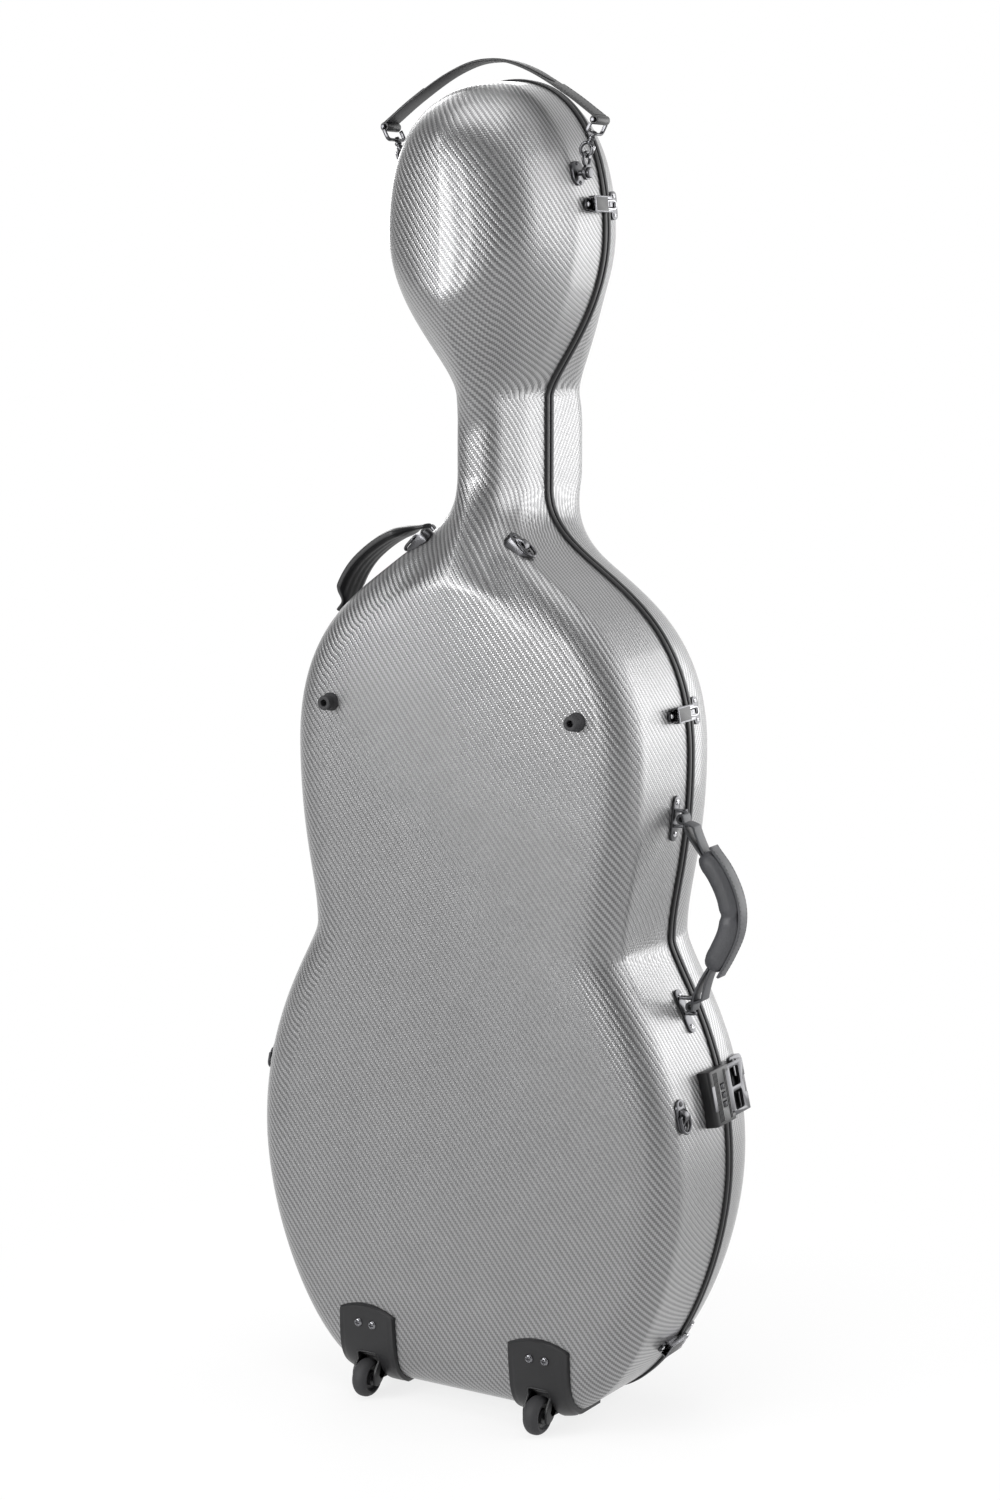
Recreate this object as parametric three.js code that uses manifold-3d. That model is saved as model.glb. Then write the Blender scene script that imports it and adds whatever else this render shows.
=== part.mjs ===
// Hard case for a cello, standing upright on two wheels and a rubber skid.
// Lengths are millimetres. In the case's own axes x points to the latch side, y from the back
// shell to the lid with the parting plane at zero, and z up from the floor.
import * as THREE from 'three';
import { mergeVertices } from 'three/addons/utils/BufferGeometryUtils.js';
import Module from 'manifold-3d';

const wasm = await Module();
wasm.setup();

// Outline in the parting plane: half widths, and how far each level stands over the one before
const BASE_Z = 13;
const BASE_FLAT_HALF = 112;
const LOWER_BOUT_HALF = 250;
const LOWER_BOUT_RISE = 259;
const WAIST_HALF = 182;
const WAIST_RISE = 225;
const UPPER_BOUT_HALF = 202;
const UPPER_BOUT_RISE = 187;
const NECK_HALF = 38;
const NECK_RISE = 263;
const NECK_LENGTH = 91;
const HEAD_HALF = 103;
const HEAD_RISE = 162;
const TOP_RISE = 150;

// Heights above the floor
const LOWER_BOUT_Z = BASE_Z + LOWER_BOUT_RISE;
const WAIST_Z = LOWER_BOUT_Z + WAIST_RISE;
const UPPER_BOUT_Z = WAIST_Z + UPPER_BOUT_RISE;
const NECK_LOW_Z = UPPER_BOUT_Z + NECK_RISE;
const NECK_HIGH_Z = NECK_LOW_Z + NECK_LENGTH;
const HEAD_Z = NECK_HIGH_Z + HEAD_RISE;
const TOP_Z = HEAD_Z + TOP_RISE;

// The depth runs over from the body to the neck, and from the neck to the head, between these heights
const SHOULDER_UNDER_NECK = 72;
const SHOULDER_OVER_NECK = 15;
const NAPE_UNDER_NECK = 30;
const NAPE_UNDER_HEAD = 50;
const SHOULDER_LOW_Z = NECK_LOW_Z - SHOULDER_UNDER_NECK;
const SHOULDER_HIGH_Z = NECK_LOW_Z + SHOULDER_OVER_NECK;
const NAPE_LOW_Z = NECK_HIGH_Z - NAPE_UNDER_NECK;
const NAPE_HIGH_Z = HEAD_Z - NAPE_UNDER_HEAD;

// Depth of each half: a drafted wall, a rounded corner and a low crown over the face
const BACK_WALL = { body: 102, neck: 35, head: 54 };
const BACK_CORNER_DEPTH = { body: 26, neck: 48, head: 84 };
const BACK_CORNER_INSET = { body: 46, neck: 18, head: 32 };
const BACK_CROWN = { body: 6, neck: 4, head: 9 };
const LID_WALL = { body: 13, neck: 58, head: 9 };
const LID_CORNER_DEPTH = { body: 84, neck: 38, head: 64 };
const LID_CORNER_INSET = { body: 46, neck: 19, head: 44 };
const LID_CROWN = { body: 46, neck: 8, head: 20 };
const BACK_DRAFT = 3;
const LID_DRAFT = 1;
const BACK_CREASE = THREE.MathUtils.degToRad(18);
const LID_CREASE = 0;
const BACK_BROW = THREE.MathUtils.degToRad(4);
const LID_BROW = THREE.MathUtils.degToRad(28);

// Shells, lining and the trim that grips the rim
const SHELL_WALL = 4.5;
const LINING_GAP = 0.6;
const LINING_THICKNESS = 8;
const SEAT_GAP = 0.3;
const PARTING_GAP = 1.6;
const TRIM_WEB = 1.4;
const TRIM_PROUD = 2.5;
const TRIM_WIDTH = 7.5;
const TRIM_LIP = 1.4;
const TRIM_LIP_WIDTH = 6;

// Blanks run this far into what they are cut back from, and bores this far past both faces
const CUT_OVERRUN = 20;
const BORE_OVERRUN = 1;

// Wheels and their housings
const WHEEL_X = 103;
const WHEEL_Y = -132;
const WHEEL_RADIUS = 20;
const WHEEL_WIDTH = 17;
const WHEEL_EDGE = 4;
const AXLE_RADIUS = 3;
const RUNNING_GAP = 0.4;
const WELL_CLEARANCE = 3;
const WELL_WALL = 2.6;
const HOUSING_HALF = 35;
const HOUSING_TOP_Z = 100;
const HOUSING_ARCH = 9;
const HOUSING_WRAP = 62;
const HOUSING_THICKNESS = 4;
const HOOD_REACH = 24;
const HOOD_LIFT = 6;
const HOOD_BACK_Y = -143;
const AXLE_BOSS_RADIUS = 8;

// Rubber feet on the back face, and the skid under the lid
const BACK_FOOT_INSET = 59;
const BACK_FOOT_OVER_BOUT = 47;
const BACK_FOOT_X = UPPER_BOUT_HALF - BACK_FOOT_INSET;
const BACK_FOOT_Z = UPPER_BOUT_Z + BACK_FOOT_OVER_BOUT;
const BACK_FOOT_RADIUS = 9.5;
const BACK_FOOT_TIP_RADIUS = 7.5;
const BACK_FOOT_HEIGHT = 15;
const BACK_FOOT_BORE = 3.4;
const SKID_HALF = 70;
const SKID_DEPTH = 26;
const SKID_Y = 46;
const SKID_ROUND = 9;

// Lid hinges, on a straight axis that touches both bouts
const HINGE_STANDOFF = 9;
const HINGE_OVER_LOWER_BOUT = 28;
const HINGE_OVER_UPPER_BOUT = 20;
const HINGE_LENGTH = 63;
const HINGE_BARREL_RADIUS = 3.6;
const HINGE_PIN_RADIUS = 1.8;
const HINGE_LEAF_THICKNESS = 2.4;
const HINGE_LEAF_REACH = 36;
const HINGE_LEAF_START = 10;
const HINGE_ARM_LAP = 3;
const HINGE_ARM_HALF = 1;
const HINGE_TRIM_GAP = 1;

// Draw latches
const LATCH_OVER_HEAD = 27;
const LATCH_OVER_UPPER_BOUT = 45;
const LATCH_OVER_BASE = 66;
const LATCH_HEAD_Z = HEAD_Z + LATCH_OVER_HEAD;
const LATCH_SHOULDER_Z = UPPER_BOUT_Z + LATCH_OVER_UPPER_BOUT;
const LATCH_BOTTOM_Z = BASE_Z + LATCH_OVER_BASE;
const LATCH_WIDTH = 16;
const LATCH_SHEET = 1.3;
const LATCH_REACH = 36;
const LATCH_PIVOT_Y = -3.2;
const LATCH_PIVOT_RISE = 5.3;
const LATCH_PIN_RADIUS = 1.1;
const LATCH_TOP_RISE = 8.8;
const LATCH_EAR = 7;
const LEVER_NOSE = 1.4;
const LEVER_FLANGE_KNEE = 0.7;
const LEVER_FLANGE_FOOT = 2.2;
const BAIL_PIVOT_OFFSET = 5;
const BAIL_HALF = 4.4;
const BAIL_BAR = 1.4;
const BAIL_END_Y = 12.4;
const BAIL_END_BAR = 1.6;
const BAIL_TOP = 0.6;
const BAIL_PIN_RADIUS = 0.8;
const BAIL_BOSS_HALF = 2;
const BAIL_SLOT_MARGIN = 3;
const KEEPER_START_Y = 9.2;
const KEEPER_REACH = 12;
const KEEPER_HALF = 14;
const KEEPER_HOOK_HALF = 2.6;
const KEEPER_HOOK_LAP = 0.6;

// Combination lock
const LOCK_OVER_LOWER_BOUT = 74;
const LOCK_Z = LOWER_BOUT_Z + LOCK_OVER_LOWER_BOUT;
const LOCK_HALF = 28;
const LOCK_REACH = 36;
const LOCK_RISE = 11;
const LOCK_EDGE = 4;
const LOCK_FIT = 0.5;
const LOCK_TRIM_GAP = 1;
const DIAL_RADIUS = 5.6;
const DIAL_WIDTH = 5;
const DIAL_PITCH = 9;
const DIAL_Y = -20;
const DIAL_RISE = 6.6;
const DIAL_AXLE_RADIUS = 1.2;
const DIAL_FLUTES = 10;
const DIAL_FLUTE_DEPTH = 0.6;
const HASP_PIVOT_Y = 34;
const HASP_PIVOT_RISE = 3.4;
const HASP_HALF = 26;
const HASP_RISE = 8.6;
const HASP_SHEET = 2.2;
const HASP_BORDER = 4.5;
const HASP_PIN_RADIUS = 1.6;
const HASP_KNUCKLE_WALL = 1.6;
const HASP_POST_WALL = 1.4;
const HASP_TONGUE_LAP = 1;

// Carrying handle on the latch side, hung on a pin at each end
const HANDLE_Y = -29;
const HANDLE_UNDER_WAIST = 59;
const HANDLE_UNDER_UPPER_BOUT = 57;
const HANDLE_LOW_STANDOFF = 12.6;
const HANDLE_HIGH_STANDOFF = 10.3;
const HANDLE_BOW = 48;
const HANDLE_STRAP_HALF = 3;
const HANDLE_STRAP_WIDTH_HALF = 8;
const HANDLE_GRIP_HALF = 12.5;
const HANDLE_GRIP_WIDTH_HALF = 13.5;
const HANDLE_PLATE_LENGTH = 46;
const HANDLE_PLATE_WIDTH = 13;
const HANDLE_PLATE_SHEET = 2;
const KNUCKLE_RADIUS = 5;
const KNUCKLE_HALF = 6;
const KNUCKLE_PIN_RADIUS = 2;
const CHEEK_RADIUS = 3.6;
const CHEEK_SHEET = 3;

// Padded handle on the other side's shoulder, hung in the same way
const SHOULDER_HANDLE_Y = -58;
const SHOULDER_HANDLE_OVER_BOUT = 131;
const SHOULDER_HANDLE_UNDER_NECK = 46;
const SHOULDER_HANDLE_LOW_STANDOFF = 11.2;
const SHOULDER_HANDLE_HIGH_STANDOFF = 13.2;
const SHOULDER_HANDLE_BOW = 27;
const SHOULDER_HANDLE_WIDTH_HALF = 24;
const SHOULDER_HANDLE_HALF = 5;

// Strap lugs and their rings
const LUG_LENGTH = 34;
const LUG_WIDTH = 19;
const LUG_SHEET = 2.2;
const LUG_BRIDGE_RISE = 8;
const LUG_BRIDGE_HALF = 4.5;
const RING_WIRE = 1.6;
const RING_HALF = 9;
const RING_LENGTH = 17;
const UPPER_LUG_UNDER_NECK = 50;
const LOWER_LUG_OVER_BOUT = 70;
const UPPER_LUG = { y: -92, z: NECK_LOW_Z - UPPER_LUG_UNDER_NECK };
const LOWER_LUG = { y: -90, z: LOWER_BOUT_Z + LOWER_LUG_OVER_BOUT };

// Strap over the head: a stud on each side, a swivel link, a snap hook and the strap
const STUD_Y = -46;
const STUD_OVER_HEAD = 57;
const STUD_ROOT = 13;
const STUD_REACH = 7;
const STUD_Z = HEAD_Z + STUD_OVER_HEAD;
const STUD_ROOT_X = HEAD_HALF - STUD_ROOT;
const STUD_END_X = HEAD_HALF + STUD_REACH;
const STUD_RADIUS = 3;
const STUD_HEAD_RADIUS = 5.5;
const STUD_HEAD_SHEET = 2.4;
const STUD_PLATE = 20;
const LINK_SHEET = 3.8;
const LINK_EYE_RADIUS = 7;
const LINK_LOOP_RADIUS = 6.5;
const LINK_LOOP_RISE = 13;
const LINK_WIRE = 1.7;
const HOOK_RADIUS = 6.5;
const HOOK_WIRE = 1.8;
const HOOK_LEAN = THREE.MathUtils.degToRad(28);
const HOOK_BARREL_RADIUS = 3.5;
const HOOK_BARREL_END = 18;
const HOOK_BAR_RISE = 31;
const HOOK_BAR_RADIUS = 1.9;
const HOOK_FRAME_HALF = 15.5;
const HEAD_STRAP_WIDTH_HALF = 12.5;
const HEAD_STRAP_HALF = 2.2;
const HEAD_STRAP_LIFT = 17;
const HEAD_STRAP_SHOULDER_INSET = 15;
const HEAD_STRAP_SHOULDER_DROP = 7;
const HEAD_STRAP_UPPER_HALF = 48;
const HEAD_STRAP_UPPER_LIFT = 11;
const HEAD_STRAP_PEAK_Z = TOP_Z + HEAD_STRAP_LIFT;
const HEAD_STRAP_SHOULDER = {
  x: HEAD_HALF - HEAD_STRAP_SHOULDER_INSET,
  z: TOP_Z - HEAD_STRAP_SHOULDER_DROP,
};
const HEAD_STRAP_UPPER = { x: HEAD_STRAP_UPPER_HALF, z: TOP_Z + HEAD_STRAP_UPPER_LIFT };

// Padding inside
const CRADLE_MARGIN = 8;
const CRADLE_LOW_Z = NECK_LOW_Z + CRADLE_MARGIN;
const CRADLE_HIGH_Z = NECK_HIGH_Z - CRADLE_MARGIN;
const CRADLE_NECK_RADIUS = 18;
const CRADLE_TOP_Y = -14;
const PAD_SPINE_HALF = 34;
const PAD_WING_HALF = 118;
const PAD_UNDER_LOWER_BOUT = 57;
const PAD_OVER_UPPER_BOUT = 31;
const PAD_LOW_Z = LOWER_BOUT_Z - PAD_UNDER_LOWER_BOUT;
const PAD_HIGH_Z = UPPER_BOUT_Z + PAD_OVER_UPPER_BOUT;
const PAD_WING_DEPTH = 46;
const PAD_RISE = 20;

// Bow holders inside the lid
const BOW_X = 11;
const BOW_HOLDER_OVER_NECK = 38;
const BOW_HOLDER_Z = NECK_LOW_Z + BOW_HOLDER_OVER_NECK;
const BOW_HOLDER_LENGTH = 34;
const BOW_HOLDER_Y = 56;
const BOW_SOCKET_HALF = 5;
const BOW_SOCKET_WALL = 4;
const BOW_SOCKET_DEPTH = 20;
const BOW_SPINNER_OVER_BOUT = 58;
const BOW_SPINNER_Z = LOWER_BOUT_Z + BOW_SPINNER_OVER_BOUT;
const BOW_SPINNER_HALF = 42;
const BOW_SPINNER_WIDTH = 15;
const BOW_SPINNER_THICKNESS = 6;
const BOW_POST_RADIUS = 4.5;
const BOW_POST_HEIGHT = 26;

// Facets
const ROUND = 12;
const SMALL_ROUND = 8;
const FINE_ROUND = 20;

const V2 = THREE.Vector2;
const V3 = THREE.Vector3;

const finish = (color, roughness, metalness) =>
  new THREE.MeshStandardMaterial({ color, roughness, metalness });

const FINISHES = {
  twillShell: () => finish(0x96989a, 0.32, 0.25),
  blackTrim: () => finish(0x24272b, 0.38, 0.2),
  plush: () => finish(0x2b2d31, 0.95, 0),
  foam: () => finish(0x35373c, 0.9, 0),
  mouldedBlack: () => finish(0x26272a, 0.5, 0),
  rubber: () => finish(0x2d2e31, 0.8, 0),
  gunmetal: () => finish(0x4c4e52, 0.28, 0.85),
  chrome: () => finish(0xb9bcc0, 0.15, 1),
  leather: () => finish(0x3d3f43, 0.6, 0),
};

// Outline

function swell(from, to, startShare, endShare) {
  const rise = to.y - from.y;
  const start = new V2(from.x, from.y + rise * startShare);
  const end = new V2(to.x, to.y - rise * endShare);
  return new THREE.CubicBezierCurve(from, start, end, to);
}

function outlineStretches() {
  const base = new V2(0, BASE_Z);
  const corner = new V2(BASE_FLAT_HALF, BASE_Z);
  const lower = new V2(LOWER_BOUT_HALF, LOWER_BOUT_Z);
  const waist = new V2(WAIST_HALF, WAIST_Z);
  const upper = new V2(UPPER_BOUT_HALF, UPPER_BOUT_Z);
  const neckLow = new V2(NECK_HALF, NECK_LOW_Z);
  const neckHigh = new V2(NECK_HALF, NECK_HIGH_Z);
  const head = new V2(HEAD_HALF, HEAD_Z);
  const top = new V2(0, TOP_Z);
  const cornerOutShare = 0.5;
  const cornerUpShare = 0.44;
  const cornerHandle = new V2(
    corner.x + (lower.x - corner.x) * cornerOutShare,
    BASE_Z,
  );
  const boutHandle = new V2(lower.x, lower.y - (lower.y - BASE_Z) * cornerUpShare);
  const headUpShare = 0.62;
  const headOverShare = 0.6;
  const headHandle = new V2(head.x, head.y + (top.y - head.y) * headUpShare);
  const topHandle = new V2(head.x * headOverShare, top.y);
  return [
    { curve: new THREE.LineCurve(base, corner), steps: 1 },
    { curve: new THREE.CubicBezierCurve(corner, cornerHandle, boutHandle, lower), steps: 6 },
    { curve: swell(lower, waist, 0.57, 0.1), steps: 5 },
    { curve: swell(waist, upper, 0.236, 0.54), steps: 4 },
    { curve: swell(upper, neckLow, 0.7, 0.34), steps: 10 },
    { curve: new THREE.LineCurve(neckLow, neckHigh), steps: 1 },
    { curve: swell(neckHigh, head, 0.15, 0.5), steps: 6 },
    { curve: new THREE.CubicBezierCurve(head, headHandle, topHandle, top), steps: 5 },
  ];
}

const STRETCHES = outlineStretches();

function outlineSample(curve, share) {
  const point = curve.getPoint(share);
  const tangent = curve.getTangent(share);
  return { point, inward: new V2(-tangent.y, tangent.x) };
}

// One station for each point of the closed outline, from the base up the latch side and down the other
function traceOutline() {
  const right = [];
  for (const { curve, steps } of STRETCHES) {
    for (let step = 0; step < steps; step += 1) {
      right.push(outlineSample(curve, step / steps));
    }
  }
  right.push({ point: new V2(0, TOP_Z), inward: new V2(0, -1) });
  right[0].inward.set(0, 1);
  const left = right.slice(1, -1).reverse();
  const mirrored = left.map(({ point, inward }) => ({
    point: new V2(-point.x, point.y),
    inward: new V2(-inward.x, inward.y),
  }));
  return [...right, ...mirrored];
}

const OUTLINE = traceOutline();

// Where the outline turns tightly its corner is drawn in less, so that the inner rings never cross
const EASE_PASSES = 4;
const TIGHT_SHARE = 0.62;

function turningRadius(index) {
  const count = OUTLINE.length;
  const before = OUTLINE[(index + count - 1) % count];
  const after = OUTLINE[(index + 1) % count];
  const turn = before.inward.x * after.inward.y - before.inward.y * after.inward.x;
  const length = before.point.distanceTo(after.point);
  return turn > 0 ? length / turn : Infinity;
}

function traceEase() {
  const widest = Math.max(BACK_CORNER_INSET.body, LID_CORNER_INSET.body);
  let ease = OUTLINE.map((station, index) =>
    Math.min(1, (TIGHT_SHARE * turningRadius(index)) / widest));
  for (let pass = 0; pass < EASE_PASSES; pass += 1) {
    const last = ease;
    const count = last.length;
    ease = last.map((value, index) =>
      (last[(index + count - 1) % count] + 2 * value + last[(index + 1) % count]) / 4);
  }
  return ease;
}

const EASE = traceEase();

// The outline's point at a height above the base corner, on the latch side
function outlineAt(z) {
  const stretch = STRETCHES.slice(1).find(({ curve }) => curve.getPoint(1).y >= z);
  let low = 0;
  let high = 1;
  const halvings = 40;
  for (let turn = 0; turn < halvings; turn += 1) {
    const middle = (low + high) / 2;
    if (stretch.curve.getPoint(middle).y < z) {
      low = middle;
    } else {
      high = middle;
    }
  }
  return outlineSample(stretch.curve, low);
}

// Depth of the halves

function alongCase(z, { body, neck, head }) {
  const toNeck = THREE.MathUtils.smoothstep(z, SHOULDER_LOW_Z, SHOULDER_HIGH_Z);
  const toHead = THREE.MathUtils.smoothstep(z, NAPE_LOW_Z, NAPE_HIGH_Z);
  return body + (neck - body) * toNeck + (head - neck) * toHead;
}

const BACK = {
  side: -1,
  wall: BACK_WALL,
  cornerDepth: BACK_CORNER_DEPTH,
  cornerInset: BACK_CORNER_INSET,
  crown: BACK_CROWN,
  draft: BACK_DRAFT,
  crease: BACK_CREASE,
  brow: BACK_BROW,
  crownShares: [0.5],
};

const LID = {
  side: 1,
  wall: LID_WALL,
  cornerDepth: LID_CORNER_DEPTH,
  cornerInset: LID_CORNER_INSET,
  crown: LID_CROWN,
  draft: LID_DRAFT,
  crease: LID_CREASE,
  brow: LID_BROW,
  crownShares: [0.28, 0.6],
};

// A ring lies at one place of the profile all round the outline, moved into the case by skin

function ringOf(half, order, profile) {
  const points = OUTLINE.map(({ point, inward }, index) => {
    const { inset, depth } = profile(point.y, index);
    return new V3(point.x + inward.x * inset, half.side * depth, point.y + inward.y * inset);
  });
  return { order, points };
}

function wallRing(half, depth, skin) {
  return ringOf(half, 0, (z) => {
    const wall = alongCase(z, half.wall);
    return { inset: (half.draft * depth) / wall + skin, depth };
  });
}

function cornerPoint(half, index, share, skin) {
  const z = OUTLINE[index].point.y;
  const wall = alongCase(z, half.wall);
  const deep = alongCase(z, half.cornerDepth);
  const wide = alongCase(z, half.cornerInset) * EASE[index];
  const startShare = 0.55;
  const endShare = 0.58;
  const curve = new THREE.CubicBezierCurve(
    new V2(half.draft, wall),
    new V2(
      half.draft + wide * startShare * Math.sin(half.crease),
      wall + deep * startShare * Math.cos(half.crease),
    ),
    new V2(
      half.draft + wide * (1 - endShare * Math.cos(half.brow)),
      wall + deep - wide * endShare * Math.sin(half.brow),
    ),
    new V2(half.draft + wide, wall + deep),
  );
  const point = curve.getPoint(share);
  const tangent = curve.getTangent(share);
  return { inset: point.x + tangent.y * skin, depth: point.y - tangent.x * skin };
}

function cornerRing(half, share, skin) {
  return ringOf(half, 1 + share, (z, index) => cornerPoint(half, index, share, skin));
}

// The face closes over a spine on the centre line, so that the crown has no seam
const SPINE_LOW_MARGIN = 130;
const SPINE_HIGH_MARGIN = 75;

// Each half's spine follows the height of its own face ring, drawn in at both ends
function spineOf(half) {
  const last = OUTLINE.length / 2;
  const edges = OUTLINE.map(({ point, inward }, index) =>
    point.y + inward.y * cornerPoint(half, index, 1, 0).inset);
  return edges.map((edge, index) => {
    const place = index <= last ? index : OUTLINE.length - index;
    const heightShare = (edge - edges[0]) / (edges[last] - edges[0]);
    const spreadShare = 0.04;
    const share = heightShare * (1 - spreadShare) + (place / last) * spreadShare;
    return THREE.MathUtils.lerp(BASE_Z + SPINE_LOW_MARGIN, TOP_Z - SPINE_HIGH_MARGIN, share);
  });
}

const SPINES = new Map([BACK, LID].map((half) => [half, spineOf(half)]));

function faceRing(half, share, skin) {
  const spine = SPINES.get(half);
  const points = OUTLINE.map(({ point, inward }, index) => {
    const edge = cornerPoint(half, index, 1, skin);
    const crown = alongCase(point.y, half.crown) * (1 - (1 - share) ** 2);
    const x = (point.x + inward.x * edge.inset) * (1 - share);
    const edgeZ = point.y + inward.y * edge.inset;
    const z = THREE.MathUtils.lerp(edgeZ, spine[index], share);
    return new V3(x, half.side * (edge.depth + crown), z);
  });
  return { order: 2 + share, points };
}

function faceRings(half, skin) {
  return [0, ...half.crownShares, 1].map((share) => faceRing(half, share, skin));
}

function partingSpine(half) {
  return { order: -1, points: SPINES.get(half).map((z) => new V3(0, 0, z)) };
}

// Solids

function signedVolume(position, index) {
  const corners = [new V3(), new V3(), new V3()];
  let volume = 0;
  for (let face = 0; face < index.length; face += 3) {
    corners.forEach((corner, turn) => corner.fromBufferAttribute(position, index[face + turn]));
    volume += corners[0].dot(corners[1].cross(corners[2]));
  }
  return volume;
}

function solid(geometry) {
  const bare = new THREE.BufferGeometry();
  bare.setAttribute('position', geometry.getAttribute('position').clone());
  bare.setIndex(geometry.index ? geometry.index.clone() : null);
  const merged = mergeVertices(bare);
  const position = merged.getAttribute('position');
  const index = [];
  for (let face = 0; face < merged.index.count; face += 3) {
    const [a, b, c] = [0, 1, 2].map((turn) => merged.index.getX(face + turn));
    if (a !== b && b !== c && c !== a) {
      index.push(a, b, c);
    }
  }
  if (signedVolume(position, index) < 0) {
    index.reverse();
  }
  const mesh = new wasm.Mesh({
    numProp: 3,
    vertProperties: new Float32Array(position.array),
    triVerts: new Uint32Array(index),
  });
  return new wasm.Manifold(mesh);
}

function geometryOf(body) {
  const mesh = body.getMesh();
  const geometry = new THREE.BufferGeometry();
  geometry.setAttribute('position', new THREE.BufferAttribute(mesh.vertProperties, 3));
  geometry.setIndex(new THREE.BufferAttribute(mesh.triVerts, 1));
  geometry.computeVertexNormals();
  return geometry;
}

// Rings joined in turn, from one that closes on itself to another, or round to the first again.
// The order of two rings picks the diagonal of their faces, so that skins side by side stay apart.
function loft(rings, endless = false) {
  const around = rings[0].points.length;
  const points = rings.flatMap((ring) => ring.points);
  const index = [];
  const bands = endless ? rings.length : rings.length - 1;
  for (let band = 0; band < bands; band += 1) {
    const after = (band + 1) % rings.length;
    const near = band * around;
    const far = after * around;
    const falling = rings[after].order < rings[band].order;
    for (let step = 0; step < around; step += 1) {
      const next = (step + 1) % around;
      if (falling) {
        index.push(near + step, near + next, far + step);
        index.push(near + next, far + next, far + step);
      } else {
        index.push(near + step, near + next, far + next);
        index.push(near + step, far + next, far + step);
      }
    }
  }
  const geometry = new THREE.BufferGeometry().setFromPoints(points);
  geometry.setIndex(index);
  return solid(geometry);
}

function capped(rings) {
  const centreOf = (ring) => {
    const centre = new V3();
    ring.forEach((point) => centre.addScaledVector(point, 1 / ring.length));
    return ring.map(() => centre.clone());
  };
  const all = [centreOf(rings[0]), ...rings, centreOf(rings.at(-1))];
  return loft(all.map((points) => ({ points })));
}

function box(low, high) {
  const size = high.clone().sub(low);
  const geometry = new THREE.BoxGeometry(size.x, size.y, size.z);
  const middle = low.clone().add(high).multiplyScalar(0.5);
  return solid(geometry.translate(middle.x, middle.y, middle.z));
}

function shapeOf(points) {
  return new THREE.Shape(points.map(([a, b]) => new V2(a, b)));
}

function roundedShape(width, height, radius) {
  const shape = new THREE.Shape();
  const halfWidth = width / 2 - radius;
  const halfHeight = height / 2 - radius;
  const quarter = Math.PI / 2;
  shape.absarc(halfWidth, halfHeight, radius, 0, quarter);
  shape.absarc(-halfWidth, halfHeight, radius, quarter, 2 * quarter);
  shape.absarc(-halfWidth, -halfHeight, radius, 2 * quarter, 3 * quarter);
  shape.absarc(halfWidth, -halfHeight, radius, 3 * quarter, 4 * quarter);
  return shape;
}

// Fittings are drawn in wall axes: x out of the wall, y toward the lid, z up along the outline

function extruded(shape, length, curveSegments = 3) {
  return new THREE.ExtrudeGeometry(shape, { depth: length, bevelEnabled: false, curveSegments });
}

// A profile seen along the outline, in x and y, between two heights
function prism(shape, low, high) {
  return solid(extruded(shape, high - low).translate(0, 0, low));
}

// A plate on the wall, its shape in y and z, between two rises
function plate(shape, low, high, at = new V2()) {
  const toWall = new THREE.Matrix4().makeBasis(
    new V3(0, 1, 0),
    new V3(0, 0, 1),
    new V3(1, 0, 0),
  );
  const geometry = extruded(shape, high - low).applyMatrix4(toWall);
  return solid(geometry.translate(low, at.x, at.y));
}

const ALONG = {
  x: (geometry) => geometry.rotateZ(-Math.PI / 2),
  y: (geometry) => geometry,
  z: (geometry) => geometry.rotateX(Math.PI / 2),
};

function rod(radius, low, high, axis, at = new V3(), sides = ROUND) {
  const geometry = ALONG[axis](new THREE.CylinderGeometry(radius, radius, high - low, sides));
  const middle = at.clone();
  middle[axis] += (low + high) / 2;
  return solid(geometry.translate(middle.x, middle.y, middle.z));
}

function lathed(profile, sides = ROUND) {
  return solid(new THREE.LatheGeometry(profile.map(([r, h]) => new V2(r, h)), sides));
}

const join = (...bodies) => bodies.reduce((whole, body) => whole.add(body));
const moved = (body, place) => body.transform(place.elements);

// A bar of oval section along a curve in the plane of x and z, its half sizes given along the way
function sweptBar(curve, steps, sides, halfSizes) {
  const rings = [];
  for (let step = 0; step <= steps; step += 1) {
    const share = step / steps;
    const centre = curve.getPoint(share);
    const tangent = curve.getTangent(share);
    const out = new V3(tangent.z, 0, -tangent.x).normalize();
    const { thick, wide, square = 1 } = halfSizes(share);
    const ring = [];
    for (let side = 0; side < sides; side += 1) {
      const turn = ((side + 0.5) / sides) * 2 * Math.PI;
      const across = Math.sign(Math.cos(turn)) * Math.abs(Math.cos(turn)) ** square * thick;
      const along = Math.sign(Math.sin(turn)) * Math.abs(Math.sin(turn)) ** square * wide;
      ring.push(centre.clone().addScaledVector(out, across).add(new V3(0, along, 0)));
    }
    rings.push(ring);
  }
  return capped(rings);
}

// Places

function standingOn({ point, inward }, y) {
  const half = y < 0 ? BACK : LID;
  const inset = (half.draft * Math.abs(y)) / alongCase(point.y, half.wall);
  const out = new V3(-inward.x, 0, -inward.y);
  const toLid = new V3(0, 1, 0);
  const place = new THREE.Matrix4().makeBasis(out, toLid, out.clone().cross(toLid));
  return place.setPosition(point.x + inward.x * inset, y, point.y + inward.y * inset);
}

function wallPlace(z, y = 0) {
  return standingOn(outlineAt(z), y);
}

// The place on the latch side's wall that is nearest to a point beside it
function nearPlace({ x, z }, y) {
  const steps = 60;
  const target = new V2(x, z);
  const samples = STRETCHES.flatMap(({ curve }) =>
    Array.from({ length: steps }, (blank, step) => outlineSample(curve, step / steps)));
  const nearest = samples.reduce((best, sample) =>
    (sample.point.distanceTo(target) < best.point.distanceTo(target) ? sample : best));
  return standingOn(nearest, y);
}

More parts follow.
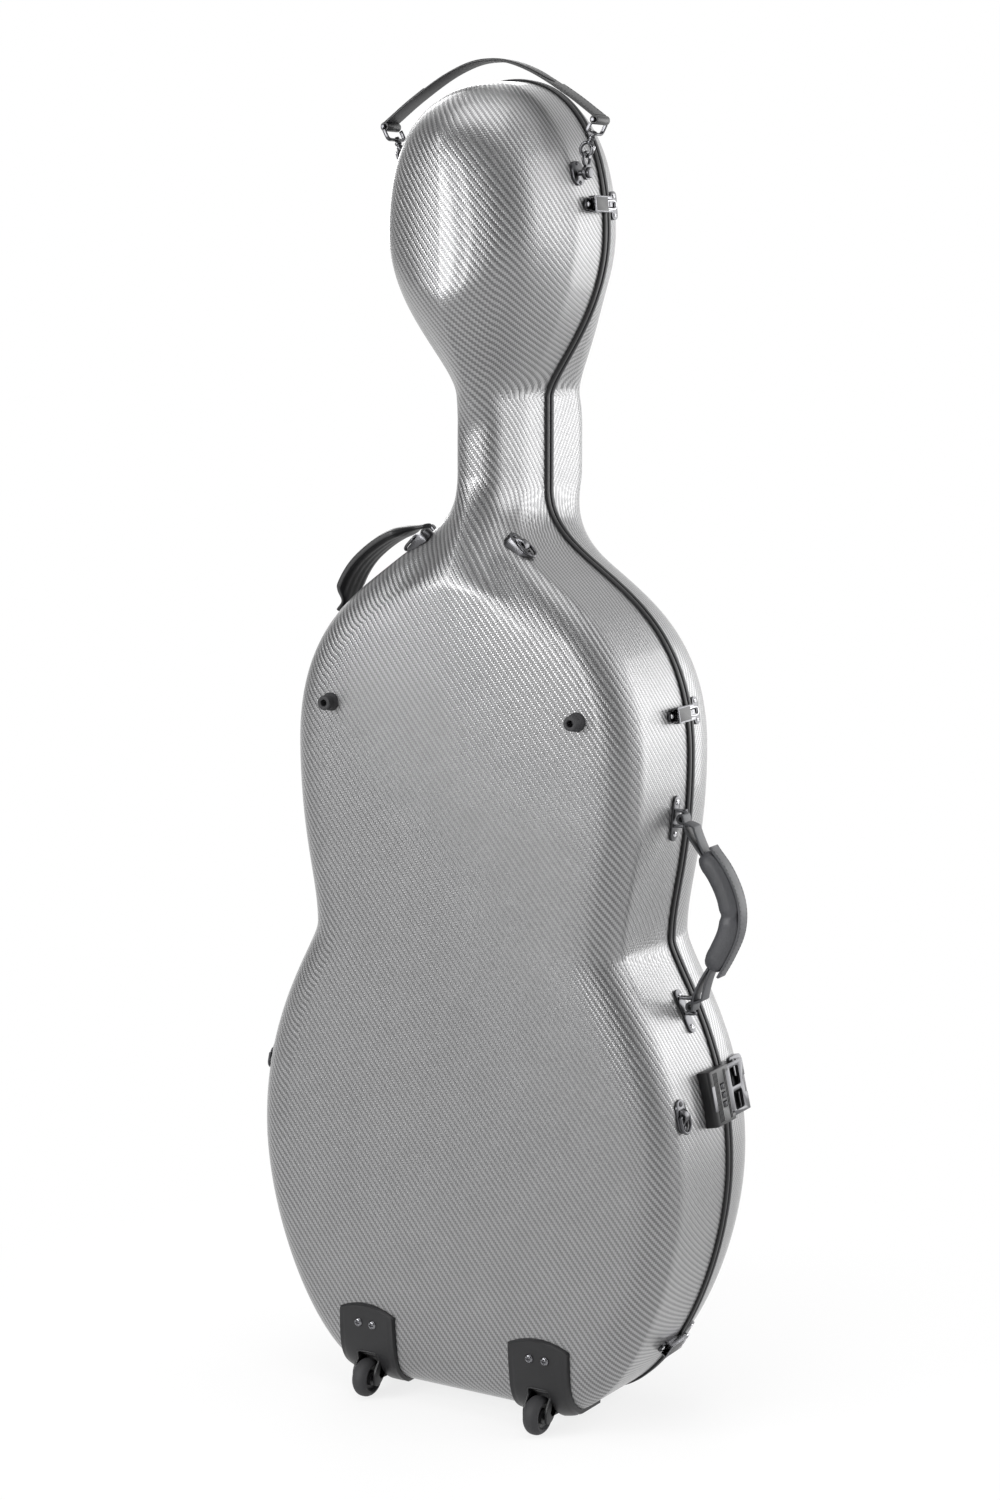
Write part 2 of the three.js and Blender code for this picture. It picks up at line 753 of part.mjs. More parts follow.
function hingePlace(z) {
  const low = new V2(-LOWER_BOUT_HALF - HINGE_STANDOFF, LOWER_BOUT_Z);
  const high = new V2(-UPPER_BOUT_HALF - HINGE_STANDOFF, UPPER_BOUT_Z);
  const up = high.clone().sub(low).normalize();
  const share = (z - low.y) / (high.y - low.y);
  const axis = new V3(up.x, 0, up.y);
  const toLid = new V3(0, 1, 0);
  const out = axis.clone().cross(toLid);
  const place = new THREE.Matrix4().makeBasis(out, toLid, out.clone().cross(toLid));
  return place.setPosition(THREE.MathUtils.lerp(low.x, high.x, share), 0, z);
}

// Whole halves, grown by a gap, that fittings are cut back from

function filledHalf(half, grow) {
  const deep = -grow;
  return loft([
    partingSpine(half),
    wallRing(half, 0, deep),
    wallRing(half, RIM, deep),
    cornerRing(half, 0, deep),
    cornerRing(half, 0.35, deep),
    cornerRing(half, 0.7, deep),
    ...faceRings(half, deep),
  ]);
}

// The shell's rim stands back from the parting plane by the web of the trim
const RIM = PARTING_GAP / 2 + TRIM_WEB + SEAT_GAP;
const BACK_SEAT = filledHalf(BACK, SEAT_GAP);
const LID_SEAT = filledHalf(LID, SEAT_GAP);

function seated(body, seat, place) {
  return moved(body, place).subtract(seat);
}

const mirrored = (body) => body.mirror([1, 0, 0]);

// Shells, lining and trim

function shellBody(half) {
  const skin = SHELL_WALL;
  return loft([
    ...faceRings(half, 0).reverse(),
    cornerRing(half, 0.7, 0),
    cornerRing(half, 0.35, 0),
    cornerRing(half, 0, 0),
    wallRing(half, RIM, 0),
    wallRing(half, RIM, skin),
    cornerRing(half, 0, skin),
    cornerRing(half, 0.5, skin),
    ...faceRings(half, skin),
  ]);
}

const LINING_SKIN = SHELL_WALL + LINING_GAP;
const ROOM_SKIN = LINING_SKIN + LINING_THICKNESS;
const LINING_RIM = TRIM_LIP_WIDTH + 2 * LINING_GAP;

function liningBody(half) {
  return loft([
    ...faceRings(half, LINING_SKIN).reverse(),
    cornerRing(half, 0.5, LINING_SKIN),
    cornerRing(half, 0, LINING_SKIN),
    wallRing(half, LINING_RIM, LINING_SKIN),
    wallRing(half, LINING_RIM, ROOM_SKIN),
    cornerRing(half, 0, ROOM_SKIN),
    cornerRing(half, 0.5, ROOM_SKIN),
    ...faceRings(half, ROOM_SKIN),
  ]);
}

// The room inside a lined half, drawn in by a clearance
function roomBody(half, clearance) {
  const skin = ROOM_SKIN + clearance;
  return loft([
    partingSpine(half),
    wallRing(half, 0, skin),
    cornerRing(half, 0, skin),
    cornerRing(half, 0.5, skin),
    ...faceRings(half, skin),
  ]);
}

// A channel that grips the rim, with its outer leg rounded
function trimBody(half) {
  const start = PARTING_GAP / 2;
  const chamfer = TRIM_PROUD / 2;
  const inside = SHELL_WALL + SEAT_GAP;
  return loft([
    wallRing(half, TRIM_WIDTH - chamfer, -TRIM_PROUD),
    wallRing(half, TRIM_WIDTH, -SEAT_GAP),
    wallRing(half, start + TRIM_WEB, -SEAT_GAP),
    wallRing(half, start + TRIM_WEB, inside),
    wallRing(half, TRIM_LIP_WIDTH, inside),
    wallRing(half, TRIM_LIP_WIDTH, inside + TRIM_LIP),
    wallRing(half, start, inside + TRIM_LIP),
    wallRing(half, start, -TRIM_PROUD + chamfer / 2),
    wallRing(half, start + chamfer, -TRIM_PROUD),
  ], true);
}

// Wheels

const WELL_RADIUS = WHEEL_RADIUS + WELL_CLEARANCE;
const WELL_HALF = WHEEL_WIDTH / 2 + WELL_CLEARANCE;

function wellBody(grow, x) {
  const at = new V3(x, WHEEL_Y, WHEEL_RADIUS);
  return rod(WELL_RADIUS + grow, -WELL_HALF - grow, WELL_HALF + grow, 'x', at, FINE_ROUND);
}

function housingOutline() {
  const flank = HOUSING_TOP_Z - HOUSING_ARCH;
  const shape = new THREE.Shape();
  shape.moveTo(-HOUSING_HALF, -CUT_OVERRUN);
  shape.lineTo(HOUSING_HALF, -CUT_OVERRUN);
  shape.lineTo(HOUSING_HALF, flank);
  shape.quadraticCurveTo(0, HOUSING_TOP_Z + HOUSING_ARCH, -HOUSING_HALF, flank);
  return shape;
}

function housingBlank(x) {
  const depth = -WHEEL_Y + WHEEL_RADIUS + CUT_OVERRUN;
  const geometry = extruded(housingOutline(), depth - HOUSING_WRAP).rotateX(Math.PI / 2);
  return solid(geometry.translate(x, -HOUSING_WRAP, 0));
}

// A moulded plate wrapped round the bottom edge, with a well for the wheel and an axle across it
function wheelHousing(x) {
  const jacket = filledHalf(BACK, SEAT_GAP + HOUSING_THICKNESS);
  const wrap = housingBlank(x).intersect(jacket).subtract(BACK_SEAT);
  const room = box(
    new V3(x - 2 * HOUSING_HALF, HOOD_BACK_Y, HOOD_LIFT),
    new V3(x + 2 * HOUSING_HALF, 0, HOUSING_TOP_Z),
  );
  const hood = wellBody(WELL_WALL, x).intersect(filledHalf(BACK, HOOD_REACH)).intersect(room);
  const at = new V3(x, WHEEL_Y, WHEEL_RADIUS);
  const bossSpan = WELL_HALF + WELL_WALL;
  const bosses = rod(AXLE_BOSS_RADIUS, -bossSpan, bossSpan, 'x', at);
  const axle = rod(AXLE_RADIUS, -bossSpan, bossSpan, 'x', at);
  return join(wrap, hood, bosses).subtract(wellBody(0, x)).add(axle);
}

function wheelBody() {
  const half = WHEEL_WIDTH / 2;
  const bore = AXLE_RADIUS + RUNNING_GAP;
  const hubRadius = WHEEL_RADIUS * 0.4;
  const dish = half * 0.45;
  const tread = WHEEL_RADIUS - WHEEL_EDGE;
  return lathed([
    [bore, -half],
    [hubRadius, -half],
    [hubRadius + WHEEL_EDGE / 2, -half + dish],
    [tread - WHEEL_EDGE / 2, -half + dish],
    [tread, -half],
    [WHEEL_RADIUS, -half + WHEEL_EDGE],
    [WHEEL_RADIUS, half - WHEEL_EDGE],
    [tread, half],
    [tread - WHEEL_EDGE / 2, half - dish],
    [hubRadius + WHEEL_EDGE / 2, half - dish],
    [hubRadius, half],
    [bore, half],
    [bore, -half],
  ], FINE_ROUND);
}

// Feet

function backFoot() {
  const waist = BACK_FOOT_HEIGHT * 0.45;
  const counterbore = BACK_FOOT_HEIGHT * 0.4;
  return lathed([
    [0, -CUT_OVERRUN],
    [BACK_FOOT_RADIUS, -CUT_OVERRUN],
    [BACK_FOOT_RADIUS, BACK_FOOT_HEIGHT * 0.25],
    [BACK_FOOT_TIP_RADIUS, waist],
    [BACK_FOOT_TIP_RADIUS, BACK_FOOT_HEIGHT],
    [BACK_FOOT_BORE, BACK_FOOT_HEIGHT],
    [BACK_FOOT_BORE, counterbore],
    [0, counterbore],
  ]);
}

function baseFoot() {
  const shape = roundedShape(2 * SKID_HALF, SKID_DEPTH, SKID_ROUND);
  const blank = solid(extruded(shape, BASE_Z + CUT_OVERRUN).translate(0, SKID_Y, 0));
  return blank.subtract(LID_SEAT);
}

// Hinges: the back leaf holds the pin in its outer knuckles, the lid's leaf turns on it

function hingeLeaf(side) {
  const start = side * HINGE_LEAF_START;
  const end = side * (HINGE_LEAF_START + HINGE_LEAF_REACH);
  const outer = -HINGE_STANDOFF + SEAT_GAP + HINGE_LEAF_THICKNESS;
  const inner = outer - CUT_OVERRUN;
  const leafShape = shapeOf([[inner, start], [outer, start], [outer, end], [inner, end]]);
  const armRoot = side * (HINGE_LEAF_START + HINGE_ARM_LAP);
  const armShape = shapeOf([
    [0, 0],
    [0, side * HINGE_BARREL_RADIUS],
    [outer + HINGE_ARM_HALF, armRoot],
    [outer - HINGE_ARM_HALF, armRoot],
    [outer + HINGE_ARM_HALF, side * (TRIM_WIDTH + HINGE_TRIM_GAP)],
    [-HINGE_BARREL_RADIUS + RUNNING_GAP, 0],
  ]);
  return { leafShape, armShape };
}

function hingeHalf(side, spans, bored) {
  const { leafShape, armShape } = hingeLeaf(side);
  const half = HINGE_LENGTH / 2;
  const leaf = prism(leafShape, -half, half);
  const knuckles = spans.map(([low, high]) =>
    join(prism(armShape, low, high), rod(HINGE_BARREL_RADIUS, low, high, 'z')));
  const whole = join(leaf, ...knuckles);
  if (bored) {
    return whole.subtract(rod(HINGE_PIN_RADIUS + SEAT_GAP, -half, half, 'z'));
  }
  return whole.add(rod(HINGE_PIN_RADIUS, -half, half, 'z'));
}

function hingePair() {
  const half = HINGE_LENGTH / 2;
  const third = half / 3;
  const outer = [[-half, -third - SEAT_GAP], [third + SEAT_GAP, half]];
  const inner = [[-third + SEAT_GAP, third - SEAT_GAP]];
  return { back: hingeHalf(-1, outer, false), lid: hingeHalf(1, inner, true) };
}

// Draw latch: a base with two cheeks, a cover lever, a bail that it pulls, and a keeper on the lid

const CHEEK_HALF = LATCH_WIDTH / 2 - LATCH_SHEET - 2 * SEAT_GAP;

function latchBase() {
  const end = -LATCH_REACH + LATCH_SHEET;
  const floor = plate(
    shapeOf([
      [end, -CHEEK_HALF], [-HINGE_LEAF_START, -CHEEK_HALF],
      [-HINGE_LEAF_START, CHEEK_HALF], [end, CHEEK_HALF],
    ]),
    -LATCH_SHEET,
    LATCH_SHEET,
  );
  const ear = plate(
    roundedShape(LATCH_EAR * 2, LATCH_EAR * 1.4, LATCH_EAR * 0.6),
    -LATCH_SHEET,
    LATCH_SHEET,
    new V2(end - LATCH_EAR * 0.2, 0),
  );
  const overTrim = TRIM_PROUD + 2 * SEAT_GAP;
  const round = LATCH_TOP_RISE - LATCH_SHEET - SEAT_GAP - LATCH_PIVOT_RISE;
  const slant = round * Math.SQRT1_2;
  const cheekShape = shapeOf([
    [0, end], [LATCH_SHEET * 2, end],
    [LATCH_PIVOT_RISE + round, LATCH_PIVOT_Y - 2 * round],
    [LATCH_PIVOT_RISE + round, LATCH_PIVOT_Y],
    [LATCH_PIVOT_RISE + slant, LATCH_PIVOT_Y + slant],
    [LATCH_PIVOT_RISE, LATCH_PIVOT_Y + round],
    [overTrim, LATCH_PIVOT_Y + round],
    [overTrim, -TRIM_WIDTH - LATCH_SHEET / 2],
    [-LATCH_SHEET, -TRIM_WIDTH - LATCH_SHEET],
  ]);
  const pivot = new V3(LATCH_PIVOT_RISE, LATCH_PIVOT_Y, 0);
  const cheeks = [-1, 1].map((side) => {
    const low = side > 0 ? CHEEK_HALF - LATCH_SHEET : -CHEEK_HALF;
    const cheek = prism(cheekShape, low, low + LATCH_SHEET);
    const radius = LATCH_PIN_RADIUS + SEAT_GAP;
    return cheek.subtract(rod(radius, -LATCH_WIDTH, LATCH_WIDTH, 'z', pivot, SMALL_ROUND));
  });
  return join(floor, ear, ...cheeks);
}

function leverCover() {
  const half = LATCH_WIDTH / 2;
  const near = LATCH_PIVOT_Y + LEVER_NOSE;
  const slotEnd = LATCH_PIVOT_Y - BAIL_PIVOT_OFFSET - BAIL_SLOT_MARGIN;
  const slotInner = BAIL_HALF - BAIL_BAR - SEAT_GAP;
  const slotOuter = BAIL_HALF + SEAT_GAP;
  return shapeOf([
    [near, -half], [near, -slotOuter], [slotEnd, -slotOuter], [slotEnd, -slotInner],
    [near, -slotInner], [near, slotInner], [slotEnd, slotInner], [slotEnd, slotOuter],
    [near, slotOuter], [near, half], [-LATCH_REACH, half], [-LATCH_REACH, -half],
  ]);
}

const BAIL_PIVOT = new V3(LATCH_PIVOT_RISE, LATCH_PIVOT_Y - BAIL_PIVOT_OFFSET, 0);

function latchLever() {
  const half = LATCH_WIDTH / 2;
  const cover = plate(leverCover(), LATCH_TOP_RISE - LATCH_SHEET, LATCH_TOP_RISE);
  const overTrim = TRIM_PROUD + 3 * SEAT_GAP;
  const flangeShape = shapeOf([
    [LATCH_SHEET + SEAT_GAP, -LATCH_REACH], [LATCH_TOP_RISE, -LATCH_REACH],
    [LATCH_TOP_RISE, LATCH_PIVOT_Y + LEVER_NOSE],
    [overTrim + RUNNING_GAP, LATCH_PIVOT_Y + LEVER_NOSE],
    [overTrim, -TRIM_WIDTH - LEVER_FLANGE_KNEE],
    [LATCH_SHEET + SEAT_GAP, -TRIM_WIDTH - LEVER_FLANGE_FOOT],
  ]);
  const pivot = new V3(LATCH_PIVOT_RISE, LATCH_PIVOT_Y, 0);
  const sides = [-1, 1].map((side) => {
    const low = side > 0 ? half - LATCH_SHEET : -half;
    const flange = prism(flangeShape, low, low + LATCH_SHEET);
    const inner = BAIL_HALF + SEAT_GAP;
    const [from, to] = side > 0 ? [inner, half] : [-half, -inner];
    return join(flange, rod(LATCH_PIN_RADIUS, from, to, 'z', pivot, SMALL_ROUND));
  });
  const bossHalf = BAIL_HALF - BAIL_BAR - SEAT_GAP;
  const boss = box(
    new V3(LATCH_PIVOT_RISE - BAIL_BOSS_HALF, BAIL_PIVOT.y - BAIL_BOSS_HALF, -bossHalf),
    new V3(LATCH_TOP_RISE, BAIL_PIVOT.y + BAIL_BOSS_HALF, bossHalf),
  );
  const bore = rod(
    BAIL_PIN_RADIUS + SEAT_GAP,
    -bossHalf - BORE_OVERRUN,
    bossHalf + BORE_OVERRUN,
    'z',
    BAIL_PIVOT,
    SMALL_ROUND,
  );
  return join(cover, ...sides, boss.subtract(bore));
}

function latchBail() {
  const low = LATCH_PIVOT_RISE - BAIL_PIN_RADIUS;
  const high = LATCH_PIVOT_RISE + BAIL_TOP;
  const arms = [-1, 1].map((side) => {
    const from = side > 0 ? BAIL_HALF - BAIL_BAR : -BAIL_HALF;
    return box(
      new V3(low, BAIL_PIVOT.y - BAIL_PIN_RADIUS, from),
      new V3(high, BAIL_END_Y, from + BAIL_BAR),
    );
  });
  const end = box(
    new V3(TRIM_PROUD, BAIL_END_Y - BAIL_END_BAR, -BAIL_HALF),
    new V3(high, BAIL_END_Y, BAIL_HALF),
  );
  const pin = rod(BAIL_PIN_RADIUS, -BAIL_HALF, BAIL_HALF, 'z', BAIL_PIVOT, SMALL_ROUND);
  return join(...arms, end, pin);
}

function latchKeeper() {
  const shape = roundedShape(KEEPER_REACH, 2 * KEEPER_HALF, KEEPER_REACH * 0.4);
  const middle = KEEPER_START_Y + KEEPER_REACH / 2;
  const floor = plate(shape, -CUT_OVERRUN / 2, LATCH_SHEET, new V2(middle, 0));
  const hookEnd = BAIL_END_Y - BAIL_END_BAR - SEAT_GAP;
  const hook = box(
    new V3(0, KEEPER_START_Y - KEEPER_HOOK_LAP, -KEEPER_HOOK_HALF),
    new V3(LATCH_PIVOT_RISE - RUNNING_GAP, hookEnd, KEEPER_HOOK_HALF),
  );
  return join(floor, hook);
}

// Combination lock: a housing with three dials, and a hasp that swings over from the lid

function lockHousing() {
  const start = -TRIM_WIDTH - LOCK_TRIM_GAP;
  const end = -LOCK_REACH - TRIM_WIDTH;
  const nose = TRIM_PROUD + 2 * SEAT_GAP;
  const noseEnd = -LOCK_FIT;
  const profile = new THREE.Shape();
  profile.moveTo(-LOCK_EDGE, start);
  profile.lineTo(nose, start);
  profile.lineTo(nose, noseEnd);
  profile.lineTo(LOCK_RISE - LOCK_EDGE / 2, noseEnd);
  profile.lineTo(LOCK_RISE, noseEnd - LOCK_EDGE / 2);
  profile.lineTo(LOCK_RISE, end + LOCK_EDGE);
  profile.quadraticCurveTo(LOCK_RISE, end, LOCK_RISE - LOCK_EDGE, end);
  profile.lineTo(-LOCK_EDGE, end);
  const blank = prism(profile, -LOCK_HALF, LOCK_HALF);
  const slots = [-1, 0, 1].map((turn) => {
    const at = new V3(DIAL_RISE, DIAL_Y, turn * DIAL_PITCH);
    const half = DIAL_WIDTH / 2 + LOCK_FIT;
    return rod(DIAL_RADIUS + LOCK_FIT, -half, half, 'z', at);
  });
  const axleSpan = DIAL_PITCH + DIAL_WIDTH;
  const axle = rod(DIAL_AXLE_RADIUS, -axleSpan, axleSpan, 'z', new V3(DIAL_RISE, DIAL_Y, 0));
  const mouth = box(
    new V3(HASP_RISE - HASP_SHEET - LOCK_FIT, -TRIM_WIDTH, -HASP_HALF + HASP_BORDER),
    new V3(LOCK_RISE + BORE_OVERRUN, BORE_OVERRUN, HASP_HALF - HASP_BORDER),
  );
  return slots.reduce((body, slot) => body.subtract(slot), blank).add(axle).subtract(mouth);
}

function dialShape() {
  const shape = new THREE.Shape();
  const steps = DIAL_FLUTES * 2;
  for (let step = 0; step < steps; step += 1) {
    const turn = (step / steps) * 2 * Math.PI;
    const radius = step % 2 ? DIAL_RADIUS : DIAL_RADIUS - DIAL_FLUTE_DEPTH;
    const method = step ? 'lineTo' : 'moveTo';
    shape[method](radius * Math.cos(turn), radius * Math.sin(turn));
  }
  return shape;
}

function lockDial() {
  const half = DIAL_WIDTH / 2;
  const end = half + BORE_OVERRUN;
  const bore = rod(DIAL_AXLE_RADIUS + SEAT_GAP, -end, end, 'z');
  return prism(dialShape(), -half, half).subtract(bore);
}

function lockHasp() {
  const low = HASP_RISE - HASP_SHEET;
  const outer = shapeOf([
    [LOCK_FIT, -HASP_HALF], [HASP_PIVOT_Y, -HASP_HALF],
    [HASP_PIVOT_Y, HASP_HALF], [LOCK_FIT, HASP_HALF],
  ]);
  const knuckleRadius = HASP_PIN_RADIUS + HASP_KNUCKLE_WALL;
  const windowEnd = HASP_PIVOT_Y - knuckleRadius - 1.5 * HASP_BORDER;
  const windowStart = LOCK_FIT + HASP_BORDER;
  const windowWidth = HASP_HALF - 1.5 * HASP_BORDER;
  const hole = roundedShape(windowEnd - windowStart, windowWidth, HASP_BORDER / 2);
  const frame = [-1, 1].reduce((body, side) => {
    const at = new V2((windowEnd + windowStart) / 2, (side * (windowWidth + HASP_BORDER)) / 2);
    return body.subtract(plate(hole, low - BORE_OVERRUN, HASP_RISE + BORE_OVERRUN, at));
  }, plate(outer, low, HASP_RISE));
  const tongueHalf = HASP_HALF - HASP_BORDER - LOCK_FIT;
  const tongue = box(
    new V3(low, -TRIM_WIDTH + LOCK_TRIM_GAP, -tongueHalf),
    new V3(HASP_RISE, HASP_TONGUE_LAP, tongueHalf),
  );
  const at = new V3(HASP_PIVOT_RISE, HASP_PIVOT_Y, 0);
  const third = HASP_HALF / 3;
  const barrels = [[-HASP_HALF, -third], [third, HASP_HALF]].map(([from, to]) => join(
    rod(knuckleRadius, from, to, 'z', at),
    box(
      new V3(HASP_PIVOT_RISE, HASP_PIVOT_Y - HASP_PIN_RADIUS, from),
      new V3(HASP_RISE, HASP_PIVOT_Y + HASP_PIN_RADIUS, to),
    ),
  ));
  const notch = box(
    new V3(low - BORE_OVERRUN, HASP_PIVOT_Y - knuckleRadius - SEAT_GAP, -third),
    new V3(HASP_RISE + BORE_OVERRUN, HASP_PIVOT_Y + knuckleRadius, third),
  );
  const boreEnd = HASP_HALF + BORE_OVERRUN;
  const bore = rod(HASP_PIN_RADIUS + SEAT_GAP, -boreEnd, boreEnd, 'z', at);
  return join(frame.subtract(notch), tongue, ...barrels).subtract(bore);
}

function lockKeeper() {
  const at = new V3(HASP_PIVOT_RISE, HASP_PIVOT_Y, 0);
  const shape = roundedShape(6 * HASP_BORDER, 2 * HASP_HALF + HASP_BORDER, HASP_BORDER);
  const floor = plate(
    shape,
    -CUT_OVERRUN / 2,
    -HASP_PIN_RADIUS / 2,
    new V2(HASP_PIVOT_Y + HASP_BORDER, 0),
  );
  const third = HASP_HALF / 3 - SEAT_GAP;
  const post = box(
    new V3(-CUT_OVERRUN / 4, HASP_PIVOT_Y - HASP_PIN_RADIUS, -third),
    new V3(HASP_PIVOT_RISE, HASP_PIVOT_Y + HASP_PIN_RADIUS, third),
  );
  const knuckle = rod(HASP_PIN_RADIUS + HASP_POST_WALL, -third, third, 'z', at);
  return join(floor, post, knuckle, rod(HASP_PIN_RADIUS, -HASP_HALF, HASP_HALF, 'z', at));
}

// Handles, each hung on a pin at either end. Drawn in axes of their own: x out from the case,
// y toward the lid, z along the line through both pins.

function pinBeside(z, standoff) {
  return { x: outlineAt(z).point.x + standoff, z };
}

const HANDLE_LOW = pinBeside(WAIST_Z - HANDLE_UNDER_WAIST, HANDLE_LOW_STANDOFF);
const HANDLE_HIGH = pinBeside(UPPER_BOUT_Z - HANDLE_UNDER_UPPER_BOUT, HANDLE_HIGH_STANDOFF);
const SHOULDER_HANDLE_LOW = pinBeside(
  UPPER_BOUT_Z + SHOULDER_HANDLE_OVER_BOUT,
  SHOULDER_HANDLE_LOW_STANDOFF,
);
const SHOULDER_HANDLE_HIGH = pinBeside(
  NECK_LOW_Z - SHOULDER_HANDLE_UNDER_NECK,
  SHOULDER_HANDLE_HIGH_STANDOFF,
);

function handlePlace(low, high, y) {
  const up = new V3(high.x - low.x, 0, high.z - low.z).normalize();
  const toLid = new V3(0, 1, 0);
  const place = new THREE.Matrix4().makeBasis(toLid.clone().cross(up), toLid, up);
  return place.setPosition(low.x, y, low.z);
}

const handleLength = (low, high) => Math.hypot(high.x - low.x, high.z - low.z);

function bowCurve(length, bow, shape) {
  const start = KNUCKLE_RADIUS + HANDLE_STRAP_HALF / 3;
  return new THREE.CatmullRomCurve3(shape.map(([outShare, alongShare]) =>
    new V3(THREE.MathUtils.lerp(start, bow, outShare), 0, alongShare * length)));
}

const SIDE_HANDLE_SHARES = [
  [0, -0.02], [0.05, 0.04], [0.28, 0.16], [0.68, 0.3], [0.93, 0.41],
  [1, 0.5], [0.95, 0.59], [0.72, 0.71], [0.34, 0.83], [0.05, 0.96], [0, 1.02],
];
const SHOULDER_HANDLE_SHARES = [
  [0, -0.03], [0.12, 0.06], [0.62, 0.18], [0.96, 0.36],
  [1, 0.54], [0.82, 0.74], [0.45, 0.9], [0, 1.03],
];

function knuckles(length) {
  const radius = KNUCKLE_PIN_RADIUS + SEAT_GAP;
  const boreEnd = KNUCKLE_HALF + BORE_OVERRUN;
  const ends = [0, length].map((z) =>
    rod(KNUCKLE_RADIUS, -KNUCKLE_HALF, KNUCKLE_HALF, 'z', new V3(0, 0, z)));
  const bores = [0, length].map((z) => rod(radius, -boreEnd, boreEnd, 'z', new V3(0, 0, z)));
  return { ends, bores };
}

function sideHandle() {
  const length = handleLength(HANDLE_LOW, HANDLE_HIGH);
  const { ends, bores } = knuckles(length);
  const bar = sweptBar(bowCurve(length, HANDLE_BOW, SIDE_HANDLE_SHARES), 20, 8, (share) => {
    const middle = 1 - Math.abs(2 * share - 1);
    const full = THREE.MathUtils.smoothstep(middle, 0.3, 0.55);
    const pinch = 1 - 0.12 * Math.exp(-((middle - 1) ** 2) / 0.01);
    return {
      thick: THREE.MathUtils.lerp(HANDLE_STRAP_HALF, HANDLE_GRIP_HALF * pinch, full),
      wide: THREE.MathUtils.lerp(HANDLE_STRAP_WIDTH_HALF, HANDLE_GRIP_WIDTH_HALF, full),
      square: 0.8,
    };
  });
  return bores.reduce((body, bore) => body.subtract(bore), join(bar, ...ends));
}

function shoulderHandle() {
  const length = handleLength(SHOULDER_HANDLE_LOW, SHOULDER_HANDLE_HIGH);
  const { ends, bores } = knuckles(length);
  const curve = bowCurve(length, SHOULDER_HANDLE_BOW, SHOULDER_HANDLE_SHARES);
  const bar = sweptBar(curve, 15, 8, (share) => {
    const middle = 1 - Math.abs(2 * share - 1);
    const full = THREE.MathUtils.smoothstep(middle, 0.12, 0.4);
    return {
      thick: THREE.MathUtils.lerp(HANDLE_STRAP_HALF, SHOULDER_HANDLE_HALF, full),
      wide: THREE.MathUtils.lerp(HANDLE_STRAP_WIDTH_HALF, SHOULDER_HANDLE_WIDTH_HALF, full),
      square: 0.7,
    };
  });
  return bores.reduce((body, bore) => body.subtract(bore), join(bar, ...ends));
}

// A long plate with a screw ear above and below, and two cheeks that hold the pin
function handleBracket(pin, y, axes) {
  const plateShape = roundedShape(HANDLE_PLATE_WIDTH, HANDLE_PLATE_LENGTH, HANDLE_PLATE_WIDTH / 2.2);
  const floor = moved(plate(plateShape, -CUT_OVERRUN / 2, HANDLE_PLATE_SHEET), nearPlace(pin, y));
  const start = KNUCKLE_HALF + SEAT_GAP;
  const cheeks = [-start - CHEEK_SHEET, start].map((low) => join(
    rod(CHEEK_RADIUS, low, low + CHEEK_SHEET, 'z'),
    box(
      new V3(-CUT_OVERRUN, -CHEEK_RADIUS, low),
      new V3(0, CHEEK_RADIUS, low + CHEEK_SHEET),
    ),
  ));
  const span = start + CHEEK_SHEET;
  const pins = rod(KNUCKLE_PIN_RADIUS, -span, span, 'z');
  const frame = axes.clone().setPosition(pin.x, y, pin.z);
  return join(floor, moved(join(...cheeks, pins), frame)).subtract(BACK_SEAT);
}

// Strap lugs and their rings, hanging along the wall

const LUG_BORE = new V3(LUG_SHEET + RING_WIRE + 2 * SEAT_GAP, 0, 0);

function strapLug() {
  const shape = roundedShape(LUG_WIDTH, LUG_LENGTH, LUG_WIDTH * 0.48);
  const floor = plate(shape, -CUT_OVERRUN / 2, LUG_SHEET);
  const bridge = rod(LUG_BRIDGE_RISE, -LUG_BRIDGE_HALF, LUG_BRIDGE_HALF, 'y');
  const bore = rod(RING_WIRE + SEAT_GAP, -LUG_WIDTH, LUG_WIDTH, 'y', LUG_BORE);
  return join(floor, bridge).subtract(bore);
}

// A round wire bent to an arc in the plane of x and y
function arcBody(radius, wire, angle, steps, sides = 6) {
  const rings = [];
  for (let step = 0; step <= steps; step += 1) {
    const turn = (step / steps) * angle;
    const out = new V3(Math.cos(turn), Math.sin(turn), 0);
    const ring = [];
    for (let side = 0; side < sides; side += 1) {
      const around = (side / sides) * 2 * Math.PI;
      const reach = radius + wire * Math.cos(around);
      ring.push(out.clone().multiplyScalar(reach).add(new V3(0, 0, wire * Math.sin(around))));
    }
    rings.push(ring);
  }
  if (angle < 2 * Math.PI) {
    return capped(rings);
  }
  return loft(rings.slice(0, -1).map((points) => ({ points })), true);
}

function strapRing() {
  const wire = RING_WIRE;
  const straight = RING_LENGTH - RING_HALF;
  const bar = rod(wire, -RING_HALF - wire / 2, RING_HALF + wire / 2, 'y', LUG_BORE, 6);
  const legs = [-1, 1].map((side) => {
    const foot = LUG_BORE.clone().add(new V3(0, side * RING_HALF, 0));
    return rod(wire, -straight - wire / 4, wire / 2, 'z', foot, 6);
  });
  const hanging = new THREE.Matrix4().makeBasis(
    new V3(0, 1, 0),
    new V3(0, 0, -1),
    new V3(-1, 0, 0),
  );
  hanging.setPosition(LUG_BORE.x, 0, -straight);
  return join(bar, ...legs, moved(arcBody(RING_HALF, wire, Math.PI, 7), hanging));
}

// Head strap and its fittings, on the latch side

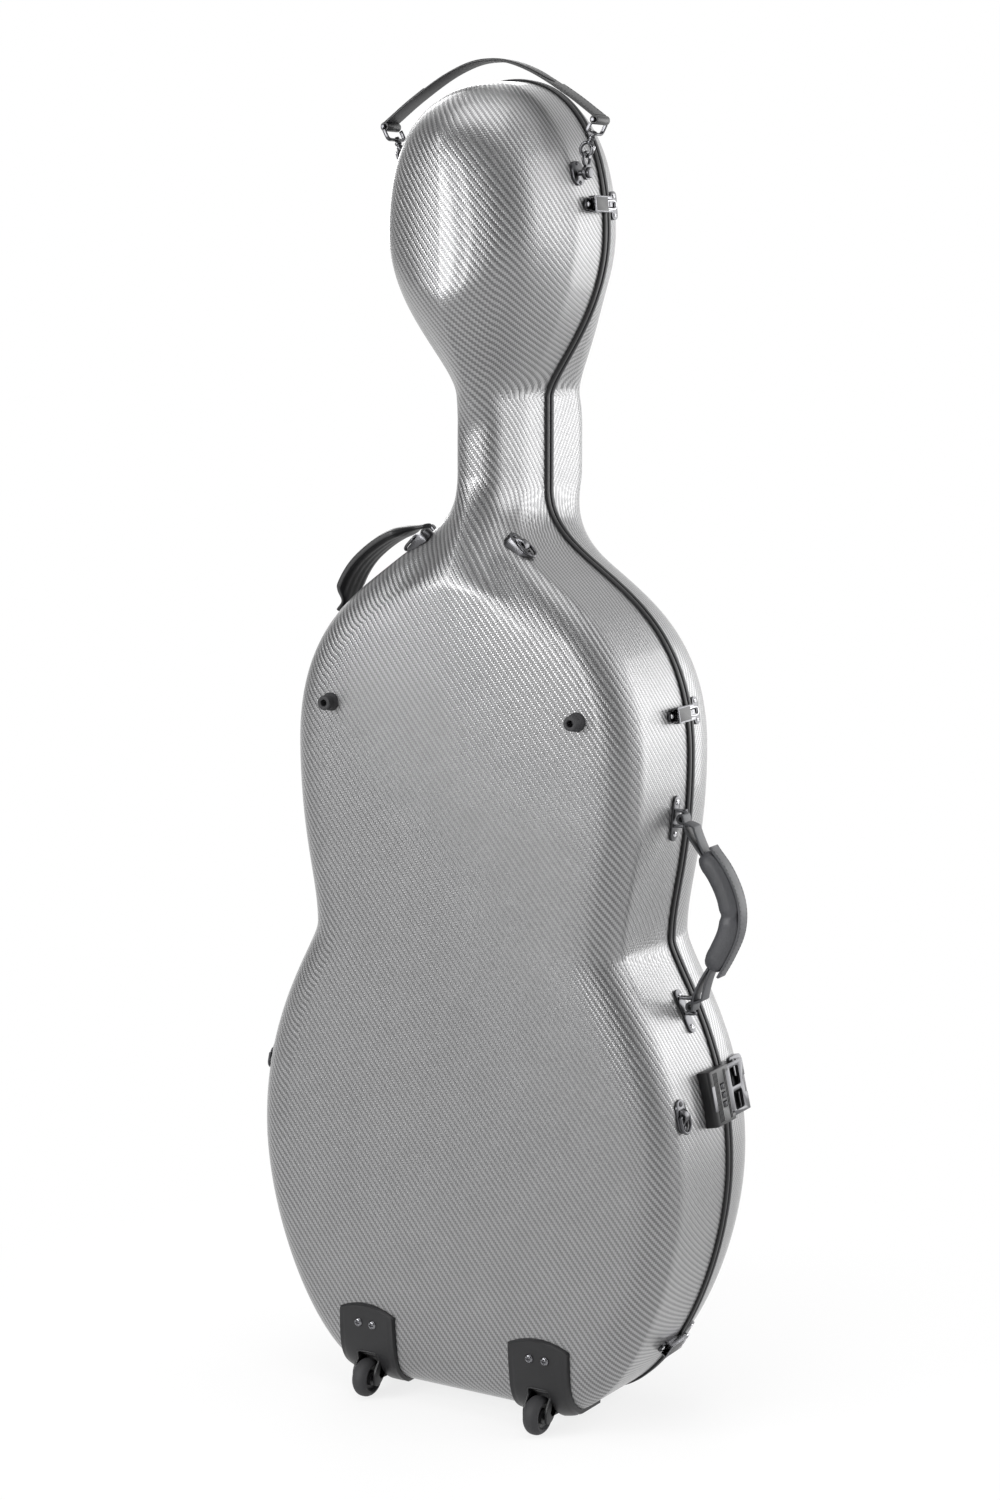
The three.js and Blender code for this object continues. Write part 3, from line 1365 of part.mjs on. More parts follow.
const HEAD_AXIS = new V3(0, STUD_Y, STUD_Z);
const LINK_HIGH_X = STUD_END_X - STUD_HEAD_SHEET - SEAT_GAP;
const LINK_X = LINK_HIGH_X - LINK_SHEET / 2;
const LOOP_CENTRE = new V3(LINK_X, STUD_Y, STUD_Z + LINK_LOOP_RISE);
const HOOK_REST = LINK_LOOP_RADIUS - LINK_WIRE - SEAT_GAP - HOOK_WIRE;
const HOOK_CENTRE = LOOP_CENTRE.clone().add(new V3(0, 0, HOOK_REST + HOOK_RADIUS));
const HOOK_BAR = HOOK_CENTRE.clone().add(
  new V3(Math.sin(HOOK_LEAN), 0, Math.cos(HOOK_LEAN)).multiplyScalar(HOOK_BAR_RISE),
);

function headLug() {
  const floorShape = roundedShape(STUD_PLATE, STUD_PLATE * 1.2, STUD_PLATE * 0.4);
  const place = wallPlace(STUD_Z, STUD_Y);
  const floor = moved(plate(floorShape, -CUT_OVERRUN / 2, LUG_SHEET), place);
  const stud = rod(STUD_RADIUS, STUD_ROOT_X, STUD_END_X, 'x', HEAD_AXIS);
  const head = rod(
    STUD_HEAD_RADIUS,
    STUD_END_X - STUD_HEAD_SHEET,
    STUD_END_X,
    'x',
    HEAD_AXIS,
  );
  return join(floor, stud, head).subtract(BACK_SEAT);
}

function headLink() {
  const low = LINK_HIGH_X - LINK_SHEET;
  const eye = rod(LINK_EYE_RADIUS, low, LINK_HIGH_X, 'x', HEAD_AXIS);
  const radius = STUD_RADIUS + SEAT_GAP;
  const bore = rod(radius, low - BORE_OVERRUN, LINK_HIGH_X + BORE_OVERRUN, 'x', HEAD_AXIS);
  const upright = new THREE.Matrix4().makeRotationY(Math.PI / 2).setPosition(LOOP_CENTRE);
  const loop = moved(arcBody(LINK_LOOP_RADIUS, LINK_WIRE, 2 * Math.PI, 12), upright);
  return join(eye, loop).subtract(bore);
}

function snapHook() {
  const flat = new THREE.Matrix4().makeRotationX(Math.PI / 2);
  const claw = moved(arcBody(HOOK_RADIUS, HOOK_WIRE, 2 * Math.PI, 12), flat);
  const barrel = rod(HOOK_BARREL_RADIUS, HOOK_RADIUS, HOOK_BARREL_END, 'z');
  const sheet = HOOK_BAR_RADIUS;
  const yoke = box(
    new V3(-sheet, -HOOK_FRAME_HALF, HOOK_BARREL_END - sheet),
    new V3(sheet, HOOK_FRAME_HALF, HOOK_BARREL_END + sheet / 2),
  );
  const legs = [-1, 1].map((side) => {
    const outer = side * HOOK_FRAME_HALF;
    const inner = side * (HOOK_FRAME_HALF - sheet);
    return box(
      new V3(-sheet, Math.min(outer, inner), HOOK_BARREL_END),
      new V3(sheet, Math.max(outer, inner), HOOK_BAR_RISE),
    );
  });
  const at = new V3(0, 0, HOOK_BAR_RISE);
  const bar = rod(HOOK_BAR_RADIUS, -HOOK_FRAME_HALF, HOOK_FRAME_HALF, 'y', at, SMALL_ROUND);
  const lean = new THREE.Matrix4().makeRotationY(HOOK_LEAN).setPosition(HOOK_CENTRE);
  return moved(join(claw, barrel, yoke, ...legs, bar), lean);
}

function headStrap() {
  const loopRadius = HOOK_BAR_RADIUS + 2 * SEAT_GAP + HEAD_STRAP_HALF;
  const start = HOOK_BAR.clone().add(new V3(-SEAT_GAP, 0, loopRadius - HEAD_STRAP_HALF / 2));
  const half = [
    start,
    new V3(HEAD_STRAP_SHOULDER.x, STUD_Y, HEAD_STRAP_SHOULDER.z),
    new V3(HEAD_STRAP_UPPER.x, STUD_Y, HEAD_STRAP_UPPER.z),
  ];
  const flipped = half.map(({ x, y, z }) => new V3(-x, y, z)).reverse();
  const peak = new V3(0, STUD_Y, HEAD_STRAP_PEAK_Z);
  const curve = new THREE.CatmullRomCurve3([...half, peak, ...flipped]);
  const band = sweptBar(curve, 16, 8, () => ({
    thick: HEAD_STRAP_HALF,
    wide: HEAD_STRAP_WIDTH_HALF,
    square: 0.35,
  }));
  const width = HEAD_STRAP_WIDTH_HALF;
  const bars = [HOOK_BAR.x, -HOOK_BAR.x].map((x) => new V3(x, STUD_Y, HOOK_BAR.z));
  const loops = bars.map((at) => rod(loopRadius, -width, width, 'y', at));
  const boreEnd = width + BORE_OVERRUN;
  const bores = bars.map((at) =>
    rod(HOOK_BAR_RADIUS + SEAT_GAP, -boreEnd, boreEnd, 'y', at, SMALL_ROUND));
  return bores.reduce((body, bore) => body.subtract(bore), join(band, ...loops));
}

// Inside

function neckCradle() {
  const slab = box(
    new V3(-NECK_HALF, -CUT_OVERRUN * NECK_HALF, CRADLE_LOW_Z),
    new V3(NECK_HALF, CRADLE_TOP_Y, CRADLE_HIGH_Z),
  );
  const at = new V3(0, CRADLE_TOP_Y, 0);
  const notchLow = CRADLE_LOW_Z - BORE_OVERRUN;
  const notch = rod(CRADLE_NECK_RADIUS, notchLow, CRADLE_HIGH_Z + BORE_OVERRUN, 'z', at);
  return roomBody(BACK, SEAT_GAP).intersect(slab).subtract(notch);
}

function bodyCushion() {
  const deep = -2 * WHEEL_Y;
  const spine = box(
    new V3(-PAD_SPINE_HALF, -deep, PAD_LOW_Z),
    new V3(PAD_SPINE_HALF, 0, PAD_HIGH_Z),
  );
  const wings = [PAD_LOW_Z, PAD_HIGH_Z - PAD_WING_DEPTH].map((z) => box(
    new V3(-PAD_WING_HALF, -deep, z),
    new V3(PAD_WING_HALF, 0, z + PAD_WING_DEPTH),
  ));
  const layer = roomBody(BACK, SEAT_GAP).subtract(roomBody(BACK, PAD_RISE));
  return layer.intersect(join(spine, ...wings));
}

function bowTipHolder() {
  const half = BOW_HOLDER_LENGTH / 2;
  const slab = box(
    new V3(-NECK_HALF, BOW_HOLDER_Y, BOW_HOLDER_Z - half),
    new V3(NECK_HALF, BOW_HOLDER_Y * 4, BOW_HOLDER_Z + half),
  );
  const block = roomBody(LID, SEAT_GAP).intersect(slab);
  const low = BOW_HOLDER_Y + BOW_SOCKET_WALL;
  return [-1, 1].reduce((body, side) => body.subtract(box(
    new V3(side * BOW_X - BOW_SOCKET_HALF, low, BOW_HOLDER_Z - half - BORE_OVERRUN),
    new V3(side * BOW_X + BOW_SOCKET_HALF, low + BOW_SOCKET_DEPTH, BOW_HOLDER_Z + half / 2),
  )), block);
}

const LID_FACE = alongCase(BOW_SPINNER_Z, LID_WALL)
  + alongCase(BOW_SPINNER_Z, LID_CORNER_DEPTH)
  + alongCase(BOW_SPINNER_Z, LID_CROWN);
const SPINNER_AXIS = new V3(0, 0, BOW_SPINNER_Z);

function bowSpinner() {
  const face = LID_FACE - ROOM_SKIN;
  const low = face - BOW_POST_HEIGHT;
  const end = LID_FACE - SHELL_WALL - 2 * SEAT_GAP;
  const post = rod(BOW_POST_RADIUS, low, end, 'y', SPINNER_AXIS);
  const shape = roundedShape(2 * BOW_SPINNER_HALF, BOW_SPINNER_WIDTH, BOW_SPINNER_WIDTH * 0.45);
  const bar = solid(extruded(shape, BOW_SPINNER_THICKNESS).rotateX(Math.PI / 2)
    .translate(0, low + BOW_SPINNER_THICKNESS, BOW_SPINNER_Z));
  return join(bar, post);
}

function spinnerHole() {
  const deep = LID_FACE - SHELL_WALL + 2 * SEAT_GAP;
  const radius = BOW_POST_RADIUS + SEAT_GAP;
  return rod(radius, deep - 2 * LINING_THICKNESS, deep, 'y', SPINNER_AXIS);
}

// Assembly

const cello_case = new THREE.Group();

function put(name, body, material) {
  const mesh = new THREE.Mesh(geometryOf(body), material());
  mesh.name = name;
  cello_case.add(mesh);
}

// A fitting for the latch side, and its mirror image for the other
function putPair(name, body, material) {
  put(`${name}_right`, body, material);
  put(`${name}_left`, mirrored(body), material);
}

function addShells() {
  const wells = [-1, 1].map((side) => wellBody(WELL_WALL + SEAT_GAP, side * WHEEL_X));
  const cutWells = (body) => wells.reduce((rest, well) => rest.subtract(well), body);
  put('back_shell', cutWells(shellBody(BACK)), FINISHES.twillShell);
  put('back_trim', trimBody(BACK), FINISHES.blackTrim);
  put('back_lining', cutWells(liningBody(BACK)), FINISHES.plush);
  put('lid_shell', shellBody(LID), FINISHES.twillShell);
  put('lid_trim', trimBody(LID), FINISHES.blackTrim);
  put('lid_lining', liningBody(LID).subtract(spinnerHole()), FINISHES.plush);
}

function addPadding() {
  put('neck_cradle', neckCradle(), FINISHES.foam);
  put('body_cushion', bodyCushion(), FINISHES.foam);
  put('bow_tip_holder', bowTipHolder(), FINISHES.mouldedBlack);
  put('bow_spinner', bowSpinner(), FINISHES.mouldedBlack);
}

function addRollingGear() {
  const place = new THREE.Matrix4().makeRotationZ(-Math.PI / 2);
  place.setPosition(WHEEL_X, WHEEL_Y, WHEEL_RADIUS);
  putPair('wheel_housing', wheelHousing(WHEEL_X), FINISHES.mouldedBlack);
  putPair('wheel', moved(wheelBody(), place), FINISHES.rubber);
  put('base_foot', baseFoot(), FINISHES.rubber);
}

function addBackFeet() {
  const face = alongCase(BACK_FOOT_Z, BACK_WALL) + alongCase(BACK_FOOT_Z, BACK_CORNER_DEPTH);
  const place = new THREE.Matrix4().makeRotationX(Math.PI);
  place.setPosition(BACK_FOOT_X, -face, BACK_FOOT_Z);
  putPair('back_foot', seated(backFoot(), BACK_SEAT, place), FINISHES.rubber);
}

function addHinges() {
  const places = [
    ['lower', LOWER_BOUT_Z + HINGE_OVER_LOWER_BOUT],
    ['upper', UPPER_BOUT_Z + HINGE_OVER_UPPER_BOUT],
  ];
  for (const [label, z] of places) {
    const place = hingePlace(z);
    const { back, lid } = hingePair();
    put(`hinge_leaf_${label}_back`, seated(back, BACK_SEAT, place), FINISHES.gunmetal);
    put(`hinge_leaf_${label}_lid`, seated(lid, LID_SEAT, place), FINISHES.gunmetal);
  }
}

function addLatches() {
  const places = [
    ['head', LATCH_HEAD_Z],
    ['shoulder', LATCH_SHOULDER_Z],
    ['bottom', LATCH_BOTTOM_Z],
  ];
  for (const [label, z] of places) {
    const place = wallPlace(z);
    put(`latch_base_${label}`, seated(latchBase(), BACK_SEAT, place), FINISHES.gunmetal);
    put(`latch_lever_${label}`, moved(latchLever(), place), FINISHES.gunmetal);
    put(`latch_bail_${label}`, moved(latchBail(), place), FINISHES.chrome);
    put(`latch_keeper_${label}`, seated(latchKeeper(), LID_SEAT, place), FINISHES.gunmetal);
  }
}

function addLock() {
  const place = wallPlace(LOCK_Z);
  put('lock_housing', seated(lockHousing(), BACK_SEAT, place), FINISHES.mouldedBlack);
  for (const turn of [-1, 0, 1]) {
    const shift = new THREE.Matrix4().makeTranslation(DIAL_RISE, DIAL_Y, turn * DIAL_PITCH);
    put(`lock_dial_${turn + 2}`, moved(lockDial(), place.clone().multiply(shift)), FINISHES.chrome);
  }
  put('lock_hasp', moved(lockHasp(), place), FINISHES.chrome);
  put('lock_keeper', seated(lockKeeper(), LID_SEAT, place), FINISHES.gunmetal);
}

function addSideHandle() {
  const axes = handlePlace(HANDLE_LOW, HANDLE_HIGH, HANDLE_Y);
  put('side_handle', moved(sideHandle(), axes), FINISHES.leather);
  for (const [label, pin] of [['upper', HANDLE_HIGH], ['lower', HANDLE_LOW]]) {
    const bracket = handleBracket(pin, HANDLE_Y, axes);
    put(`side_handle_bracket_${label}`, bracket, FINISHES.gunmetal);
  }
}

function addShoulderHandle() {
  const axes = handlePlace(SHOULDER_HANDLE_LOW, SHOULDER_HANDLE_HIGH, SHOULDER_HANDLE_Y);
  put('shoulder_handle', mirrored(moved(shoulderHandle(), axes)), FINISHES.leather);
  const ends = [['upper', SHOULDER_HANDLE_HIGH], ['lower', SHOULDER_HANDLE_LOW]];
  for (const [label, pin] of ends) {
    const bracket = mirrored(handleBracket(pin, SHOULDER_HANDLE_Y, axes));
    put(`shoulder_handle_bracket_${label}`, bracket, FINISHES.gunmetal);
  }
}

function addStrapGear() {
  for (const [label, spot] of [['upper', UPPER_LUG], ['lower', LOWER_LUG]]) {
    const place = wallPlace(spot.z, spot.y);
    putPair(`strap_lug_${label}`, seated(strapLug(), BACK_SEAT, place), FINISHES.gunmetal);
    putPair(`strap_ring_${label}`, moved(strapRing(), place), FINISHES.chrome);
  }
  putPair('head_lug', headLug(), FINISHES.gunmetal);
  putPair('head_link', headLink(), FINISHES.gunmetal);
  putPair('snap_hook', snapHook(), FINISHES.gunmetal);
  put('head_strap', headStrap(), FINISHES.leather);
}

addShells();
addPadding();
addRollingGear();
addBackFeet();
addHinges();
addLatches();
addLock();
addSideHandle();
addShoulderHandle();
addStrapGear();

// The origin is the middle of the case's box at the floor
const bounds = new THREE.Box3().setFromObject(cello_case);
const middle = bounds.getCenter(new V3());
cello_case.position.set(-middle.x, -middle.y, -bounds.min.z);

export default cello_case;
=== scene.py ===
"""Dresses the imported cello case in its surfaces: twill shells, trims, lining, leather and metal.

Shapes are worked out in the case's own millimetres, with x to the latches, y from the back to the
lid and the parting plane at zero, and moved into the frame in metres when a piece is made.
"""

import contextlib
import math

import bmesh
import bpy
import numpy as np
from mathutils import Matrix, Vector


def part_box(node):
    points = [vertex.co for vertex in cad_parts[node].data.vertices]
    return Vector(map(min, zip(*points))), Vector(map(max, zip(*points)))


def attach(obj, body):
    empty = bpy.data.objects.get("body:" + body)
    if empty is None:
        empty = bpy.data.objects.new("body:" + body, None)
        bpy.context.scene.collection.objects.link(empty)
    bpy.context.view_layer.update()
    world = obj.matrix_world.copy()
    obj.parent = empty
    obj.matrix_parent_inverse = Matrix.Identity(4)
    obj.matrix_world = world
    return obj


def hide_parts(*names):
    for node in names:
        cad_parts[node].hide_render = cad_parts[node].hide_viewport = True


bl_info = {
    "name": "Cello case looks",
    "version": (1, 0, 0),
    "blender": (4, 5, 0),
    "location": "3D View > Sidebar > Case",
    "description": "Builds the surfaces and materials of a hard cello case round its packed model",
    "category": "Object",
}

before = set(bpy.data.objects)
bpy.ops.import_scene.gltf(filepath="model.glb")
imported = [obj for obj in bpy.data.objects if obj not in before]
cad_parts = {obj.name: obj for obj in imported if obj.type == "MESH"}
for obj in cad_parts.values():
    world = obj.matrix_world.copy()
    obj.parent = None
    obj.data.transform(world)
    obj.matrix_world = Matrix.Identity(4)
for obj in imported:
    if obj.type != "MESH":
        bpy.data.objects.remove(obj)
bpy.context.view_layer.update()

MM = 0.001
SEAT_GAP = 0.3
PARTING_GAP = 1.6

# The frame's place of the case's own origin: the shell's middle and the parting plane
SHELL_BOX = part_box("back_shell")
TRIM_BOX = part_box("back_trim")
ORIGIN = np.array([
    (SHELL_BOX[0].x + SHELL_BOX[1].x) / 2,
    TRIM_BOX[1].y + PARTING_GAP / 2 * MM,
    0.0,
])

# Outline in the parting plane: half widths, and heights above the floor
BASE_Z = 13.0
BASE_FLAT = (112.0, BASE_Z)
LOWER_BOUT = (250.0, 272.0)
WAIST = (182.0, 497.0)
UPPER_BOUT = (202.0, 684.0)
NECK_LOW = (38.0, 947.0)
NECK_HIGH = (38.0, 1038.0)
HEAD = (103.0, 1200.0)
TOP_Z = 1350.0
SHOULDER = (875.0, 962.0)
NAPE = (1008.0, 1150.0)

# Sections of each half at the body, the neck and the head
BACK = {
    "side": -1,
    "wall": (102, 35, 54),
    "depth": (26, 48, 79),
    "inset": (36, 18, 38),
    "crown": (6, 4, 15),
    "draft": 3,
    "crease": math.radians(18),
}
LID = {
    "side": 1,
    "wall": (13, 58, 9),
    "depth": (84, 38, 64),
    "inset": (46, 19, 44),
    "crown": (46, 8, 20),
    "draft": 1,
    "crease": 0.0,
}

# Rows that the skins are worked out in, up the wall, round the corner and over the face
WALL_ROWS = 10
CORNER_ROWS = 26
FACE_ROWS = 26

SHELL_WALL = 4.5
LINING_GAP = 0.6
LINING_THICKNESS = 8.0
TRIM_WEB = 1.4
TRIM_PROUD = 2.5
TRIM_WIDTH = 7.5
TRIM_LIP = 1.4
TRIM_LIP_WIDTH = 6.0
RIM = PARTING_GAP / 2 + TRIM_WEB + SEAT_GAP

WHEEL_X = 103.0
WHEEL_Y = -132.0
WHEEL_RADIUS = 20.0
WHEEL_WIDTH = 17.0
WELL_RADIUS = 23.0
WELL_WALL = 2.6
WELL_HALF = WHEEL_WIDTH / 2 + 3
HOUSING_HALF = 35.0
HOUSING_TOP_Z = 100.0
HOUSING_ARCH = 9.0
HOUSING_WRAP = 62.0
HOUSING_THICKNESS = 4.0

BACK_FOOT = (143.0, 731.0)
SKID_Y = 46.0
SKID_HALF = 70.0
SKID_DEPTH = 26.0

LATCH_HEIGHTS = {"head": 1227.0, "shoulder": 729.0, "bottom": 79.0}
LATCH_WIDTH = 16.0
LATCH_REACH = 36.0
LATCH_PIVOT_Y = -3.2
LATCH_PIVOT_RISE = 5.3
LATCH_TOP_RISE = 8.8
LATCH_SHEET = 1.3
BAIL_OFFSET = 5.0

LOCK_Z = 346.0
LOCK_HALF = 28.0
LOCK_RISE = 11.0
LOCK_REACH = 36.0
DIAL_RADIUS = 5.6
DIAL_PITCH = 9.0
DIAL_Y = -20.0
DIAL_RISE = 6.6

HANDLE_Y = -29.0
HANDLE_LOW = (222.0, 438.0)
HANDLE_HIGH = (210.0, 627.0)
HANDLE_BOW = 48.0
SHOULDER_HANDLE_Y = -58.0
SHOULDER_HANDLE_LOW = (170.0, 815.0)
SHOULDER_HANDLE_HIGH = (70.0, 901.0)
SHOULDER_HANDLE_BOW = 27.0
KNUCKLE_RADIUS = 5.0

# Strap lugs: y and z of their middles
LUGS = {"upper": (-92.0, 897.0), "lower": (-90.0, 342.0)}
RING_WIRE = 1.6
RING_HALF = 9.0
RING_LENGTH = 17.0
LUG_SHEET = 2.2

STUD_Y = -46.0
STUD_Z = 1257.0
STUD_END = 110.0
STUD_CAP = 2.4
LINK_HALF = 1.9
LINK_X = STUD_END - STUD_CAP - SEAT_GAP - LINK_HALF
LOOP_RADIUS = 6.5
LOOP_WIRE = 1.7
LOOP_CENTRE = np.array([LINK_X, STUD_Y, STUD_Z + 13])
HOOK_EYE = 6.5
HOOK_WIRE = 1.8
HOOK_BAR = 31.0
HOOK_LEAN = math.radians(28)
HOOK_CENTRE = LOOP_CENTRE + (0, 0, LOOP_RADIUS - LOOP_WIRE - SEAT_GAP - HOOK_WIRE + HOOK_EYE)

SIDES = {"right": 1, "left": -1}
PAD_FRAMES = 20


# Settings that a user would change


def colour(name, description, default):
    """The property of a colour."""
    return bpy.props.FloatVectorProperty(
        name=name, description=description, default=default, size=3, subtype="COLOR", min=0, max=1
    )


def share_of(name, description):
    """The property of a share, at first the whole."""
    return bpy.props.FloatProperty(
        name=name, description=description, default=1.0, min=0, soft_max=2, subtype="FACTOR"
    )


class ClothSettings(bpy.types.PropertyGroup):
    """The twill shells and what lines them."""

    tow: bpy.props.FloatProperty(
        name="Tow width", description="Width of one tow of the twill", default=0.00193,
        unit="LENGTH",
    )
    weave_turn: bpy.props.FloatProperty(
        name="Weave turn", description="How far the cloth lies turned on the case",
        default=math.radians(6), subtype="ANGLE",
    )
    # The grey of the cloth is its own. The split between these two colours is painted reflection,
    # standing in for how the warp and the weft catch the light at their different lie.
    painted_lit_tow: colour(
        "Bright tow", "Colour of the tows that run along the case", (0.31, 0.31, 0.313)
    )
    painted_shaded_tow: colour(
        "Dim tow", "Colour of the tows that run across the case", (0.155, 0.155, 0.158)
    )
    plush: colour("Plush", "Colour of the lining", (0.018, 0.019, 0.022))


class FittingSettings(bpy.types.PropertyGroup):
    """Metal, moulded and rubber fittings."""

    edge: share_of("Edge rounding", "Share of the rounding of stamped and moulded edges")
    screw: share_of("Screw heads", "Share of the size of the screw heads")
    trim: colour("Back trim", "Colour of the back's rim trim", (0.006, 0.006, 0.007))
    lid_trim: colour("Lid trim", "Colour of the lid's rim trim", (0.014, 0.014, 0.016))
    moulded: colour("Moulded", "Colour of the moulded fittings", (0.014, 0.014, 0.015))
    rubber: colour("Rubber", "Colour of tyres and feet", (0.022, 0.022, 0.024))
    gunmetal: colour("Gunmetal", "Colour of the dark plated metal", (0.09, 0.09, 0.095))
    bright: colour("Bright metal", "Colour of the bright plated metal", (0.62, 0.62, 0.64))


class LeatherSettings(bpy.types.PropertyGroup):
    """Handles and the strap over the head."""

    leather: colour("Leather", "Colour of the side handle", (0.05, 0.051, 0.056))
    strap: colour(
        "Strap", "Colour of the head strap and the shoulder handle", (0.006, 0.006, 0.007)
    )
    stitch: bpy.props.FloatProperty(
        name="Stitch pitch", description="Distance from stitch to stitch", default=0.0042,
        unit="LENGTH",
    )


class StageSettings(bpy.types.PropertyGroup):
    """Camera, floor and lamps."""

    lens: bpy.props.FloatProperty(
        name="Lens", description="Focal length on a 36 mm frame", default=69.99, unit="CAMERA"
    )
    camera_azimuth: bpy.props.FloatProperty(
        name="Camera azimuth", description="How far the camera stands round to the latches",
        default=math.radians(30.64), subtype="ANGLE",
    )
    camera_pitch: bpy.props.FloatProperty(
        name="Camera pitch", description="How far the camera looks down",
        default=math.radians(8.89), subtype="ANGLE",
    )
    camera_place: bpy.props.FloatVectorProperty(
        name="Camera place", description="Where the camera stands, from the case's own origin",
        default=(1.50287, -2.57011, 1.14073), size=3, subtype="TRANSLATION", unit="LENGTH",
    )
    lamp: share_of("Lamp strength", "Share of the lamps' full power")


# Outline and sections


def bezier(control, share):
    """Points of the cubic through its four control points, weighed by the Bernstein polynomials."""
    a, b, c, d = np.asarray(control, float)
    t = np.asarray(share, float)[..., None]
    return (1 - t) ** 3 * a + 3 * (1 - t) ** 2 * t * b + 3 * (1 - t) * t**2 * c + t**3 * d


def bezier_slope(control, share):
    """Direction of the cubic: the weighed differences of its control points, as unit vectors."""
    a, b, c, d = np.asarray(control, float)
    t = np.asarray(share, float)[..., None]
    slope = (1 - t) ** 2 * (b - a) + 2 * (1 - t) * t * (c - b) + t**2 * (d - c)
    return slope / np.linalg.norm(slope, axis=-1, keepdims=True)


def swell(start, end, start_share, end_share):
    """A cubic between two places where the outline runs upright."""
    rise = end[1] - start[1]
    low = (start[0], start[1] + rise * start_share)
    return [start, low, (end[0], end[1] - rise * end_share), end]


def straight(start, end):
    """A line, written as a cubic with its handles at the thirds."""
    start, end = np.array(start), np.array(end)
    return [start, start + (end - start) / 3, end - (end - start) / 3, end]


STRETCHES = [
    straight((0.0, BASE_Z), BASE_FLAT),
    [
        BASE_FLAT,
        (BASE_FLAT[0] + (LOWER_BOUT[0] - BASE_FLAT[0]) * 0.5, BASE_Z),
        (LOWER_BOUT[0], LOWER_BOUT[1] - (LOWER_BOUT[1] - BASE_Z) * 0.44),
        LOWER_BOUT,
    ],
    swell(LOWER_BOUT, WAIST, 0.57, 0.1),
    swell(WAIST, UPPER_BOUT, 0.236, 0.54),
    swell(UPPER_BOUT, NECK_LOW, 0.7, 0.34),
    straight(NECK_LOW, NECK_HIGH),
    swell(NECK_HIGH, HEAD, 0.15, 0.5),
    [HEAD, (HEAD[0], HEAD[1] + (TOP_Z - HEAD[1]) * 0.62), (HEAD[0] * 0.6, TOP_Z), (0.0, TOP_Z)],
]
COARSE_STEPS = (1, 6, 5, 4, 10, 1, 6, 5)
FINE_STEPS = (14, 44, 34, 28, 54, 14, 36, 46)


def trace(steps):
    """Places along the right half of the outline: stretch number plus share, point and way in."""
    places, points, inward = [], [], []
    for number, (control, count) in enumerate(zip(STRETCHES, steps)):
        share = np.arange(count) / count
        slope = bezier_slope(control, share)
        places.append(number + share)
        points.append(bezier(control, share))
        inward.append(np.stack([-slope[:, 1], slope[:, 0]], -1))
    places.append([float(len(STRETCHES))])
    points.append([(0.0, TOP_Z)])
    inward.append([(0.0, -1.0)])
    return np.concatenate(places), np.concatenate(points), np.concatenate(inward)


def round_trip(right, flip):
    """The right half and its mirror image as a closed trip. flip is -1 where values change sign."""
    left = right[1:-1][::-1] * flip
    return np.concatenate([right, left])


def ease_share():
    """How far the corner is drawn in: less where the outline turns tightly, then smoothed."""
    places, points, inward = trace(COARSE_STEPS)
    points = round_trip(points, np.array([-1, 1]))
    inward = round_trip(inward, np.array([-1, 1]))
    before, after = np.roll(inward, 1, 0), np.roll(inward, -1, 0)
    turn = before[:, 0] * after[:, 1] - before[:, 1] * after[:, 0]
    length = np.linalg.norm(np.roll(points, -1, 0) - np.roll(points, 1, 0), axis=1)
    radius = np.where(turn > 0, length / np.where(turn > 0, turn, 1), np.inf)
    ease = np.minimum(1, 0.62 * radius / LID["inset"][0])
    for _ in range(4):
        ease = (np.roll(ease, 1) + 2 * ease + np.roll(ease, -1)) / 4
    return places, ease[: len(places)]


def smoothed(values, reach):
    """Values on a closed trip, averaged with a raised cosine over their neighbours."""
    kernel = 1 + np.cos(np.linspace(-np.pi, np.pi, 2 * reach + 3)[1:-1])
    kernel /= kernel.sum()
    padded = np.concatenate([values[-reach:], values, values[:reach]])
    return np.convolve(padded, kernel, "valid")


def outline_trip():
    """The fine closed outline: points, ways in and the corner's ease at each station."""
    places, points, inward = trace(FINE_STEPS)
    coarse_places, coarse_ease = ease_share()
    ease = round_trip(np.interp(places, coarse_places, coarse_ease), 1)
    mirror = np.array([-1, 1])
    return round_trip(points, mirror), round_trip(inward, mirror), smoothed(ease, 5)


POINTS, INWARD, EASE = outline_trip()
COUNT = len(POINTS)


def smoothstep(value, low, high):
    t = np.clip((value - low) / (high - low), 0, 1)
    return t * t * (3 - 2 * t)


def along_case(z, zones):
    """A size at height z that runs from the body's over to the neck's and the head's."""
    body, neck, head = zones
    return body + (neck - body) * smoothstep(z, *SHOULDER) + (head - neck) * smoothstep(z, *NAPE)


def place_ring(half, inset, depth):
    """Points all round the outline, moved in by inset and out of the parting plane by depth."""
    flat = POINTS + INWARD * inset[..., None]
    return np.stack([flat[..., 0], half["side"] * depth, flat[..., 1]], -1)


def wall_rows(half, skin, start, count):
    """Rows up the drafted wall, from the depth start to the wall's full depth."""
    wall = along_case(POINTS[:, 1], half["wall"])
    share = np.linspace(0, 1, count)[:, None]
    depth = start + (wall - start) * share
    inset = half["draft"] * depth / wall + skin
    return place_ring(half, inset, depth)


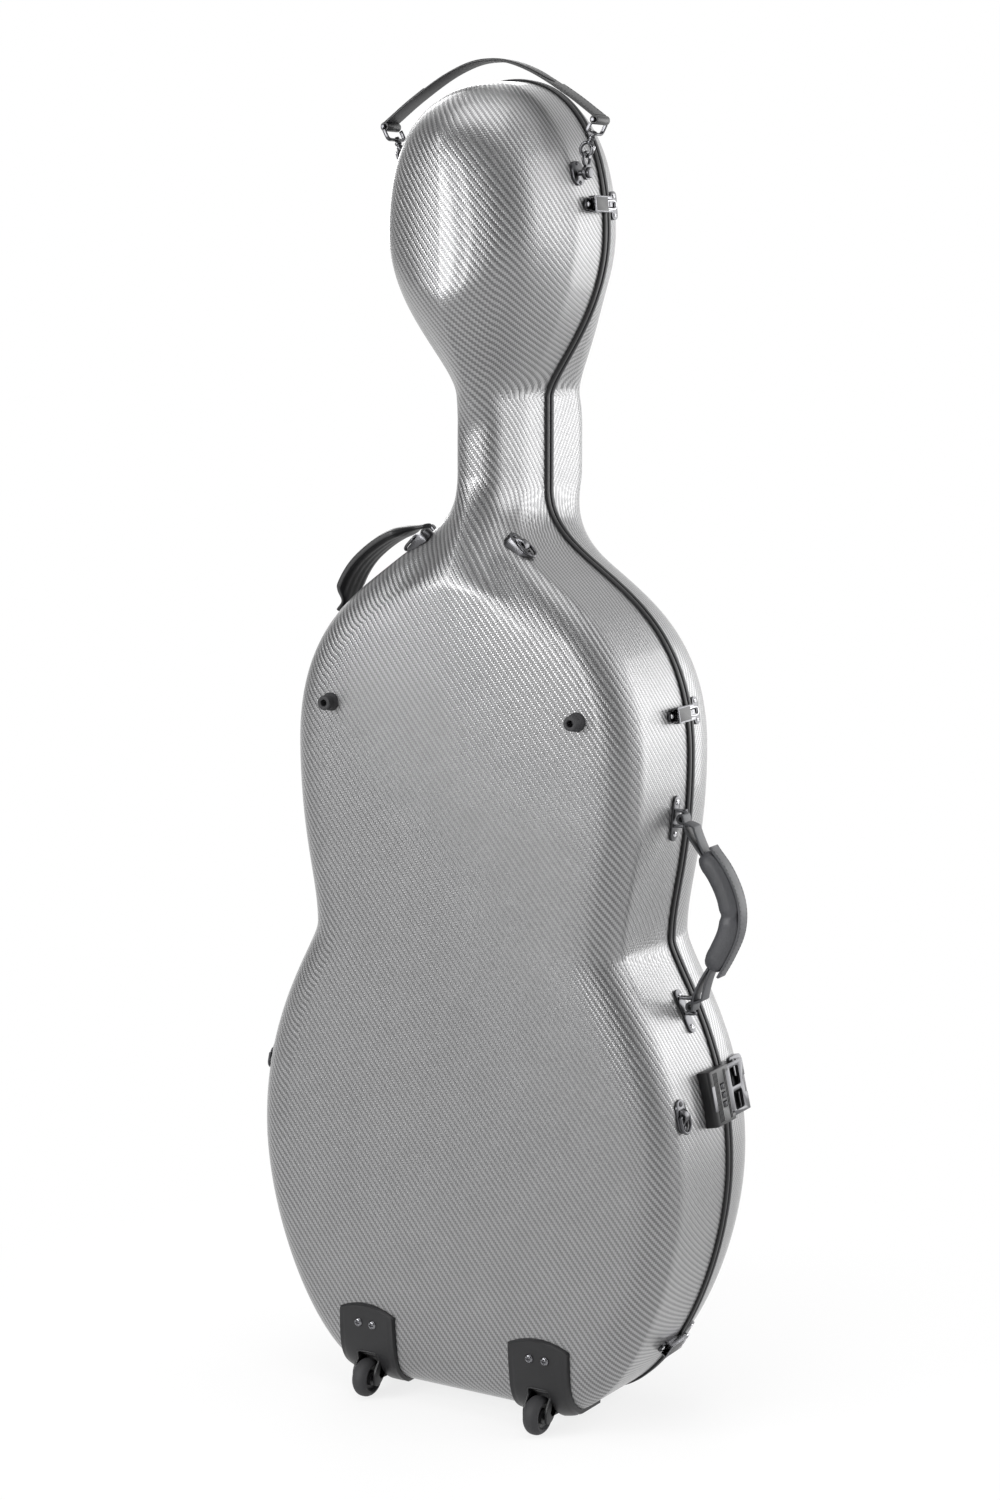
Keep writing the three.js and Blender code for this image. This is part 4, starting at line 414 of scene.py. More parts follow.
def brow_angle(half, draft, wide, depth):
    """The slope at which the corner meets the face, so that the two run on without a kink.

    The face climbs at twice its crown over the way to the spine. What the edge itself climbs along
    the outline is taken off, and the rest is divided by the cosine between that way and the way
    in."""
    edge = POINTS + INWARD * (draft + wide)[:, None]
    spine = np.stack([np.zeros(COUNT), spine_line(edge[:, 1])], -1)
    ray = spine - edge
    reach = np.linalg.norm(ray, axis=1)
    ray /= reach[:, None]
    ahead = np.roll(edge, -1, 0) - np.roll(edge, 1, 0)
    step = np.linalg.norm(ahead, axis=1)
    climb = (np.roll(depth, -1) - np.roll(depth, 1)) / step
    facing = np.maximum(np.sum(ray * INWARD, 1), 0.35)
    beside = np.sum(ray * ahead, 1) / step
    crown = along_case(POINTS[:, 1], half["crown"])
    slope = (2 * crown / reach - climb * beside) / facing
    return np.arctan(smoothed(np.clip(slope, -0.2, 0.75), 4))


def corner_section(half, share, skin):
    """Inset and depth of the corner at shares of its cubic, moved off the outer face by skin."""
    z = POINTS[:, 1]
    wall = along_case(z, half["wall"])
    deep = along_case(z, half["depth"])
    wide = along_case(z, half["inset"]) * EASE
    draft = np.full(COUNT, float(half["draft"]))
    brow = brow_angle(half, draft, wide, wall + deep)
    low_pull, high_pull = 0.55, 0.58
    control = np.array([
        np.stack([draft, wall], -1),
        np.stack([
            draft + wide * low_pull * math.sin(half["crease"]),
            wall + deep * low_pull * math.cos(half["crease"]),
        ], -1),
        np.stack([
            draft + wide * (1 - high_pull * np.cos(brow)),
            wall + deep - wide * high_pull * np.sin(brow),
        ], -1),
        np.stack([draft + wide, wall + deep], -1),
    ])
    t = np.asarray(share, float)[:, None]
    point = bezier(control, t)
    slope = bezier_slope(control, t)
    return point[..., 0] + slope[..., 1] * skin, point[..., 1] - slope[..., 0] * skin


def corner_rows(half, skin, count):
    inset, depth = corner_section(half, np.linspace(0, 1, count), skin)
    return place_ring(half, inset, depth)


def spine_line(edge):
    """Heights of the spine that the face closes over, after the height of the face's own edge."""
    low, high = BASE_Z + 130, TOP_Z - 75
    top = COUNT // 2
    place = np.minimum(np.arange(COUNT), COUNT - np.arange(COUNT)) / top
    share = (edge - edge[0]) / (edge[top] - edge[0]) * 0.96 + place * 0.04
    return low + (high - low) * share


def face_rows(half, skin, count):
    """Rows over the face, from its edge to the spine, rising by a parabola to the crown."""
    inset, depth = corner_section(half, [1.0], skin)
    crown = along_case(POINTS[:, 1], half["crown"])
    share = np.linspace(0, 1, count)[:, None]
    flat = POINTS + INWARD * inset[0][:, None]
    x = flat[:, 0] * (1 - share)
    whole = half["draft"] + along_case(POINTS[:, 1], half["inset"]) * EASE
    spine = spine_line(POINTS[:, 1] + INWARD[:, 1] * whole)
    z = flat[:, 1] + (spine - flat[:, 1]) * share
    y = half["side"] * (depth[0] + crown * (1 - (1 - share) ** 2))
    return np.stack([x, y + 0 * x, z], -1)


def skin_rows(half, skin, rim, wall=WALL_ROWS, corner=CORNER_ROWS, face=FACE_ROWS):
    """One skin of a half as rows of stations, from its rim over the wall and corner to the spine.

    The corner and face are averaged with their neighbouring rows, more so on the head, so that
    their bend changes slowly."""
    cap = np.concatenate([corner_rows(half, skin, corner)[:-1], face_rows(half, skin, face)])
    share = along_case(POINTS[:, 1], (0.1, 0.1, 0.5))[:, None]
    for _ in range(round(50 * (corner / CORNER_ROWS) ** 2)):
        cap[1:-1] += share * ((cap[:-2] + cap[2:]) / 2 - cap[1:-1])
    return np.concatenate([wall_rows(half, skin, rim, wall)[:-1], cap])


def unrolled(rows):
    """Cloth coordinates: a face's own x and z, and past its edge the way out along the surface."""
    edge = len(rows) - FACE_ROWS
    steps = np.linalg.norm(np.diff(rows[: edge + 1], axis=0), axis=-1)
    away = np.concatenate([np.cumsum(steps[::-1], 0)[::-1], np.zeros((1, rows.shape[1]))])
    flat = rows[edge][:, [0, 2]] - INWARD * away[..., None]
    return np.concatenate([flat[:-1], rows[edge:][..., [0, 2]]])


# Surfaces: each part is its points and its faces


def quads(rows, columns, loop_rows=False, loop_columns=True):
    """Index quads over a grid that may close on itself either way."""
    i = np.arange(rows if loop_rows else rows - 1)[:, None]
    j = np.arange(columns if loop_columns else columns - 1)[None, :]
    down, right = (i + 1) % rows, (j + 1) % columns
    corners = [i * columns + j, i * columns + right, down * columns + right, down * columns + j]
    return np.stack(corners, -1).reshape(-1, 4)


def volume(points, faces):
    """Six times the volume inside the faces: positive if they point outwards."""
    total = 0.0
    by_size = {}
    for face in faces:
        by_size.setdefault(len(face), []).append(face)
    for size, group in by_size.items():
        corner = points[np.array(group)]
        for step in range(1, size - 1):
            total += np.einsum(
                "ij,ij->", corner[:, 0], np.cross(corner[:, step], corner[:, step + 1])
            )
    return total


def outward(points, faces):
    """The part with its faces turned to point outwards."""
    points = points - 0.0
    faces = [list(face) for face in faces]
    if volume(points - points.mean(0), faces) < 0:
        faces = [face[::-1] for face in faces]
    return points, faces


def tube(rings, endless=False):
    """Rings joined in turn, with a flat cap on each end unless the rings close on themselves."""
    rings = np.asarray(rings, float)
    rows, columns = rings.shape[:2]
    faces = quads(rows, columns, endless).tolist()
    if not endless:
        faces.append(list(range(columns))[::-1])
        faces.append(list(range((rows - 1) * columns, rows * columns)))
    return outward(rings.reshape(-1, 3), faces)


def moved(part, place):
    """The part carried by a 4 x 4 place, turned right side out again where the place mirrors it."""
    points, faces = part
    points = points @ place[:3, :3].T + place[:3, 3]
    if np.linalg.det(place[:3, :3]) < 0:
        faces = [face[::-1] for face in faces]
    return points, faces


def place_of(x_axis, y_axis, z_axis, at):
    place = np.eye(4)
    place[:3, 0], place[:3, 1], place[:3, 2], place[:3, 3] = x_axis, y_axis, z_axis, at
    return place


def shifted(x, y=0.0, z=0.0):
    return place_of((1, 0, 0), (0, 1, 0), (0, 0, 1), (x, y, z))


def mirrored(side):
    """The place that leaves a part on the right side, or mirrors it to the left at side -1."""
    return np.diag([float(side), 1.0, 1.0, 1.0])


def placed(parts, place):
    """Parts with their finishes, carried by a place."""
    return [(moved(part, place), finish) for part, finish in parts]


MIRROR = mirrored(-1)
ALONG = {
    "x": place_of((0, 0, -1), (0, 1, 0), (1, 0, 0), (0, 0, 0)),
    "y": place_of((1, 0, 0), (0, 0, -1), (0, 1, 0), (0, 0, 0)),
    "z": np.eye(4),
}


def closed(path):
    """The path with its first point again at its end."""
    return np.concatenate([path, path[:1]])


def lathe(profile, axis="z", at=(0, 0, 0), sides=40, low=0.0, high=2 * math.pi):
    """A profile of radius and height turned about an axis, closed where it is a full turn."""
    profile = np.asarray(profile, float)
    full = high - low > 2 * math.pi - 1e-6
    turn = np.linspace(low, high, sides, endpoint=not full)
    rings = np.stack([
        profile[:, 0] * np.cos(turn)[:, None],
        profile[:, 0] * np.sin(turn)[:, None],
        profile[:, 1] + 0 * turn[:, None],
    ], -1)
    return moved(moved(tube(rings, full), ALONG[axis]), shifted(*at))


def rounded_path(points, radius, steps):
    """A closed polygon with each corner replaced by an arc-like blend of its two edges."""
    points = np.asarray(points, float)
    radius = np.broadcast_to(radius, len(points))
    before, after = np.roll(points, 1, 0), np.roll(points, -1, 0)
    to_before = before - points
    to_after = after - points
    reach_before = np.linalg.norm(to_before, axis=1)
    reach_after = np.linalg.norm(to_after, axis=1)
    cut = np.minimum(radius, 0.49 * np.minimum(reach_before, reach_after))[:, None]
    start = points + to_before / reach_before[:, None] * cut
    end = points + to_after / reach_after[:, None] * cut
    t = np.linspace(0, 1, steps + 1)[None, :, None]
    blend = (1 - t) ** 2 * start[:, None] + 2 * (1 - t) * t * points[:, None] + t**2 * end[:, None]
    return blend.reshape(-1, 2)


def rod(radius, low, high, axis, at, sides=32, edge=0.4):
    """A round bar with eased ends."""
    edge = min(edge, radius / 2, (high - low) / 4)
    outline = [(0, low), (radius - edge, low), (radius, low + edge)]
    outline += [(radius, high - edge), (radius - edge, high), (0, high)]
    return lathe(outline, axis, at, sides)


def disc_pipe(inner, outer, low, high, axis, at, sides, edge):
    """A ring of rectangular section with eased edges."""
    corners = [(inner, low), (outer, low), (outer, high), (inner, high)]
    return lathe(closed(rounded_path(corners, edge, 2)), axis, at, sides)


def slab(outline, low, high, edge, steps=3):
    """An outline of two coordinates raised from low to high, its two rims rounded by edge."""
    outline = np.asarray(outline, float)
    turn = np.linspace(0, np.pi / 2, steps + 1)
    drawn, climb = edge * (1 - np.sin(turn)), edge * (1 - np.cos(turn))
    drawn = np.concatenate([drawn, drawn[::-1]])
    height = np.concatenate([low + climb, high - climb[::-1]])
    before, after = np.roll(outline, 1, 0), np.roll(outline, -1, 0)
    first, second = outline - before, after - outline
    first /= np.linalg.norm(first, axis=1, keepdims=True) + 1e-12
    second /= np.linalg.norm(second, axis=1, keepdims=True) + 1e-12
    area = np.sum(outline[:, 0] * after[:, 1] - after[:, 0] * outline[:, 1])
    lean = first + second
    lean /= np.linalg.norm(lean, axis=1, keepdims=True) + 1e-12
    inward = np.stack([-lean[:, 1], lean[:, 0]], -1) * np.sign(area)
    flat = outline + inward * drawn[:, None, None]
    rings = np.concatenate([flat, height[:, None, None] + 0 * flat[..., :1]], -1)
    return tube(rings)


def rectangle(width, height, radius, at=(0, 0), steps=6):
    """A rectangle with round corners."""
    corners = np.array([(1, 1), (-1, 1), (-1, -1), (1, -1)]) * np.array([width, height]) / 2
    turn = np.linspace(0, np.pi / 2, steps + 1)
    arcs = []
    for number, corner in enumerate(corners):
        centre = corner - np.sign(corner) * radius
        angle = turn + number * np.pi / 2
        arcs.append(centre + radius * np.stack([np.cos(angle), np.sin(angle)], -1))
    return np.concatenate(arcs) + np.array(at)


def plate(outline, low, high, edge):
    """A slab on the wall, its outline in y and z and its thickness along x."""
    turned = place_of((0, 1, 0), (0, 0, 1), (1, 0, 0), (0, 0, 0))
    return moved(slab(outline, low, high, edge), turned)


def through(points, count):
    """A smooth path through points: cubic Hermite stretches on chord length, with shared slopes."""
    points = np.asarray(points, float)
    chord = np.sqrt(np.linalg.norm(np.diff(points, axis=0), axis=1))
    knot = np.concatenate([[0], np.cumsum(chord)])
    slope = np.gradient(points, knot, axis=0)
    at = np.linspace(0, knot[-1], count)
    piece_of = np.clip(np.searchsorted(knot, at, "right") - 1, 0, len(points) - 2)
    span = (knot[piece_of + 1] - knot[piece_of])[:, None]
    t = (at - knot[piece_of])[:, None] / span
    return (
        (2 * t**3 - 3 * t**2 + 1) * points[piece_of]
        + (t**3 - 2 * t**2 + t) * span * slope[piece_of]
        + (3 * t**2 - 2 * t**3) * points[piece_of + 1]
        + (t**3 - t**2) * span * slope[piece_of + 1]
    )


def even_path(path, count):
    """The same path with its points evenly spaced."""
    step = np.linalg.norm(np.diff(path, axis=0), axis=1)
    run = np.concatenate([[0], np.cumsum(step)])
    at = np.linspace(0, run[-1], count)
    return np.stack([np.interp(at, run, path[:, axis]) for axis in range(path.shape[1])], -1)


def frames(path, side):
    """The unit way along a path, and the way out that is square to it and to side."""
    along = np.gradient(path, axis=0)
    along /= np.linalg.norm(along, axis=1, keepdims=True)
    side = np.broadcast_to(np.asarray(side, float), path.shape)
    out = np.cross(side, along)
    out /= np.linalg.norm(out, axis=1, keepdims=True)
    return along, out, side


def sweep(path, side, section):
    """A section of out and side coordinates carried along a path.

    It is one for the whole path or one for each point."""
    _, out, side = frames(path, side)
    section = np.broadcast_to(section, (len(path), *np.shape(section)[-2:]))
    return tube(path[:, None] + out[:, None] * section[..., :1] + side[:, None] * section[..., 1:])


def circle(radius, sides):
    turn = np.linspace(0, 2 * np.pi, sides, endpoint=False)
    return radius * np.stack([np.cos(turn), np.sin(turn)], -1)


def strap_section(thick, wide, radius, bulge=0.0):
    """A flat strap's section, half sizes thick and wide, with round edges and a slight crown."""
    outline = rectangle(2 * thick, 2 * wide, radius, steps=3)
    outline[:, 0] += np.sign(outline[:, 0]) * bulge * (1 - (outline[:, 1] / wide) ** 2)
    return outline


def stitches(path, normal, pitch):
    """A row of short thread humps: each is an ellipsoid laid along the path, partly sunk in it."""
    length, radius, sink = 0.62, 0.42, 0.15
    count = max(2, int(np.linalg.norm(np.diff(path, axis=0), axis=1).sum() / pitch))
    spots = even_path(path, 2 * count + 1)
    middle, ahead = spots[1::2], spots[2::2] - spots[:-1:2]
    normal = np.broadcast_to(np.asarray(normal, float), path.shape)
    share = np.linspace(0, 1, 2 * count + 1)[1::2]
    base = np.linspace(0, 1, len(path))
    up = np.stack([np.interp(share, base, normal[:, axis]) for axis in range(3)], -1)
    ahead /= np.linalg.norm(ahead, axis=1, keepdims=True)
    across = np.cross(up, ahead)
    turn = np.linspace(0, 2 * np.pi, 6, endpoint=False)
    lift, turn = np.meshgrid(np.linspace(-1, 1, 5), turn, indexing="ij")
    wide = radius * np.sqrt(np.clip(1 - lift**2, 0, 1))
    shape = [lift * pitch * length / 2, wide * np.cos(turn), wide * np.sin(turn)]
    parts = []
    for spot, way, cross, rise in zip(middle, ahead, across, up):
        rings = spot - rise * sink + sum(
            value[..., None] * axis for value, axis in zip(shape, (way, cross, rise))
        )
        parts.append((tube(rings), "thread"))
    return parts


def screw_head(radius):
    """A domed head with a cross recess, standing on the plane x = 0."""
    radius = radius * bpy.context.scene.case_fittings.screw
    share = np.array([0, 0.14, 0.26, 0.36, 0.44, 0.52, 0.62, 0.75, 0.88, 0.97, 1.0])
    turn = np.linspace(0, 2 * np.pi, 32, endpoint=False)
    r, a = np.meshgrid(share * radius, turn, indexing="ij")
    y, z = r * np.cos(a), r * np.sin(a)
    dome = 0.62 * radius * np.sqrt(np.clip(1 - (r / radius) ** 2, 0, 1)) ** 0.8
    arm = np.minimum(np.abs(y), np.abs(z))
    recess = np.clip(1 - arm / (0.15 * radius), 0, 1) * np.clip((0.56 - r / radius) * 9, 0, 1)
    height = dome - 0.3 * radius * np.clip(recess * 2, 0, 1)
    top = np.stack([height, y, z], -1)
    foot = np.stack([-0.25 * radius + 0 * y[-1:], y[-1:], z[-1:]], -1)
    return tube(np.concatenate([top, foot]))


# Places on the case


def outline_at(z):
    """The outline's point and way in at a height, on the latch side."""
    right = slice(FINE_STEPS[0], COUNT // 2 + 1)
    height = POINTS[right, 1]
    point = np.array([np.interp(z, height, POINTS[right, 0]), z])
    inward = np.array([np.interp(z, height, INWARD[right, axis]) for axis in range(2)])
    return point, inward / np.linalg.norm(inward)


def standing_on(point, inward, y):
    """Wall axes at a point of the outline: x out of the wall, y to the lid, z up along the case."""
    half = BACK if y < 0 else LID
    inset = half["draft"] * abs(y) / along_case(point[1], half["wall"])
    out = np.array([-inward[0], 0, -inward[1]])
    to_lid = np.array([0.0, 1.0, 0.0])
    at = (point[0] + inward[0] * inset, y, point[1] + inward[1] * inset)
    return place_of(out, to_lid, np.cross(out, to_lid), at)


def wall_place(z, y=0.0):
    return standing_on(*outline_at(z), y)


def near_place(spot, y):
    """The wall place on the latch side that is nearest to a point beside it."""
    right = slice(0, COUNT // 2 + 1)
    nearest = np.argmin(np.linalg.norm(POINTS[right] - np.array(spot), axis=1))
    return standing_on(POINTS[nearest], INWARD[nearest], y)


def handle_place(low, high, y):
    up = np.array([high[0] - low[0], 0, high[1] - low[1]])
    up /= np.linalg.norm(up)
    to_lid = np.array([0.0, 1.0, 0.0])
    return place_of(np.cross(to_lid, up), to_lid, up, (low[0], y, low[1]))


def handle_span(low, high):
    return math.hypot(high[0] - low[0], high[1] - low[1])


# Materials


class Net:
    """Builds a node tree from short calls. Inputs are sockets or plain values."""

    def __init__(self, tree):
        self.tree = tree

    def node(self, kind, **settings):
        made = self.tree.nodes.new(kind)
        for key, value in settings.items():
            setattr(made, key, value)
        return made

    def first(self, kind):
        """The first node of a type, for those that a new tree already has."""
        return next(node for node in self.tree.nodes if node.type == kind)

    def feed(self, socket, value):
        if isinstance(value, bpy.types.NodeSocket):
            self.tree.links.new(value, socket)
        else:
            socket.default_value = value

    def math(self, operation, *values, clamp=False):
        made = self.node("ShaderNodeMath", operation=operation, use_clamp=clamp)
        for socket, value in zip(made.inputs, values):
            self.feed(socket, value)
        return made.outputs[0]

    def mix(self, share, first, second):
        made = self.node("ShaderNodeMix", data_type="RGBA")
        self.feed(made.inputs[0], share)
        self.feed(made.inputs[6], first)
        self.feed(made.inputs[7], second)
        return made.outputs[2]

    def blend_value(self, share, first, second):
        made = self.node("ShaderNodeMix", data_type="FLOAT")
        self.feed(made.inputs[0], share)
        self.feed(made.inputs[2], first)
        self.feed(made.inputs[3], second)
        return made.outputs[0]

    def noise(self, vector, scale, detail, roughness=0.55):
        made = self.node("ShaderNodeTexNoise")
        self.feed(made.inputs["Vector"], vector)
        self.feed(made.inputs["Scale"], scale)
        made.inputs["Detail"].default_value = detail
        made.inputs["Roughness"].default_value = roughness
        return made.outputs["Fac"]

    def cells(self, vector, scale):
        made = self.node("ShaderNodeTexVoronoi")
        self.feed(made.inputs["Vector"], vector)
        self.feed(made.inputs["Scale"], scale)
        return made.outputs["Distance"]

    def bump(self, height, distance, strength):
        made = self.node("ShaderNodeBump")
        made.inputs["Strength"].default_value = strength
        made.inputs["Distance"].default_value = distance
        self.feed(made.inputs["Height"], height)
        return made.outputs["Normal"]

    def group(self, name, **values):
        made = self.node("ShaderNodeGroup")
        made.node_tree = GROUPS[name]
        for key, value in values.items():
            self.feed(made.inputs[key.replace("_", " ").capitalize()], value)
        return made.outputs


GROUPS = {}


def new_group(name, inputs, outputs):
    """An empty node group with named sockets, and the nodes that stand for its two ends."""
    tree = bpy.data.node_groups.new(name, "ShaderNodeTree")
    for label, kind in inputs:
        tree.interface.new_socket(label, in_out="INPUT", socket_type=kind)
    for label, kind in outputs:
        tree.interface.new_socket(label, in_out="OUTPUT", socket_type=kind)
    net = Net(tree)
    GROUPS[name] = tree
    return net, net.node("NodeGroupInput").outputs, net.node("NodeGroupOutput").inputs


def make_twill_group():
    """A two by two twill: which tow lies on top, and the height of its float.

    With a and b the cloth coordinates in tow widths, the warp is on top where floor a plus floor b,
    taken modulo four, is under two. A float rises as half a sine along its two widths, and is
    round across."""
    net, given, made = new_group(
        "twill",
        [("Vector", "NodeSocketVector"), ("Tow", "NodeSocketFloat")],
        [("Warp", "NodeSocketFloat"), ("Height", "NodeSocketFloat")],
    )
    split = net.node("ShaderNodeSeparateXYZ")
    net.feed(split.inputs[0], given["Vector"])
    a = net.math("DIVIDE", split.outputs[0], given["Tow"])
    b = net.math("DIVIDE", split.outputs[1], given["Tow"])
    floor_a, floor_b = net.math("FLOOR", a), net.math("FLOOR", b)
    total = net.math("FLOORED_MODULO", net.math("ADD", floor_a, floor_b), 4.0)
    warp = net.math("LESS_THAN", total, 1.5)

    def float_height(phase, cross):
        along = net.math("SINE", net.math("MULTIPLY", phase, math.pi / 2))
        middle = net.math("SUBTRACT", net.math("MULTIPLY", net.math("FRACT", cross), 2.0), 1.0)
        crown = net.math("SUBTRACT", 1.0, net.math("MULTIPLY", middle, middle))
        return net.math("MULTIPLY", net.math("ABSOLUTE", along), net.math("POWER", crown, 0.5))

    warp_height = float_height(net.math("ADD", b, floor_a), a)
    weft_height = float_height(net.math("ADD", a, floor_b), b)
    net.feed(made["Warp"], warp)
    net.feed(made["Height"], net.blend_value(warp, weft_height, warp_height))


def make_grain_group():
    """Cell-like grain, as on leather and moulded plastic, with a slow drift of tone."""
    net, given, made = new_group(
        "grain",
        [("Vector", "NodeSocketVector"), ("Scale", "NodeSocketFloat")],
        [("Height", "NodeSocketFloat"), ("Tone", "NodeSocketFloat")],
    )
    cell = net.cells(given["Vector"], given["Scale"])
    fine = net.noise(given["Vector"], net.math("MULTIPLY", given["Scale"], 2.2), 2.0)
    height = net.math("ADD", net.math("MULTIPLY", cell, 0.8), net.math("MULTIPLY", fine, 0.4))
    net.feed(made["Height"], height)
    slow = net.math("MULTIPLY", given["Scale"], 0.03)
    net.feed(made["Tone"], net.noise(given["Vector"], slow, 4.0))


def make_wear_group():
    """Thin scratches and handling marks: stretched noise, kept only at its peaks."""
    net, given, made = new_group(
        "wear",
        [("Vector", "NodeSocketVector"), ("Scale", "NodeSocketFloat")],
        [("Scratch", "NodeSocketFloat"), ("Haze", "NodeSocketFloat")],
    )
    stretch = net.node("ShaderNodeMapping")
    net.feed(stretch.inputs["Vector"], given["Vector"])
    stretch.inputs["Scale"].default_value = (1.0, 7.0, 0.6)
    stretch.inputs["Rotation"].default_value = (0.5, 0.3, 0.9)
    lines = net.noise(stretch.outputs[0], given["Scale"], 5.0, 0.7)
    scratch = net.math("MULTIPLY", net.math("SUBTRACT", lines, 0.62), 9.0, clamp=True)
    net.feed(made["Scratch"], scratch)
    slow = net.math("MULTIPLY", given["Scale"], 0.12)
    net.feed(made["Haze"], net.noise(given["Vector"], slow, 3.0))


def new_finish(name, roughness, metallic=0.0, coat=0.0, sheen=0.0, coat_roughness=0.1):
    """An empty material with its own Principled shader, and the object coordinates that feed it."""
    made = bpy.data.materials.new(name)
    made.use_nodes = True
    net = Net(made.node_tree)
    shader = net.first("BSDF_PRINCIPLED")
    for label, value in (
        ("Roughness", roughness), ("Metallic", metallic), ("Coat Weight", coat),
        ("Coat Roughness", coat_roughness), ("Sheen Weight", sheen),
    ):
        shader.inputs[label].default_value = value
    place = net.node("ShaderNodeTexCoord").outputs["Object"]
    return made, net, shader, place


def rgba(channels, factor=1.0):
    return (*[min(1.0, channel * factor) for channel in channels], 1.0)


def shades(net, share, channels, dark, light):
    """A mix by share between a darker and a lighter shade of a colour."""
    return net.mix(share, rgba(channels, dark), rgba(channels, light))


def twill_finish(cloth):
    """Woven silver-grey cloth under a clear coat: the two tows differ in lean, and in a tone that is
    painted reflection, the warp painted lighter and the weft painted darker as if each caught the
    light differently.
    """
    made, net, shader, place = new_finish("twill_cloth", 0.3, 0.72, 0.35, coat_roughness=0.12)
    cloth_map = net.node("ShaderNodeUVMap", uv_map="cloth")
    turned = net.node("ShaderNodeMapping")
    net.feed(turned.inputs["Vector"], cloth_map.outputs[0])
    turned.inputs["Rotation"].default_value = (0, 0, cloth.weave_turn)
    weave = net.group("twill", vector=turned.outputs[0], tow=cloth.tow)
    drift = net.noise(place, 26.0, 4.0)
    tone = net.math("ADD", 0.92, net.math("MULTIPLY", drift, 0.16))
    # Painted reflection: the warp tows take the painted lit colour and the weft tows the painted
    # shaded one, over the cloth's own grey.
    tows = net.mix(weave["Warp"], rgba(cloth.painted_shaded_tow), rgba(cloth.painted_lit_tow))
    shade = net.node("ShaderNodeMix", data_type="RGBA", blend_type="MULTIPLY")
    shade.inputs[0].default_value = 1.0
    net.feed(shade.inputs[6], tows)
    grey = net.node("ShaderNodeCombineColor")
    for socket in grey.inputs:
        net.feed(socket, tone)
    net.feed(shade.inputs[7], grey.outputs[0])
    net.feed(shader.inputs["Base Color"], shade.outputs[2])
    haze = net.group("wear", vector=place, scale=60.0)
    rough = net.math("ADD", 0.26, net.math("MULTIPLY", haze["Haze"], 0.12))
    net.feed(shader.inputs["Roughness"], rough)
    net.feed(shader.inputs["Normal"], net.bump(weave["Height"], 0.00035, 0.6))
    shader.inputs["Anisotropic"].default_value = 0.7
    net.feed(shader.inputs["Anisotropic Rotation"], net.blend_value(weave["Warp"], 0.25, 0.0))
    lie = net.node("ShaderNodeTangent", direction_type="UV_MAP", uv_map="cloth")
    net.feed(shader.inputs["Tangent"], lie.outputs[0])
    return made


def pile_finish(name, channels, scale):
    """Short pile: fine noise in tone and height, and a soft sheen at grazing angles."""
    made, net, shader, place = new_finish(name, 0.95, sheen=0.35)
    fine = net.noise(place, scale, 4.0, 0.7)
    brushed = net.noise(place, scale / 30, 3.0)
    share = net.math("ADD", net.math("MULTIPLY", fine, 0.6), net.math("MULTIPLY", brushed, 0.5))
    net.feed(shader.inputs["Base Color"], shades(net, share, channels, 0.55, 1.9))
    net.feed(shader.inputs["Normal"], net.bump(fine, 0.0006, 0.7))
    return made


def grained_finish(name, channels, roughness, scale, depth, coat=0.0, specular=0.5):
    """Leather, moulded plastic or rubber: grain in height, drift in tone, and marks of handling."""
    made, net, shader, place = new_finish(name, roughness, coat=coat, coat_roughness=0.3)
    shader.inputs["Specular IOR Level"].default_value = specular
    grain = net.group("grain", vector=place, scale=scale)
    wear = net.group("wear", vector=place, scale=90.0)
    base = shades(net, grain["Tone"], channels, 0.72, 1.35)
    scratch = net.math("MULTIPLY", wear["Scratch"], 0.25)
    net.feed(shader.inputs["Base Color"], net.mix(scratch, base, rgba(channels, 2.4)))
    rough = net.math("ADD", roughness - 0.08, net.math("MULTIPLY", wear["Haze"], 0.18))
    net.feed(shader.inputs["Roughness"], rough)
    net.feed(shader.inputs["Normal"], net.bump(grain["Height"], depth, 0.6))
    return made


def metal_finish(name, channels, roughness):
    """Plated metal with handling haze and hairline scratches."""
    made, net, shader, place = new_finish(name, roughness, 1.0)
    wear = net.group("wear", vector=place, scale=140.0)
    net.feed(shader.inputs["Base Color"], shades(net, wear["Haze"], channels, 0.8, 1.2))
    rough = net.math("ADD", roughness, net.math("MULTIPLY", wear["Scratch"], 0.22))
    rough = net.math("ADD", rough, net.math("MULTIPLY", wear["Haze"], 0.08))
    net.feed(shader.inputs["Roughness"], rough)
    net.feed(shader.inputs["Normal"], net.bump(wear["Scratch"], 0.00004, 0.4))
    return made


def trim_finish(name, channels):
    """Extruded trim: smooth, faintly drawn along its length, with a soft shine."""
    made, net, shader, place = new_finish(name, 0.4)
    shader.inputs["Specular IOR Level"].default_value = 0.3
    wear = net.group("wear", vector=place, scale=45.0)
    net.feed(shader.inputs["Base Color"], shades(net, wear["Haze"], channels, 0.75, 1.3))
    rough = net.math("ADD", 0.34, net.math("MULTIPLY", wear["Haze"], 0.16))
    net.feed(shader.inputs["Roughness"], rough)
    net.feed(shader.inputs["Normal"], net.bump(wear["Scratch"], 0.00005, 0.3))
    return made


